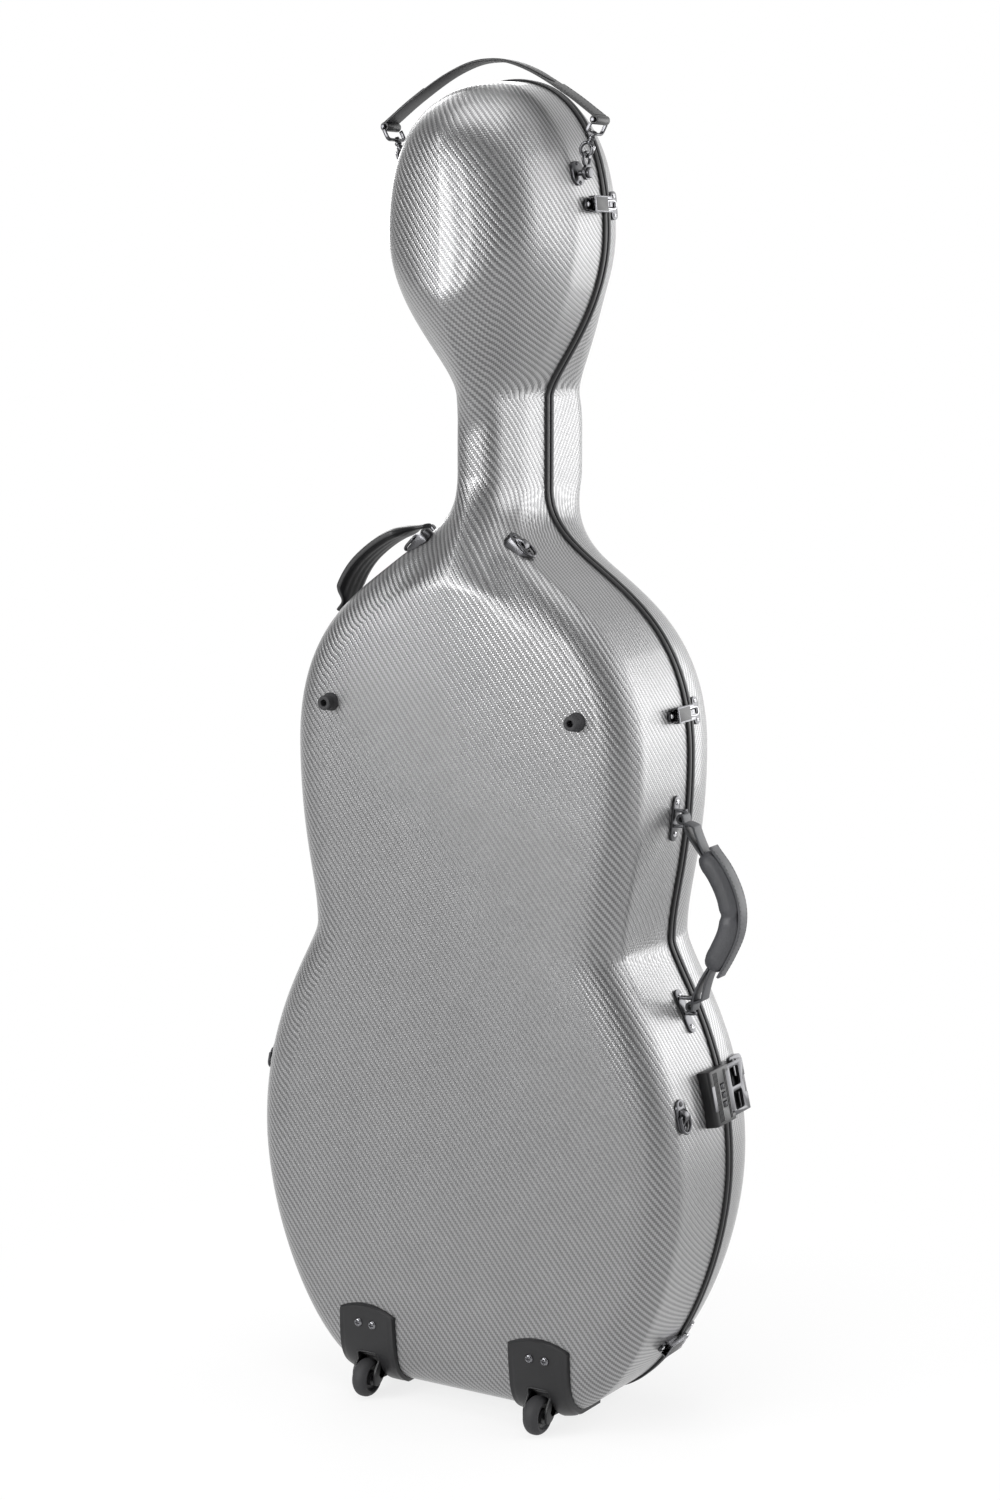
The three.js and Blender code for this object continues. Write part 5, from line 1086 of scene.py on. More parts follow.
def make_finishes(scene):
    """Every finish of the case, by name."""
    cloth, fitting, hide = scene.case_cloth, scene.case_fittings, scene.case_leather
    velour = rgba(cloth.plush, 2)[:3]
    satin = rgba(fitting.gunmetal, 2.2)[:3]
    thread = rgba(hide.strap, 0.8)[:3]
    make_twill_group()
    make_grain_group()
    make_wear_group()
    return {
        "twill": twill_finish(cloth),
        "plush": pile_finish("plush_pile", cloth.plush, 1500.0),
        "velour": pile_finish("velour_pile", velour, 2200.0),
        "trim": trim_finish("black_trim", fitting.trim),
        "lid_trim": trim_finish("grey_trim", fitting.lid_trim),
        "moulded": grained_finish("moulded_black", fitting.moulded, 0.4, 900.0, 0.0001, 0.1, 0.3),
        "rubber": grained_finish("black_rubber", fitting.rubber, 0.66, 700.0, 0.00012),
        "gunmetal": metal_finish("dark_plate", fitting.gunmetal, 0.24),
        "satin": metal_finish("satin_plate", satin, 0.22),
        "bright": metal_finish("bright_plate", fitting.bright, 0.16),
        "leather": grained_finish("grained_leather", hide.leather, 0.52, 620.0, 0.00035, 0.1),
        "strap": grained_finish("strap_leather", hide.strap, 0.48, 800.0, 0.00022, 0.15),
        "thread": grained_finish("waxed_thread", thread, 0.6, 2500.0, 0.0001),
    }


FINISHES = {}


class CASE_OT_finishes(bpy.types.Operator):
    """Make every finish of the case"""

    bl_idname = "case.finishes"
    bl_label = "Finishes"

    def execute(self, context):
        FINISHES.update(make_finishes(context.scene))
        return {"FINISHED"}


# Pieces


@contextlib.contextmanager
def editing(mesh):
    """The mesh as editable geometry, written back at the end."""
    work = bmesh.new()
    work.from_mesh(mesh)
    yield work
    work.to_mesh(mesh)
    work.free()


def weld(work):
    bmesh.ops.remove_doubles(work, verts=work.verts, dist=2e-6)


def tidy_mesh(mesh, angle):
    """Welds doubles, and leaves edges sharp only past the angle."""
    with editing(mesh) as work:
        weld(work)
        bmesh.ops.dissolve_degenerate(work, edges=work.edges, dist=1e-7)
    mesh.polygons.foreach_set("use_smooth", np.ones(len(mesh.polygons), bool))
    mesh.set_sharp_from_angle(angle=math.radians(angle))


def node_mesh(node):
    """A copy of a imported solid's mesh, without its materials."""
    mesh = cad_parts[node].data.copy()
    mesh.materials.clear()
    return mesh


def frame_mesh(name, points, faces):
    """A mesh of a part, moved into the frame in metres."""
    mesh = bpy.data.meshes.new(name)
    mesh.from_pydata(np.asarray(points, float) * MM + ORIGIN, [], faces)
    return mesh


def merged(name, parts):
    """Several parts as one mesh, and the finishes that its material numbers stand for."""
    finishes, points, faces, marks, start = [], [], [], [], 0
    for (part_points, part_faces), finish in parts:
        if finish not in finishes:
            finishes.append(finish)
        points.append(part_points)
        faces.extend([index + start for index in face] for face in part_faces)
        marks.extend([finishes.index(finish)] * len(part_faces))
        start += len(part_points)
    mesh = frame_mesh(name, np.concatenate(points), faces)
    mesh.polygons.foreach_set("material_index", np.array(marks, np.int32))
    return mesh, finishes


def settle(obj, body, node):
    """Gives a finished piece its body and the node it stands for."""
    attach(obj, body)
    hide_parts(node)
    return obj


def link(name, mesh, finishes):
    for finish in finishes:
        mesh.materials.append(FINISHES[finish])
    obj = bpy.data.objects.new(name, mesh)
    bpy.context.scene.collection.objects.link(obj)
    return obj


def piece(name, parts, body, node, angle):
    """A piece made of closed parts, each given with its finish."""
    mesh, finishes = merged(name, parts)
    tidy_mesh(mesh, angle)
    return settle(link(name, mesh, finishes), body, node)


def join_parts(obj, parts):
    """Adds closed parts to a piece's mesh, with their own finishes."""
    added, finishes = merged("added", parts)
    materials = obj.data.materials
    for finish in finishes:
        if FINISHES[finish].name not in materials:
            materials.append(FINISHES[finish])
    numbers = np.array([materials.find(FINISHES[finish].name) for finish in finishes], np.int32)
    marks = np.empty(len(added.polygons), np.int32)
    added.polygons.foreach_get("material_index", marks)
    added.polygons.foreach_set("material_index", numbers[marks])
    with editing(obj.data) as work:
        work.from_mesh(added)
    bpy.data.meshes.remove(added)


def eased_copy(name, node, finish, width, body, extra=()):
    """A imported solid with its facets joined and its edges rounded, and small parts added."""
    mesh = node_mesh(node)
    with editing(mesh) as work:
        weld(work)
        bmesh.ops.dissolve_limit(
            work, angle_limit=math.radians(4), verts=work.verts, edges=work.edges
        )
        sharp = [
            edge for edge in work.edges
            if len(edge.link_faces) == 2 and edge.calc_face_angle(0) > math.radians(40)
        ]
        bmesh.ops.bevel(
            work, geom=sharp, offset=width * MM * bpy.context.scene.case_fittings.edge,
            segments=2, profile=0.5, affect="EDGES", clamp_overlap=True,
        )
    obj = link(name, mesh, [finish])
    if extra:
        join_parts(obj, extra)
    tidy_mesh(mesh, 35)
    return settle(obj, body, node)


def bake_modifiers(obj):
    """Makes what the modifiers show the piece's own mesh."""
    depsgraph = bpy.context.evaluated_depsgraph_get()
    result = bpy.data.meshes.new_from_object(obj.evaluated_get(depsgraph))
    obj.modifiers.clear()
    old = obj.data
    obj.data = result
    bpy.data.meshes.remove(old)


def cut_away(obj, cutters):
    """Cuts closed parts out of a piece, and keeps the result as its mesh."""
    for part in cutters:
        mesh = frame_mesh("cutter", *part)
        tool = bpy.data.objects.new("cutter", mesh)
        bpy.context.scene.collection.objects.link(tool)
        cut = obj.modifiers.new("cut", "BOOLEAN")
        cut.operation = "DIFFERENCE"
        cut.solver = "EXACT"
        cut.object = tool
        bake_modifiers(obj)
        bpy.data.objects.remove(tool)
        bpy.data.meshes.remove(mesh)


def skinned(node, suffix, finish, skins, rim, cutters):
    """A closed shell between two skins of a half, joined at the rim and closed along the spine."""
    half, body = (BACK, "case_back") if node.startswith("back") else (LID, "case_lid")
    name = f"{node}_{suffix}"
    outer = skin_rows(half, skins[0], rim)
    inner = skin_rows(half, skins[1], rim, 5)
    rows = np.concatenate([outer[::-1], inner])
    cloth = np.concatenate([unrolled(outer)[::-1], unrolled(inner)])
    count = len(rows)
    index = np.arange(count * COUNT).reshape(count, COUNT)
    folded = np.minimum(np.arange(COUNT), COUNT - np.arange(COUNT))
    index[0], index[-1] = index[0][folded], index[-1][folded]
    faces = index.reshape(-1)[quads(count, COUNT)]
    faces = faces[(faces[:, 0] != faces[:, 1]) | (faces[:, 2] != faces[:, 3])]
    mesh = frame_mesh(name, *outward(rows.reshape(-1, 3), faces))
    corner = np.empty(len(mesh.loops), np.int32)
    mesh.loops.foreach_get("vertex_index", corner)
    layer = mesh.uv_layers.new(name="cloth")
    at_corner = cloth.reshape(-1, 2)[corner] * MM
    layer.data.foreach_set("uv", at_corner.reshape(-1).astype(np.float32))
    tidy_mesh(mesh, 50)
    obj = link(name, mesh, [finish])
    if cutters:
        cut_away(obj, cutters)
        tidy_mesh(obj.data, 50)
    return settle(obj, body, node)


def well_cutters():
    """Drums that clear the wheels and their hoods."""
    half = WELL_HALF + WELL_WALL + SEAT_GAP
    radius = WELL_RADIUS + WELL_WALL + SEAT_GAP
    return [
        rod(radius, -half, half, "x", (side * WHEEL_X, WHEEL_Y, WHEEL_RADIUS), 64, 0.1)
        for side in (-1, 1)
    ]


class CASE_OT_shells(bpy.types.Operator):
    """Build the two twill shells"""

    bl_idname = "case.shells"
    bl_label = "Shells"

    def execute(self, context):
        for half, cutters in (("back", well_cutters()), ("lid", ())):
            skinned(
                f"{half}_shell", "skin", "twill", (0, SHELL_WALL), RIM, cutters
            )
        return {"FINISHED"}


class CASE_OT_linings(bpy.types.Operator):
    """Build the plush linings"""

    bl_idname = "case.linings"
    bl_label = "Linings"

    def execute(self, context):
        outer = SHELL_WALL + LINING_GAP
        skins = (outer, outer + LINING_THICKNESS)
        rim = TRIM_LIP_WIDTH + 2 * LINING_GAP
        for half, cutters in (("back", well_cutters()), ("lid", ())):
            skinned(f"{half}_lining", "plush", "plush", skins, rim, cutters)
        return {"FINISHED"}


def trim_profile():
    """The trim's section as skin and depth: a channel with a round outer leg."""
    start = PARTING_GAP / 2
    inside = SHELL_WALL + SEAT_GAP
    middle, half = (start + TRIM_WIDTH) / 2, (TRIM_WIDTH - start) / 2
    proud = TRIM_PROUD - SEAT_GAP
    leg = [
        (-SEAT_GAP - proud * math.sin(a) ** 0.6, middle + half * math.cos(a))
        for a in np.linspace(0, np.pi, 13)
    ]
    return leg + [
        (inside + TRIM_LIP, start),
        (inside + TRIM_LIP, TRIM_LIP_WIDTH),
        (inside, TRIM_LIP_WIDTH),
        (inside, start + TRIM_WEB),
        (-SEAT_GAP, start + TRIM_WEB),
    ]


class CASE_OT_trims(bpy.types.Operator):
    """Build the trims that grip the rims"""

    bl_idname = "case.trims"
    bl_label = "Trims"

    def execute(self, context):
        profile = np.array(trim_profile())
        for half, label, finish in ((BACK, "back", "trim"), (LID, "lid", "lid_trim")):
            wall = along_case(POINTS[:, 1], half["wall"])
            depth = profile[:, 1:] + 0 * wall
            inset = half["draft"] * depth / wall + profile[:, :1]
            band = tube(place_ring(half, inset, depth), True)
            node = f"{label}_trim"
            piece(f"{node}_band", [(band, finish)], f"case_{label}", node, 55)
        return {"FINISHED"}


# Rolling gear


def housing_wrap():
    """A moulded plate over the bottom corner: points on the surface, their normals, and the plate.

    Each column of the plate is the surface's own section at that x, cut to length from the arched
    top to the end under the base, and its thickness is set off along the surface's normal."""
    skin = skin_rows(BACK, 0, RIM, 24, 40, 40)
    stations = COUNT // 4
    columns, rows = 41, 61
    across = np.linspace(-HOUSING_HALF, HOUSING_HALF, columns)
    section = np.stack([
        [np.interp(WHEEL_X + across, row[:stations, 0], row[:stations, axis]) for axis in (1, 2)]
        for row in skin
    ])
    top = HOUSING_TOP_Z - HOUSING_ARCH * (across / HOUSING_HALF) ** 2
    centre = np.empty((rows, columns, 3))
    centre[..., 0] = WHEEL_X + across
    for number in range(columns):
        y, z = section[..., number].T
        run = np.concatenate([[0], np.cumsum(np.hypot(np.diff(y), np.diff(z)))])
        face = len(skin) // 2
        low = np.interp(HOUSING_WRAP, -y, run)
        high = np.interp(top[number], z[face:], run[face:])
        at = np.linspace(low, high, rows)
        centre[:, number, 1] = np.interp(at, run, y)
        centre[:, number, 2] = np.interp(at, run, z)
    normal = np.cross(np.gradient(centre, axis=0), np.gradient(centre, axis=1))
    normal /= np.linalg.norm(normal, axis=-1, keepdims=True)
    normal *= -np.sign(normal[-1:, :, 1:2])
    to_end = np.minimum(np.linspace(0, 1, rows), np.linspace(1, 0, rows)) * rows * 2.5
    edge = np.minimum(to_end[:, None], HOUSING_HALF - np.abs(across))
    rounding, lip, groove_in, groove = 2.2, 0.6, 5.5, 0.5
    ease = np.sqrt(np.clip(1 - (1 - np.clip(edge / rounding, 0, 1)) ** 2, 0, 1))
    border = groove * np.exp(-((edge - groove_in) ** 2) / 0.6)
    thick = SEAT_GAP + lip + (HOUSING_THICKNESS - lip) * ease - border
    outer = centre + normal * thick[..., None]
    return centre, normal, sheet_between(outer, centre + normal * SEAT_GAP)


def sheet_between(outer, inner):
    """A closed sheet between two grids of points of the same size, joined round its edge."""
    rows, columns = outer.shape[:2]
    top = quads(rows, columns, False, False)
    under = top[:, ::-1] + rows * columns
    grid = np.arange(rows * columns).reshape(rows, columns)
    rim = np.concatenate([grid[0], grid[1:, -1], grid[-1, -2::-1], grid[-2:0:-1, 0]])
    after = np.roll(rim, -1)
    side = np.stack([rim, rim + rows * columns, after + rows * columns, after], -1)
    points = np.concatenate([outer.reshape(-1, 3), inner.reshape(-1, 3)])
    return outward(points, np.concatenate([top, under, side]))


def on_housing(centre, normal, across, height):
    """The plate's outer point and normal nearest to a place on the back face."""
    column = np.argmin(np.abs(centre[0, :, 0] - WHEEL_X - across))
    turned_under = centre[:, column, 1] > -100
    row = np.argmin(np.abs(centre[:, column, 2] - height) + 1000 * turned_under)
    out = normal[row, column]
    return centre[row, column] + out * (HOUSING_THICKNESS + SEAT_GAP), out


def notch_outline(grow=0.0):
    """The notch that the wheel shows through, in x and z: flat above and flared below."""
    half, flare, top = 12.0 + grow, 17.0 + grow, 47.0 + grow
    right = [(flare + 6, -30), (flare, 8), (half, 34), (half, top)]
    left = [(-x, z) for x, z in right]
    return rounded_path([left[0], *right, *left[:0:-1]], [1, 1, 12, 8, 4, 4, 8, 12], 5)


def notch_lip(centre, normal):
    """A bead round the notch, laid on the plate's surface where the notch's edge crosses it."""
    outline = notch_outline(0.4)
    path, out = [], []
    for across, height in even_path(outline[outline[:, 1] > 14], 80):
        spot, facing = on_housing(centre, normal, across, height)
        path.append((WHEEL_X + across, spot[1], height))
        out.append(facing)
    path, out = np.array(path), np.array(out)
    path[:, 1] = np.convolve(np.pad(path[:, 1], 3, "edge"), np.ones(7) / 7, "valid")
    along, _, _ = frames(path, (0, 1, 0))
    side = np.cross(out, along)
    side /= np.linalg.norm(side, axis=1, keepdims=True)
    ring = circle(1.1, 10)
    return tube(path[:, None] + out[:, None] * ring[:, :1] + side[:, None] * ring[:, 1:])


def housing_hood():
    """A hood behind the wheel: a channel section turned through the part that lies in the case."""
    inner, outer, half, wall = 3, WELL_RADIUS + WELL_WALL, WELL_HALF, WELL_HALF + WELL_WALL
    section = rounded_path([
        (inner, -half), (WELL_RADIUS, -half), (WELL_RADIUS, half), (inner, half),
        (inner, wall), (outer, wall), (outer, -wall), (inner, -wall),
    ], 0.8, 2)
    return lathe(closed(section), "x", sides=44, low=math.radians(86), high=math.radians(158))


class CASE_OT_rolling_gear(bpy.types.Operator):
    """Build the wheel housings, each with its hood, axle, bosses and screws, and the wheels"""

    bl_idname = "case.rolling_gear"
    bl_label = "Rolling gear"

    def execute(self, context):
        centre, normal, wrap = housing_wrap()
        hub = np.array([WHEEL_X, WHEEL_Y, WHEEL_RADIUS])
        cheek = [(-6.5, -6.5), (4, -6.5), (26, 14), (26, 26), (8, 26), (-6.5, 8)]
        cheek = rounded_path(cheek, 6, 5) + hub[1:]
        extra = [
            (moved(housing_hood(), shifted(*hub)), "moulded"),
            (rod(3.0, -14, 14, "x", hub), "gunmetal"),
        ]
        for low in (-14.1, 11.5):
            boss = moved(plate(cheek, low, low + 2.6, 0.4), shifted(WHEEL_X))
            extra.append((boss, "moulded"))
        for across in (-9.0, 9.0):
            spot, out = on_housing(centre, normal, across, 80.0)
            sideways = (1.0, 0.0, 0.0)
            place = place_of(out, sideways, np.cross(out, sideways), spot)
            extra.append((moved(screw_head(4.8), place), "satin"))
        extra.append((notch_lip(centre, normal), "moulded"))
        lying = place_of((1, 0, 0), (0, 0, 1), (0, 1, 0), (WHEEL_X, WHEEL_Y, 0))
        notch = moved(slab(notch_outline(), -40, 40, 0.1), lying)
        for label, side in SIDES.items():
            mirror = mirrored(side)
            obj = piece(
                f"wheel_housing_{label}_cover", placed([(wrap, "moulded")], mirror),
                "case_back", f"wheel_housing_{label}", 42,
            )
            cut_away(obj, [moved(notch, mirror)])
            join_parts(obj, placed(extra, mirror))
            tidy_mesh(obj.data, 42)
            build_wheel(label, side)
        return {"FINISHED"}


def build_wheel(label, side):
    """A tyre with a crowned tread and a moulded hub with a raised rim on each face."""
    half = WHEEL_WIDTH / 2
    crown = [(WHEEL_RADIUS - 4.2 * abs(t) ** 2.6, half * t) for t in np.linspace(-1, 1, 15)]
    tyre = [*crown, (14.0, half), (12.2, half - 2.0), (12.2, -half + 2.0), (14.0, -half)]
    hub = [
        (3.4, -half + 0.6), (7.2, -half + 0.6), (7.8, -half + 3.4), (11.0, -half + 3.0),
        (12.4, -half + 1.6),
    ]
    hub += [(r, -z) for r, z in hub[::-1]]
    parts = [
        (lathe(closed(tyre), "x", sides=72), "rubber"),
        (lathe(closed(hub), "x", sides=48), "moulded"),
    ]
    parts = placed(parts, shifted(side * WHEEL_X, WHEEL_Y, WHEEL_RADIUS))
    piece(f"wheel_{label}_tyre", parts, f"wheel_{label}_unit", f"wheel_{label}", 40)


class CASE_OT_feet(bpy.types.Operator):
    """Build the rubber feet on the back, each with its screw, and the grooved skid"""

    bl_idname = "case.feet"
    bl_label = "Feet"

    def execute(self, context):
        x, z = BACK_FOOT
        face = along_case(z, BACK["wall"]) + along_case(z, BACK["depth"])
        outline = [
            (0, -3), (9.5, -3), (9.5, 2.6), (9.1, 3.6), (8.0, 5.6), (7.6, 7.2), (7.5, 13.4),
            (7.1, 14.5), (6.2, 15.0), (4.2, 15.0), (3.6, 14.6), (3.4, 13.8), (3.4, 6.0), (0, 6.0),
        ]
        for label, side in SIDES.items():
            on_face = place_of((1, 0, 0), (0, 0, 1), (0, -1, 0), (side * x, -face, z))
            in_foot = place_of((0, -1, 0), (1, 0, 0), (0, 0, 1), (side * x, -face - 6.0, z))
            parts = [
                (moved(lathe(outline, sides=56), on_face), "rubber"),
                (moved(screw_head(3.0), in_foot), "bright"),
            ]
            node = f"back_foot_{label}"
            piece(f"{node}_rubber", parts, "case_back", node, 40)
        outline = rectangle(2 * SKID_HALF, SKID_DEPTH, 9.0, steps=8)
        skid = moved(slab(outline, 0, BASE_Z - SEAT_GAP, 2.0, 5), shifted(0, SKID_Y, 0))
        groove = slab(rectangle(2 * SKID_HALF - 24, 2.0, 0.9, steps=4), 0, 1.2, 0.3)
        obj = piece(
            "base_foot_rubber", [(skid, "rubber")], "case_lid", "base_foot", 40
        )
        cut_away(obj, [moved(groove, shifted(0, SKID_Y + y, -0.6)) for y in (-6.0, 0.0, 6.0)])
        tidy_mesh(obj.data, 40)
        return {"FINISHED"}


# Hardware


def wall_screws(place, radius, spots, rise, finish="bright"):
    """Screw heads on the wall, at y and z in the axes of a wall place."""
    return placed(
        [(moved(screw_head(radius), shifted(rise, *spot)), finish) for spot in spots], place
    )


def rivet_on_leaf(height, y):
    """A low domed rivet on the outside of a hinge leaf, on the side away from the latches."""
    share = (height - LOWER_BOUT[1]) / (UPPER_BOUT[1] - LOWER_BOUT[1])
    hinge_line = -(LOWER_BOUT[0] + 9) + share * (LOWER_BOUT[0] - UPPER_BOUT[0])
    dome = [(0, -1.0), (2.6, -1.0), (2.6, 0.2), (2.0, 0.9), (1.0, 1.25), (0, 1.35)]
    facing = place_of((0, 1, 0), (0, 0, -1), (-1, 0, 0), (hinge_line + 9 - 2.7, y, height))
    return moved(lathe(dome, sides=24), facing)


class CASE_OT_hinges(bpy.types.Operator):
    """Build the lid hinges, each leaf with three rivets"""

    bl_idname = "case.hinges"
    bl_label = "Hinges"

    def execute(self, context):
        for label in ("lower", "upper"):
            low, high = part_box(f"hinge_leaf_{label}_lid")
            middle = ((low.z + high.z) / 2 - ORIGIN[2]) / MM
            for half, y in (("back", -28.0), ("lid", 28.0)):
                rivets = [
                    (rivet_on_leaf(middle + along, y), "gunmetal") for along in (-22.0, 0.0, 22.0)
                ]
                eased_copy(
                    f"hinge_{label}_{half}_metal", f"hinge_leaf_{label}_{half}", "gunmetal", 0.3,
                    f"case_{half}", rivets,
                )
        return {"FINISHED"}


def latch_lever():
    """A stamped cover with turned-down sides, a panel on it and a lifted finger edge."""
    half, slot, pin_end = LATCH_WIDTH / 2, 2.7, 4.7
    near, far, slot_end = LATCH_PIVOT_Y + 1.4, -LATCH_REACH, LATCH_PIVOT_Y - 8.0
    low, high = LATCH_TOP_RISE - LATCH_SHEET, LATCH_TOP_RISE
    bail_y = LATCH_PIVOT_Y - BAIL_OFFSET
    outline = [
        (near, -half), (near, -pin_end), (slot_end, -pin_end), (slot_end, -slot), (near, -slot),
        (near, slot), (slot_end, slot), (slot_end, pin_end), (near, pin_end), (near, half),
        (far, half), (far, -half),
    ]
    panel = rectangle(23.5, 13.4, 0.8, (far + 13.4, 0))
    parts = [
        (plate(outline[::-1], low, high, 0.35), "satin"),
        (plate(panel, high - 0.4, high + 0.12, 0.1), "moulded"),
    ]
    flange = [(1.7, far), (high, far), (high, near), (3.8, near), (3.4, -8.2), (1.7, -9.7)]
    for start in (-half, half - LATCH_SHEET):
        parts.append((slab(flange, start, start + LATCH_SHEET, 0.3), "satin"))
    pivot = (LATCH_PIVOT_RISE, LATCH_PIVOT_Y, 0)
    for start in (-half, pin_end):
        parts.append((rod(1.1, start, start + half - pin_end, "z", pivot, 20, 0.2), "bright"))
    lip = rod(0.9, -half + 0.4, half - 0.4, "z", (high - 0.5, far + 0.1, 0), 16, 0.3)
    boss = rectangle(high - 3.3, 4.0, 0.8, ((high + 3.3) / 2, bail_y))
    return [*parts, (lip, "satin"), (slab(boss, -slot, slot, 0.2), "gunmetal")]


def latch_bail():
    """A wire loop bent round: two arms, a round end, and the pivot through the lever."""
    wire, pivot, end = 0.75, LATCH_PIVOT_Y - BAIL_OFFSET, 11.6
    arm, rise = 4.4 - wire, LATCH_PIVOT_RISE
    corners = [(rise, pivot, -arm), (rise, end - 2, -arm), (rise - 0.2, end, -arm + 1.6)]
    bend = through(corners + [(x, y, -z) for x, y, z in corners[::-1]], 46)
    parts = [
        sweep(bend, (1.0, 0, 0), circle(wire, 14)),
        rod(0.8, -4.4, 4.4, "z", (rise, pivot, 0), 16, 0.2),
        rod(0.8, -3.4, 3.4, "z", (rise - 0.6, end, 0), 16, 0.2),
    ]
    return [(part, "bright") for part in parts]


class CASE_OT_latches(bpy.types.Operator):
    """Build the three draw latches: base, lever, bail and keeper"""

    bl_idname = "case.latches"
    bl_label = "Latches"

    def execute(self, context):
        for label, height in LATCH_HEIGHTS.items():
            place = wall_place(height)
            eased_copy(
                f"latch_base_{label}_plate", f"latch_base_{label}", "gunmetal", 0.25, "case_back",
                wall_screws(place, 2.4, [(-LATCH_REACH - 1.6, 0)], LATCH_SHEET),
            )
            for kind, suffix, parts, slot in (
                ("lever", "cover", latch_lever(), "gunmetal"),
                ("bail", "wire", latch_bail(), "bright_metal"),
            ):
                node = f"latch_{kind}_{label}"
                piece(f"{node}_{suffix}", placed(parts, place), f"{node}_unit", node, 40)
            eased_copy(
                f"latch_keeper_{label}_plate", f"latch_keeper_{label}", "gunmetal", 0.25,
                "case_lid",
                wall_screws(place, 2.2, [(15.2, -9.6), (15.2, 9.6)], LATCH_SHEET),
            )
        return {"FINISHED"}


def dial():
    """A thumb wheel with a knurled edge: its radius rises and falls in waves round the turn."""
    turn = np.linspace(0, 2 * np.pi, 120, endpoint=False)
    radius = DIAL_RADIUS - 0.5 * (0.5 + 0.5 * np.cos(20 * turn)) ** 2
    levels = [(-2.5, 0.86), (-2.2, 0.97), (-1.6, 1.0), (1.6, 1.0), (2.2, 0.97), (2.5, 0.86)]
    return tube([
        np.stack([radius * share * np.cos(turn), radius * share * np.sin(turn), z + 0 * turn], -1)
        for z, share in levels
    ])


class CASE_OT_lock(bpy.types.Operator):
    """Build the combination lock: ribbed housing, dials, hasp and keeper"""

    bl_idname = "case.lock"
    bl_label = "Lock"

    def execute(self, context):
        place = wall_place(LOCK_Z)
        length = 2 * LOCK_HALF - 6
        parts = [
            (plate(rectangle(1.3, length, 0.6, (y, 0)), LOCK_RISE - 0.4, LOCK_RISE + 0.5, 0.3),
             "moulded")
            for y in (-35.0, -32.6, -30.2, -27.8, -12.4, -10.0)
        ]
        button = rectangle(8.0, 26.0, 2.0, (-LOCK_REACH - 2.6, 0))
        parts.append((plate(button, LOCK_RISE - 2.0, LOCK_RISE + 0.2, 0.6), "gunmetal"))
        eased_copy(
            "lock_housing_case", "lock_housing", "moulded", 0.6, "case_back",
            placed(parts, place),
        )
        for number in (1, 2, 3):
            node = f"lock_dial_{number}"
            at = place @ shifted(DIAL_RISE, DIAL_Y, (number - 2) * DIAL_PITCH)
            wheel = moved(dial(), at)
            piece(
                f"{node}_wheel", [(wheel, "gunmetal")], f"{node}_unit", node, 30
            )
        eased_copy(
            "lock_hasp_plate", "lock_hasp", "gunmetal", 0.4, "lock_hasp_unit"
        )
        eased_copy(
            "lock_keeper_plate", "lock_keeper", "gunmetal", 0.3, "case_lid",
            wall_screws(place, 2.6, [(45.0, -18.0), (45.0, 18.0)], -0.8),
        )
        return {"FINISHED"}


# Leather

# Middle lines of the handles: how far out and how far along, as shares
SIDE_HANDLE_SHARES = [
    (0, -0.02), (0.05, 0.04), (0.28, 0.16), (0.68, 0.3), (0.93, 0.41),
    (1, 0.5), (0.95, 0.59), (0.72, 0.71), (0.34, 0.83), (0.05, 0.96), (0, 1.02),
]
SHOULDER_HANDLE_SHARES = [
    (0, -0.03), (0.12, 0.06), (0.62, 0.18), (0.96, 0.36),
    (1, 0.54), (0.82, 0.74), (0.45, 0.9), (0, 1.03),
]


def handle_route(span, bow, shares, count):
    """The middle line of a handle in its own axes."""
    start = KNUCKLE_RADIUS + 1.0
    points = [(start + (bow - start) * out, 0.0, along * span) for out, along in shares]
    return even_path(through(points, 400), count)


def ways_out(path, axis=0):
    """The ways out along a path in x and z, turned so that the middle one points up the axis."""
    out = frames(path, (0, 1, 0))[1]
    return out * np.sign(out[len(out) // 2, axis])


def padded_grip(path, thick, wide, pinch):
    """A leather sleeve round padding.

    Its half sizes swell from the strap to the grip and draw in at the pinch. A seam is pressed in
    along the inner side, and short wrinkles gather near the ends and the pinch."""
    share = np.linspace(0, 1, len(path))
    turn = np.linspace(0, 2 * np.pi, 48, endpoint=False)
    ends = np.minimum(share, 1 - share)
    full = np.sqrt(np.clip(1 - (1 - np.clip(ends / 0.12, 0, 1)) ** 2, 0, 1))
    middle, depth, width = pinch
    size = 0.42 + 0.58 * full - depth * np.exp(-(((share - middle) / width) ** 2))
    a, s = np.meshgrid(turn, share)
    seam = 0.1 * np.exp(-((np.abs(a - np.pi) / 0.16) ** 2))
    gather = sum(
        np.exp(-(((s - at) / reach) ** 2))
        for at, reach in ((0.05, 0.07), (0.95, 0.07), (middle, 1.6 * width))
    )
    waves = np.sin(9 * a + 4 * np.sin(37 * s)) * np.sin(42 * np.pi * s + 1.3 * np.cos(3 * a))
    radial = size[:, None] * (1 - seam) + 0.018 * gather * waves
    out = -np.sign(np.cos(a)) * np.abs(np.cos(a)) ** 0.85 * thick * radial
    side = np.sign(np.sin(a)) * np.abs(np.sin(a)) ** 0.85 * wide * radial
    return sweep(path, (0, 1, 0), np.stack([out, side], -1))


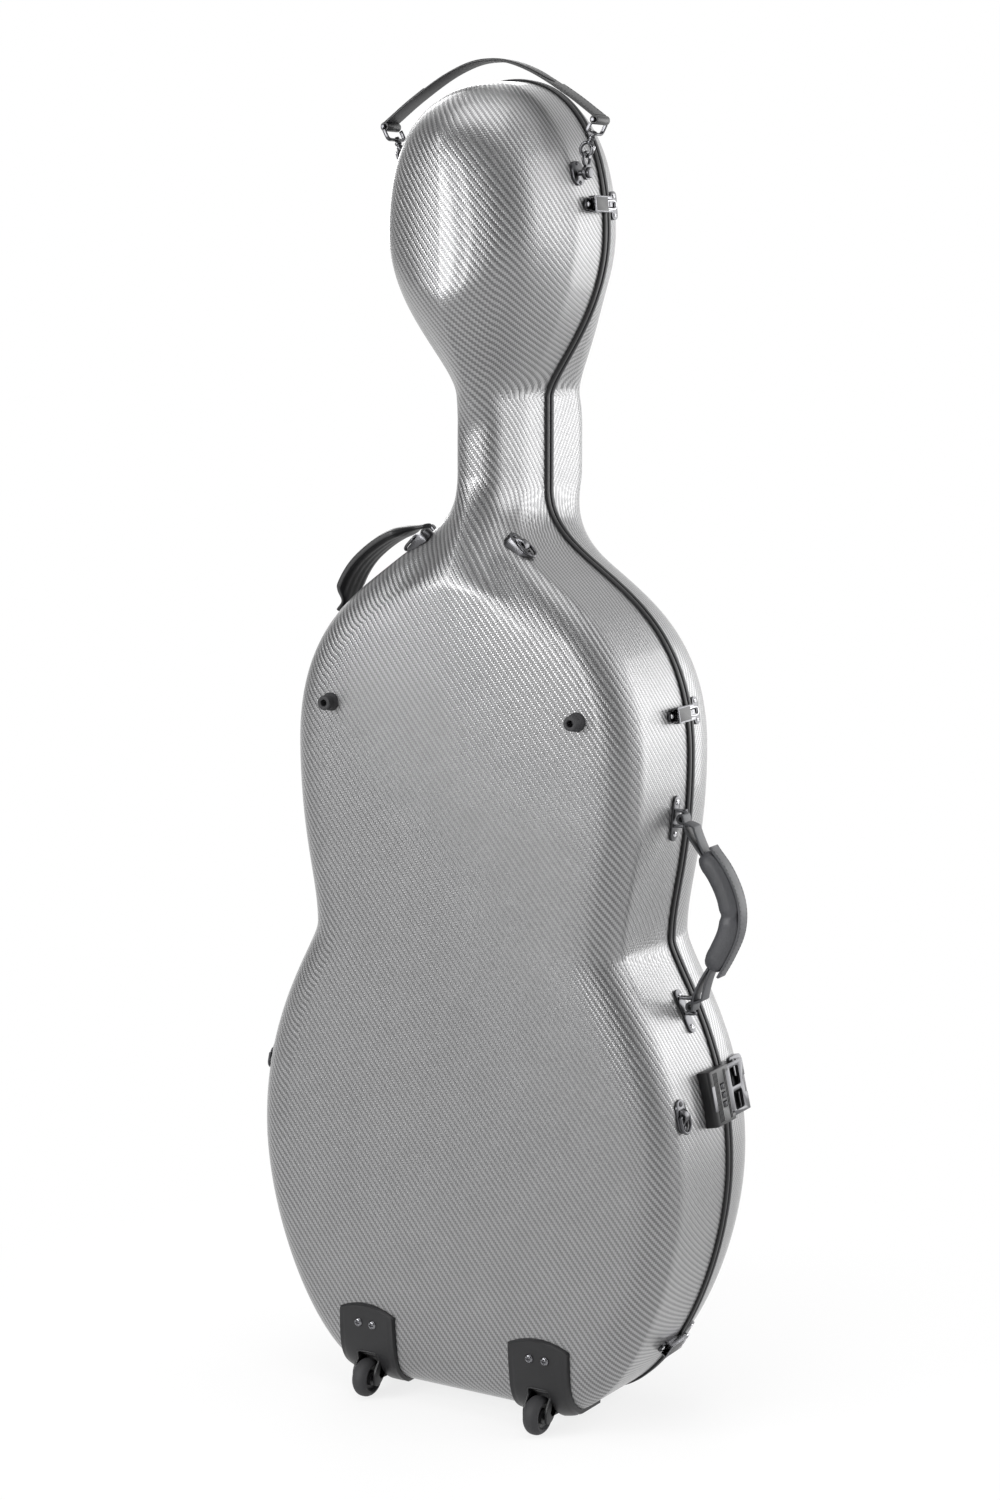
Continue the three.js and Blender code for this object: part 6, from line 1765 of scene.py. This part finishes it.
def strap_end(route, pin_z):
    """A handle's end: a loop round the pin whose two layers lie together on the way to the grip."""
    way = 1 if pin_z == 0 else -1
    turn = np.linspace(-0.62 * np.pi, 0.62 * np.pi, 26)
    radius = KNUCKLE_RADIUS - 0.9
    loop = np.stack([
        -0.98 * radius * np.cos(turn), 0 * turn, pin_z - way * radius * np.sin(turn)
    ], -1)
    out = frames(route, (0, 1, 0))[1]
    out = out * np.sign(out[-1, 0])
    reach = np.linspace(0, 1, len(route))[:, None]
    gap = 3.4 * (1 - smoothstep(reach, 0.1, 0.95)) + 1.5
    layers = [(route + out * gap)[14:], (route - out * gap)[14:]]
    layers.sort(key=lambda layer: np.linalg.norm(layer[0] - loop[-1]))
    whole = np.concatenate([layers[1][::-3], loop, layers[0][::3]])
    path = even_path(through(whole, 500), 150)
    return sweep(path, (0, 1, 0), strap_section(1.25, 8.0, 0.8, 0.2))


def build_brackets(name, low, high, y, mirror):
    """The handle's plates with their cheeks and pins, and a screw at each end of a plate."""
    for label, pin in (("upper", high), ("lower", low)):
        node = f"{name}_bracket_{label}"
        screws = wall_screws(mirror @ near_place(pin, y), 3.0, [(0, -16.5), (0, 16.5)], 2.0)
        eased_copy(f"{node}_plate", node, "gunmetal", 0.35, "case_back", screws)


class CASE_OT_side_handle(bpy.types.Operator):
    """Build the carrying handle, a stitched grip between strap ends, and its brackets"""

    bl_idname = "case.side_handle"
    bl_label = "Side handle"

    def execute(self, context):
        span = handle_span(HANDLE_LOW, HANDLE_HIGH)
        pitch = context.scene.case_leather.stitch / MM
        route = handle_route(span, HANDLE_BOW, SIDE_HANDLE_SHARES, 241)
        grip = route[52:-46]
        lining = even_path((route + ways_out(route) * 11.6)[50:-44], 100)
        parts = [
            (padded_grip(even_path(grip, 120), 12.0, 13.0, (0.47, 0.14, 0.035)), "leather"),
            (sweep(lining, (0, 1, 0), strap_section(1.3, 8.4, 0.9)), "leather"),
            (strap_end(route[:64], 0.0), "leather"),
            (strap_end(route[::-1][:58], span), "leather"),
        ]
        out = ways_out(lining)
        for y in (-6.8, 6.8):
            parts += stitches(lining + out * 1.35 + np.array([0, y, 0]), out, pitch)
        seam = even_path(grip, 100)
        inward = -ways_out(seam)[12:-12]
        parts += stitches(seam[12:-12] + inward * 10.6, inward, pitch * 0.8)
        place = handle_place(HANDLE_LOW, HANDLE_HIGH, HANDLE_Y)
        piece(
            "side_handle_leather", placed(parts, place), "side_handle_unit", "side_handle",
            60,
        )
        build_brackets("side_handle", HANDLE_LOW, HANDLE_HIGH, HANDLE_Y, np.eye(4))
        return {"FINISHED"}


class CASE_OT_shoulder_handle(bpy.types.Operator):
    """Build the wide handle, a fluted leather pad between two stitched edges, and its brackets"""

    bl_idname = "case.shoulder_handle"
    bl_label = "Shoulder handle"

    def execute(self, context):
        low, high, y = SHOULDER_HANDLE_LOW, SHOULDER_HANDLE_HIGH, SHOULDER_HANDLE_Y
        span = handle_span(low, high)
        pitch = context.scene.case_leather.stitch / MM
        route = handle_route(span, SHOULDER_HANDLE_BOW, SHOULDER_HANDLE_SHARES, 161)
        share = np.linspace(0, 1, len(route))
        full = smoothstep(np.minimum(share, 1 - share) * 2, 0.1, 0.42)
        turn = np.linspace(0, 2 * np.pi, 72, endpoint=False)
        thick = (2.4 + 2.6 * full)[:, None]
        wide = (8.0 + 15.6 * full)[:, None]
        out = np.sign(np.cos(turn)) * np.abs(np.cos(turn)) ** 0.6 * thick
        side = np.sign(np.sin(turn)) * np.abs(np.sin(turn)) ** 0.85 * wide
        flute = 0.55 * full[:, None] * np.abs(np.sin(side / 15.6 * np.pi * 1.5))
        out = out + flute * np.sign(np.cos(turn)) - 0.3
        parts = [(sweep(route, (0, 1, 0), np.stack([out, side], -1)), "strap")]
        normal = ways_out(route)
        inner = slice(24, -24)
        for edge in (-0.86, 0.86):
            row = route + normal * 2.3
            row[:, 1] += edge * wide[:, 0]
            parts += stitches(row[inner], normal[inner], pitch)
        for z in (0.0, span):
            sleeve = disc_pipe(2.5, KNUCKLE_RADIUS, -7.5, 7.5, "y", (0, 0, z), 40, 0.6)
            parts.append((sleeve, "strap"))
        place = MIRROR @ handle_place(low, high, y)
        piece(
            "shoulder_handle_pad", placed(parts, place), "shoulder_handle_unit",
            "shoulder_handle", 60,
        )
        build_brackets("shoulder_handle", low, high, y, MIRROR)
        return {"FINISHED"}


# Strap lugs, rings and the strap over the head


def lug_ring():
    """The D-shaped wire ring of a strap lug: a bar in the lug, two legs and a half circle."""
    bore = LUG_SHEET + RING_WIRE + 2 * SEAT_GAP
    turn = np.linspace(0, np.pi, 25)
    drop = RING_LENGTH - RING_HALF
    bend = np.stack([
        0 * turn + bore, RING_HALF * np.cos(turn), -drop - RING_HALF * np.sin(turn)
    ], -1)
    share = np.linspace(0, 1, 6)[:, None]
    near, far = np.array([bore, RING_HALF, 0]), np.array([bore, -RING_HALF, 0])
    down = near * (1 - share) + bend[0] * share
    up = bend[-1] * (1 - share) + far * share
    bar = far * (1 - share) + near * share
    path = even_path(np.concatenate([bar[3:], down[1:], bend[1:-1], up, bar[:3]]), 97)[:-1]
    along = np.roll(path, -1, 0) - np.roll(path, 1, 0)
    along /= np.linalg.norm(along, axis=1, keepdims=True)
    out = np.array([1.0, 0, 0]) - along * along[:, :1]
    out /= np.linalg.norm(out, axis=1, keepdims=True)
    side = np.cross(along, out)
    wire = circle(RING_WIRE, 16)
    return tube(path[:, None] + out[:, None] * wire[:, :1] + side[:, None] * wire[:, 1:], True)


class CASE_OT_strap_gear(bpy.types.Operator):
    """Build the strap lugs and the rings that hang from them"""

    bl_idname = "case.strap_gear"
    bl_label = "Strap gear"

    def execute(self, context):
        ring = [(lug_ring(), "gunmetal")]
        for label, (y, z) in LUGS.items():
            for side_name, side in SIDES.items():
                place = mirrored(side) @ wall_place(z, y)
                node = f"strap_lug_{label}_{side_name}"
                screws = wall_screws(place, 2.7, [(0, -12.4), (0, 12.4)], LUG_SHEET, "gunmetal")
                eased_copy(
                    f"{node}_plate", node, "gunmetal", 0.4, "case_back", screws
                )
                node = f"strap_ring_{label}_{side_name}"
                piece(
                    f"{node}_wire", placed(ring, place), f"{node}_unit", node, 40
                )
        return {"FINISHED"}


def torus(radius, wire, at, facing):
    """A round wire bent round a full circle that faces an axis."""
    turn = np.linspace(0, 2 * np.pi, 48, endpoint=False)[:, None]
    cross = circle(wire, 14)
    reach = radius + cross[:, 0]
    rings = np.stack([
        reach * np.cos(turn), reach * np.sin(turn), cross[:, 1] + 0 * turn
    ], -1)
    return moved(moved(tube(rings, True), ALONG[facing]), shifted(*at))


def snap_hook():
    """A swivel hook along z: a claw with a sprung gate, a stepped swivel and the strap's frame."""
    gate = [(0, -6.2), (1.2, -6.2), (1.4, -5.4), (1.4, 5.0), (1.0, 6.0), (0, 6.2)]
    neck = [
        (0, 5.2), (3.1, 5.2), (3.5, 6.4), (3.5, 8.6), (2.5, 9.4), (2.5, 10.6), (3.5, 11.4),
        (3.5, 13.4), (2.3, 14.2), (2.3, 16.0), (3.4, 16.8), (3.4, 18.4), (2.0, 19.2), (0, 19.4),
    ]
    half, foot = 15.5, 16.4
    yoke = [(-half, HOOK_BAR), (-half, foot), (half, foot), (half, HOOK_BAR)]
    yoke = rounded_path(yoke, 4, 6)[6:-6]
    path = even_path(np.stack([0 * yoke[:, 0], yoke[:, 0], yoke[:, 1]], -1), 50)
    return [
        (torus(HOOK_EYE, 1.8, (0, 0, 0), "y"), "gunmetal"),
        (moved(lathe(gate, sides=20), shifted(HOOK_EYE, 0, 0.4)), "bright"),
        (lathe(neck, sides=32), "gunmetal"),
        (rod(1.9, -half, half, "y", (0, 0, HOOK_BAR), 24), "gunmetal"),
        (sweep(path, (1, 0, 0), strap_section(1.1, 1.9, 0.7)), "gunmetal"),
    ]


def head_link():
    """A flat eye that turns on the stud, with a round loop above it for the hook."""
    stud = (0, STUD_Y, STUD_Z)
    neck = rectangle(3.4, 5.0, 1.2, (LINK_X, STUD_Y))
    parts = [
        disc_pipe(3.3, 7.0, LINK_X - LINK_HALF, LINK_X + LINK_HALF, "x", stud, 48, 0.6),
        slab(neck, STUD_Z + 5.4, STUD_Z + 7.8, 0.2),
        torus(LOOP_RADIUS, LOOP_WIRE, LOOP_CENTRE, "x"),
    ]
    return [(part, "gunmetal") for part in parts]


class CASE_OT_head_gear(bpy.types.Operator):
    """Build the lugs at the head, their links and hooks, and the strap over the head"""

    bl_idname = "case.head_gear"
    bl_label = "Head gear"

    def execute(self, context):
        lean = place_of(
            (math.cos(HOOK_LEAN), 0, -math.sin(HOOK_LEAN)), (0, 1, 0),
            (math.sin(HOOK_LEAN), 0, math.cos(HOOK_LEAN)), HOOK_CENTRE,
        )
        cap = [(0, -0.2), (4.6, -0.2), (5.2, 0.4), (4.4, 1.0), (2.4, 1.25), (0, 1.3)]
        head = [(lathe(cap, "x", (STUD_END - 0.4, STUD_Y, STUD_Z)), "gunmetal")]
        for label, side in SIDES.items():
            mirror = mirrored(side)
            place = mirror @ wall_place(STUD_Z, STUD_Y)
            screws = wall_screws(place, 2.2, [(0, -9.6), (0, 9.6)], LUG_SHEET, "gunmetal")
            eased_copy(
                f"head_lug_{label}_plate", f"head_lug_{label}", "gunmetal", 0.3, "case_back",
                placed(head, mirror) + screws,
            )
            piece(
                f"head_link_{label}_eye", placed(head_link(), mirror), "head_strap_set",
                f"head_link_{label}", 40,
            )
            piece(
                f"snap_hook_{label}_metal", placed(snap_hook(), mirror @ lean),
                "head_strap_set", f"snap_hook_{label}", 40,
            )
        build_head_strap(context.scene.case_leather.stitch / MM)
        return {"FINISHED"}


def build_head_strap(pitch):
    """A doubled leather strap with a padded middle, its ends looped through the hooks."""
    bar = HOOK_CENTRE + np.array([math.sin(HOOK_LEAN), 0, math.cos(HOOK_LEAN)]) * HOOK_BAR
    start = bar + np.array([-SEAT_GAP, 0, 3.4])
    half = [start, (88, STUD_Y, 1332), (48, STUD_Y, 1355), (20, STUD_Y, 1365)]
    route = half + [(0, STUD_Y, 1367)] + [(-x, y, z) for x, y, z in half[::-1]]
    path = even_path(through(route, 500), 160)
    out = ways_out(path, 2)
    middle = slice(36, -36)
    full = np.sqrt(np.clip(1 - np.linspace(-1, 1, len(path[middle])) ** 8, 0.02, 1))
    pad = strap_section(0.75, 8.6, 0.6, 0.55) * full[:, None, None]
    layers = [
        (slice(None), 0, strap_section(0.9, 12.2, 0.7)),
        (middle, 1.3, pad),
        (slice(0, 34), 1.25, strap_section(0.7, 11.4, 0.5)),
        (slice(-34, None), 1.25, strap_section(0.7, 11.4, 0.5)),
    ]
    parts = [
        (sweep(path[run] + out[run] * rise, (0, 1, 0), section), "strap")
        for run, rise, section in layers
    ]
    for run, rise, y in (
        (slice(38, -38), 0.95, 10.6), (slice(2, 32), 2.0, 9.6), (slice(-32, -2), 2.0, 9.6)
    ):
        for side in (-1, 1):
            row = path[run] + out[run] * rise + np.array([0, side * y, 0])
            parts += stitches(row, out[run], pitch)
    for side in (1, -1):
        at = (side * bar[0], STUD_Y, bar[2])
        parts.append((disc_pipe(2.3, 4.6, -12.2, 12.2, "y", at, 40, 0.5), "strap"))
    piece(
        "head_strap_leather", parts, "head_strap_set", "head_strap", 60
    )


# Inside


def coordinates(vertices, field):
    """Places or normals of a mesh's vertices, one row for each."""
    values = np.empty(3 * len(vertices))
    vertices.foreach_get(field, values)
    return values.reshape(-1, 3)


def set_places(mesh, places):
    mesh.vertices.foreach_set("co", places.reshape(-1))
    mesh.update()


def swollen(node, name, finish, shrink, pressure, cap):
    """A stuffed pad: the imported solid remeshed, swollen as cloth with capped travel, and smoothed.
"""
    obj = link(name, node_mesh(node), [finish])
    with editing(obj.data) as work:
        weld(work)
    remesh = obj.modifiers.new("voxels", "REMESH")
    remesh.mode = "VOXEL"
    remesh.voxel_size = 0.005
    bake_modifiers(obj)
    rest = coordinates(obj.data.vertices, "co")
    start = rest - coordinates(obj.data.vertices, "normal") * shrink * MM
    set_places(obj.data, start)
    cloth = obj.modifiers.new("cloth", "CLOTH")
    cloth.settings.use_pressure = True
    cloth.settings.uniform_pressure_force = pressure
    cloth.settings.effector_weights.gravity = 0
    cloth.settings.quality = 5
    cloth.point_cache.frame_start = 1
    cloth.point_cache.frame_end = PAD_FRAMES
    scene = bpy.context.scene
    for number in range(1, PAD_FRAMES + 1):
        scene.frame_set(number)
    swelled = obj.evaluated_get(bpy.context.evaluated_depsgraph_get())
    step = coordinates(swelled.data.vertices, "co") - start
    scene.frame_set(1)
    obj.modifiers.clear()
    length = np.linalg.norm(step, axis=1, keepdims=True)
    step *= np.minimum(1, cap * MM / np.maximum(length, 1e-9))
    set_places(obj.data, np.clip(start + step, rest.min(0), rest.max(0)))
    finer = obj.modifiers.new("finer", "SUBSURF")
    finer.levels = finer.render_levels = 1
    bake_modifiers(obj)
    tidy_mesh(obj.data, 70)
    return obj


class CASE_OT_padding(bpy.types.Operator):
    """Build the stuffed neck cradle and body cushion"""

    bl_idname = "case.padding"
    bl_label = "Padding"

    def execute(self, context):
        for node in ("neck_cradle", "body_cushion"):
            obj = swollen(node, f"{node}_pad", "velour", 1.5, 3.0, 3.0)
            settle(obj, "case_back", node)
        return {"FINISHED"}


class CASE_OT_bow_holders(bpy.types.Operator):
    """Build the bow's tip holder and the spinner that locks it"""

    bl_idname = "case.bow_holders"
    bl_label = "Bow holders"

    def execute(self, context):
        eased_copy(
            "bow_tip_holder_block", "bow_tip_holder", "velour", 0.8, "case_lid"
        )
        eased_copy(
            "bow_spinner_bar", "bow_spinner", "moulded", 0.8, "bow_spinner_unit"
        )
        return {"FINISHED"}


# Stage


class CASE_OT_camera(bpy.types.Operator):
    """Place the camera at the photograph's view"""

    bl_idname = "case.camera"
    bl_label = "Camera"

    def execute(self, context):
        scene = context.scene
        stage = scene.case_stage
        data = bpy.data.cameras.new("camera")
        data.lens = stage.lens
        data.sensor_width = 36.0
        data.clip_end = 50.0
        a, e = stage.camera_azimuth, stage.camera_pitch
        look = np.array([-math.sin(a) * math.cos(e), math.cos(a) * math.cos(e), -math.sin(e)])
        right = np.array([math.cos(a), math.sin(a), 0.0])
        at = np.array(stage.camera_place) + ORIGIN
        scene.camera = put("camera", data, place_of(right, np.cross(right, look), -look, at))
        return {"FINISHED"}


def put(name, data, place=None):
    """An object in the scene that holds the data, at a 4 x 4 place."""
    obj = bpy.data.objects.new(name, data)
    bpy.context.scene.collection.objects.link(obj)
    if place is not None:
        obj.matrix_world = Matrix(place.tolist())
    return obj


def build_world(scene):
    """White to the camera and to reflections of the far side, softer grey to the rest."""
    world = bpy.data.worlds.new("studio")
    scene.world = world
    world.use_nodes = True
    net = Net(world.node_tree)
    background = net.first("BACKGROUND")
    rays = net.node("ShaderNodeLightPath").outputs
    split = net.node("ShaderNodeSeparateXYZ")
    net.feed(split.inputs[0], net.node("ShaderNodeTexCoord").outputs["Generated"])
    ahead = net.math("MULTIPLY", split.outputs[1], 0.9)
    behind = net.math("ADD", ahead, net.math("MULTIPLY", split.outputs[0], 0.35))
    share = net.math("ADD", net.math("MULTIPLY", behind, 0.9), 0.45, clamp=True)
    mirror_level = net.blend_value(share, 0.13, 1.0)
    level = net.blend_value(rays["Is Glossy Ray"], 0.38, mirror_level)
    seen = net.math("MAXIMUM", rays["Is Camera Ray"], rays["Is Transmission Ray"])
    net.feed(background.inputs["Strength"], net.blend_value(seen, level, 1.0))
    background.inputs["Color"].default_value = (1, 1, 1, 1)


def build_floor():
    """A wide pale disc that fades from white paper under the case to the backdrop's white."""
    sides = 96
    turn = np.linspace(0, 2 * np.pi, sides, endpoint=False)
    radius = np.array([0.01, 0.6, 1.2, 2.4, 5.0, 12.0])[:, None]
    level = 0 * radius * turn - 0.0006
    points = np.stack([radius * np.cos(turn), radius * np.sin(turn), level], -1)
    faces = quads(len(radius), sides)[:, ::-1].tolist() + [list(range(sides))]
    mesh = bpy.data.meshes.new("floor")
    mesh.from_pydata(points.reshape(-1, 3), [], faces)
    made, net, shader, place = new_finish("paper_floor", 0.75)
    distance = net.node("ShaderNodeVectorMath", operation="LENGTH")
    net.feed(distance.inputs[0], place)
    far = net.math("SUBTRACT", distance.outputs["Value"], 0.2)
    far = net.math("DIVIDE", far, 0.55, clamp=True)
    far = net.math("ADD", 0.8, net.math("MULTIPLY", far, 0.2))
    shader.inputs["Base Color"].default_value = (0.86, 0.86, 0.86, 1)
    shader.inputs["Specular IOR Level"].default_value = 0.1
    net.feed(shader.inputs["Normal"], net.bump(net.noise(place, 900.0, 2.0), 0.0001, 0.2))
    glow = net.node("ShaderNodeEmission")
    glow.inputs["Strength"].default_value = 1.0
    blend = net.node("ShaderNodeMixShader")
    rays = net.node("ShaderNodeLightPath").outputs
    seen = net.math("MAXIMUM", rays["Is Glossy Ray"], rays["Is Transmission Ray"])
    seen = net.math("MAXIMUM", rays["Is Camera Ray"], seen)
    net.feed(blend.inputs[0], net.math("MULTIPLY", far, seen))
    net.feed(blend.inputs[1], shader.outputs[0])
    net.feed(blend.inputs[2], glow.outputs[0])
    net.feed(net.first("OUTPUT_MATERIAL").inputs["Surface"], blend.outputs[0])
    mesh.materials.append(made)
    put("floor", mesh)


# Each lamp's name, place, target, width and height in metres, and power in watts
LAMPS = (
    ("key", (-1.95, -2.5, 2.25), (0, 0, 0.7), (0.9, 1.7), 48),
    ("low", (-1.2, -2.8, 1.35), (0, 0, 0.9), (0.8, 0.6), 30),
    ("strip", (-0.2, -3.0, 1.15), (0, 0, 0.85), (0.3, 1.4), 16),
    ("side", (3.2, 0.9, 1.8), (0, 0, 0.7), (1.6, 2.6), 50),
    ("rear", (1.7, 2.7, 0.95), (0, 0, 0.7), (2.0, 2.2), 50),
    ("far", (-2.2, 2.6, 2.2), (0, 0, 0.7), (1.6, 2.2), 40),
    ("top", (0.2, -0.3, 3.6), (0, 0, 0.7), (2.2, 2.2), 42),
)


def build_lamps(strength):
    for name, at, target, size, power in LAMPS:
        data = bpy.data.lights.new(name, "AREA")
        data.shape = "RECTANGLE"
        data.size, data.size_y = size
        data.energy = power * strength
        back = np.subtract(at, target)
        back /= np.linalg.norm(back)
        right = np.cross((0, 0, 1), back)
        right /= np.linalg.norm(right)
        put(name, data, place_of(right, np.cross(back, right), back, at))


class CASE_OT_stage(bpy.types.Operator):
    """Build the floor, the lamps and the world"""

    bl_idname = "case.stage"
    bl_label = "Stage"

    def execute(self, context):
        scene = context.scene
        scene.view_settings.view_transform = "Standard"
        build_world(scene)
        build_floor()
        build_lamps(scene.case_stage.lamp)
        return {"FINISHED"}


class CASE_PT_looks(bpy.types.Panel):
    """Lists the builders of the case and their settings"""

    bl_label = "Cello case looks"
    bl_space_type = "VIEW_3D"
    bl_region_type = "UI"
    bl_category = "Case"

    def draw(self, context):
        for kind in OPERATORS:
            self.layout.operator(kind.bl_idname)
        for name in SETTINGS:
            group = getattr(context.scene, name)
            for setting in type(group).__annotations__:
                self.layout.prop(group, setting)


SETTINGS = {
    "case_cloth": ClothSettings,
    "case_fittings": FittingSettings,
    "case_leather": LeatherSettings,
    "case_stage": StageSettings,
}
OPERATORS = (
    CASE_OT_camera,
    CASE_OT_finishes,
    CASE_OT_shells,
    CASE_OT_trims,
    CASE_OT_linings,
    CASE_OT_padding,
    CASE_OT_bow_holders,
    CASE_OT_rolling_gear,
    CASE_OT_feet,
    CASE_OT_hinges,
    CASE_OT_latches,
    CASE_OT_lock,
    CASE_OT_side_handle,
    CASE_OT_shoulder_handle,
    CASE_OT_strap_gear,
    CASE_OT_head_gear,
    CASE_OT_stage,
)


def register():
    for name, kind in SETTINGS.items():
        bpy.utils.register_class(kind)
        setattr(bpy.types.Scene, name, bpy.props.PointerProperty(type=kind))
    for kind in (*OPERATORS, CASE_PT_looks):
        bpy.utils.register_class(kind)


def unregister():
    for kind in (CASE_PT_looks, *reversed(OPERATORS)):
        bpy.utils.unregister_class(kind)
    for name, kind in SETTINGS.items():
        delattr(bpy.types.Scene, name)
        bpy.utils.unregister_class(kind)


def main():
    register()
    for kind in OPERATORS:
        group, name = kind.bl_idname.split(".")
        getattr(getattr(bpy.ops, group), name)()


if __name__ == "__main__":
    main()
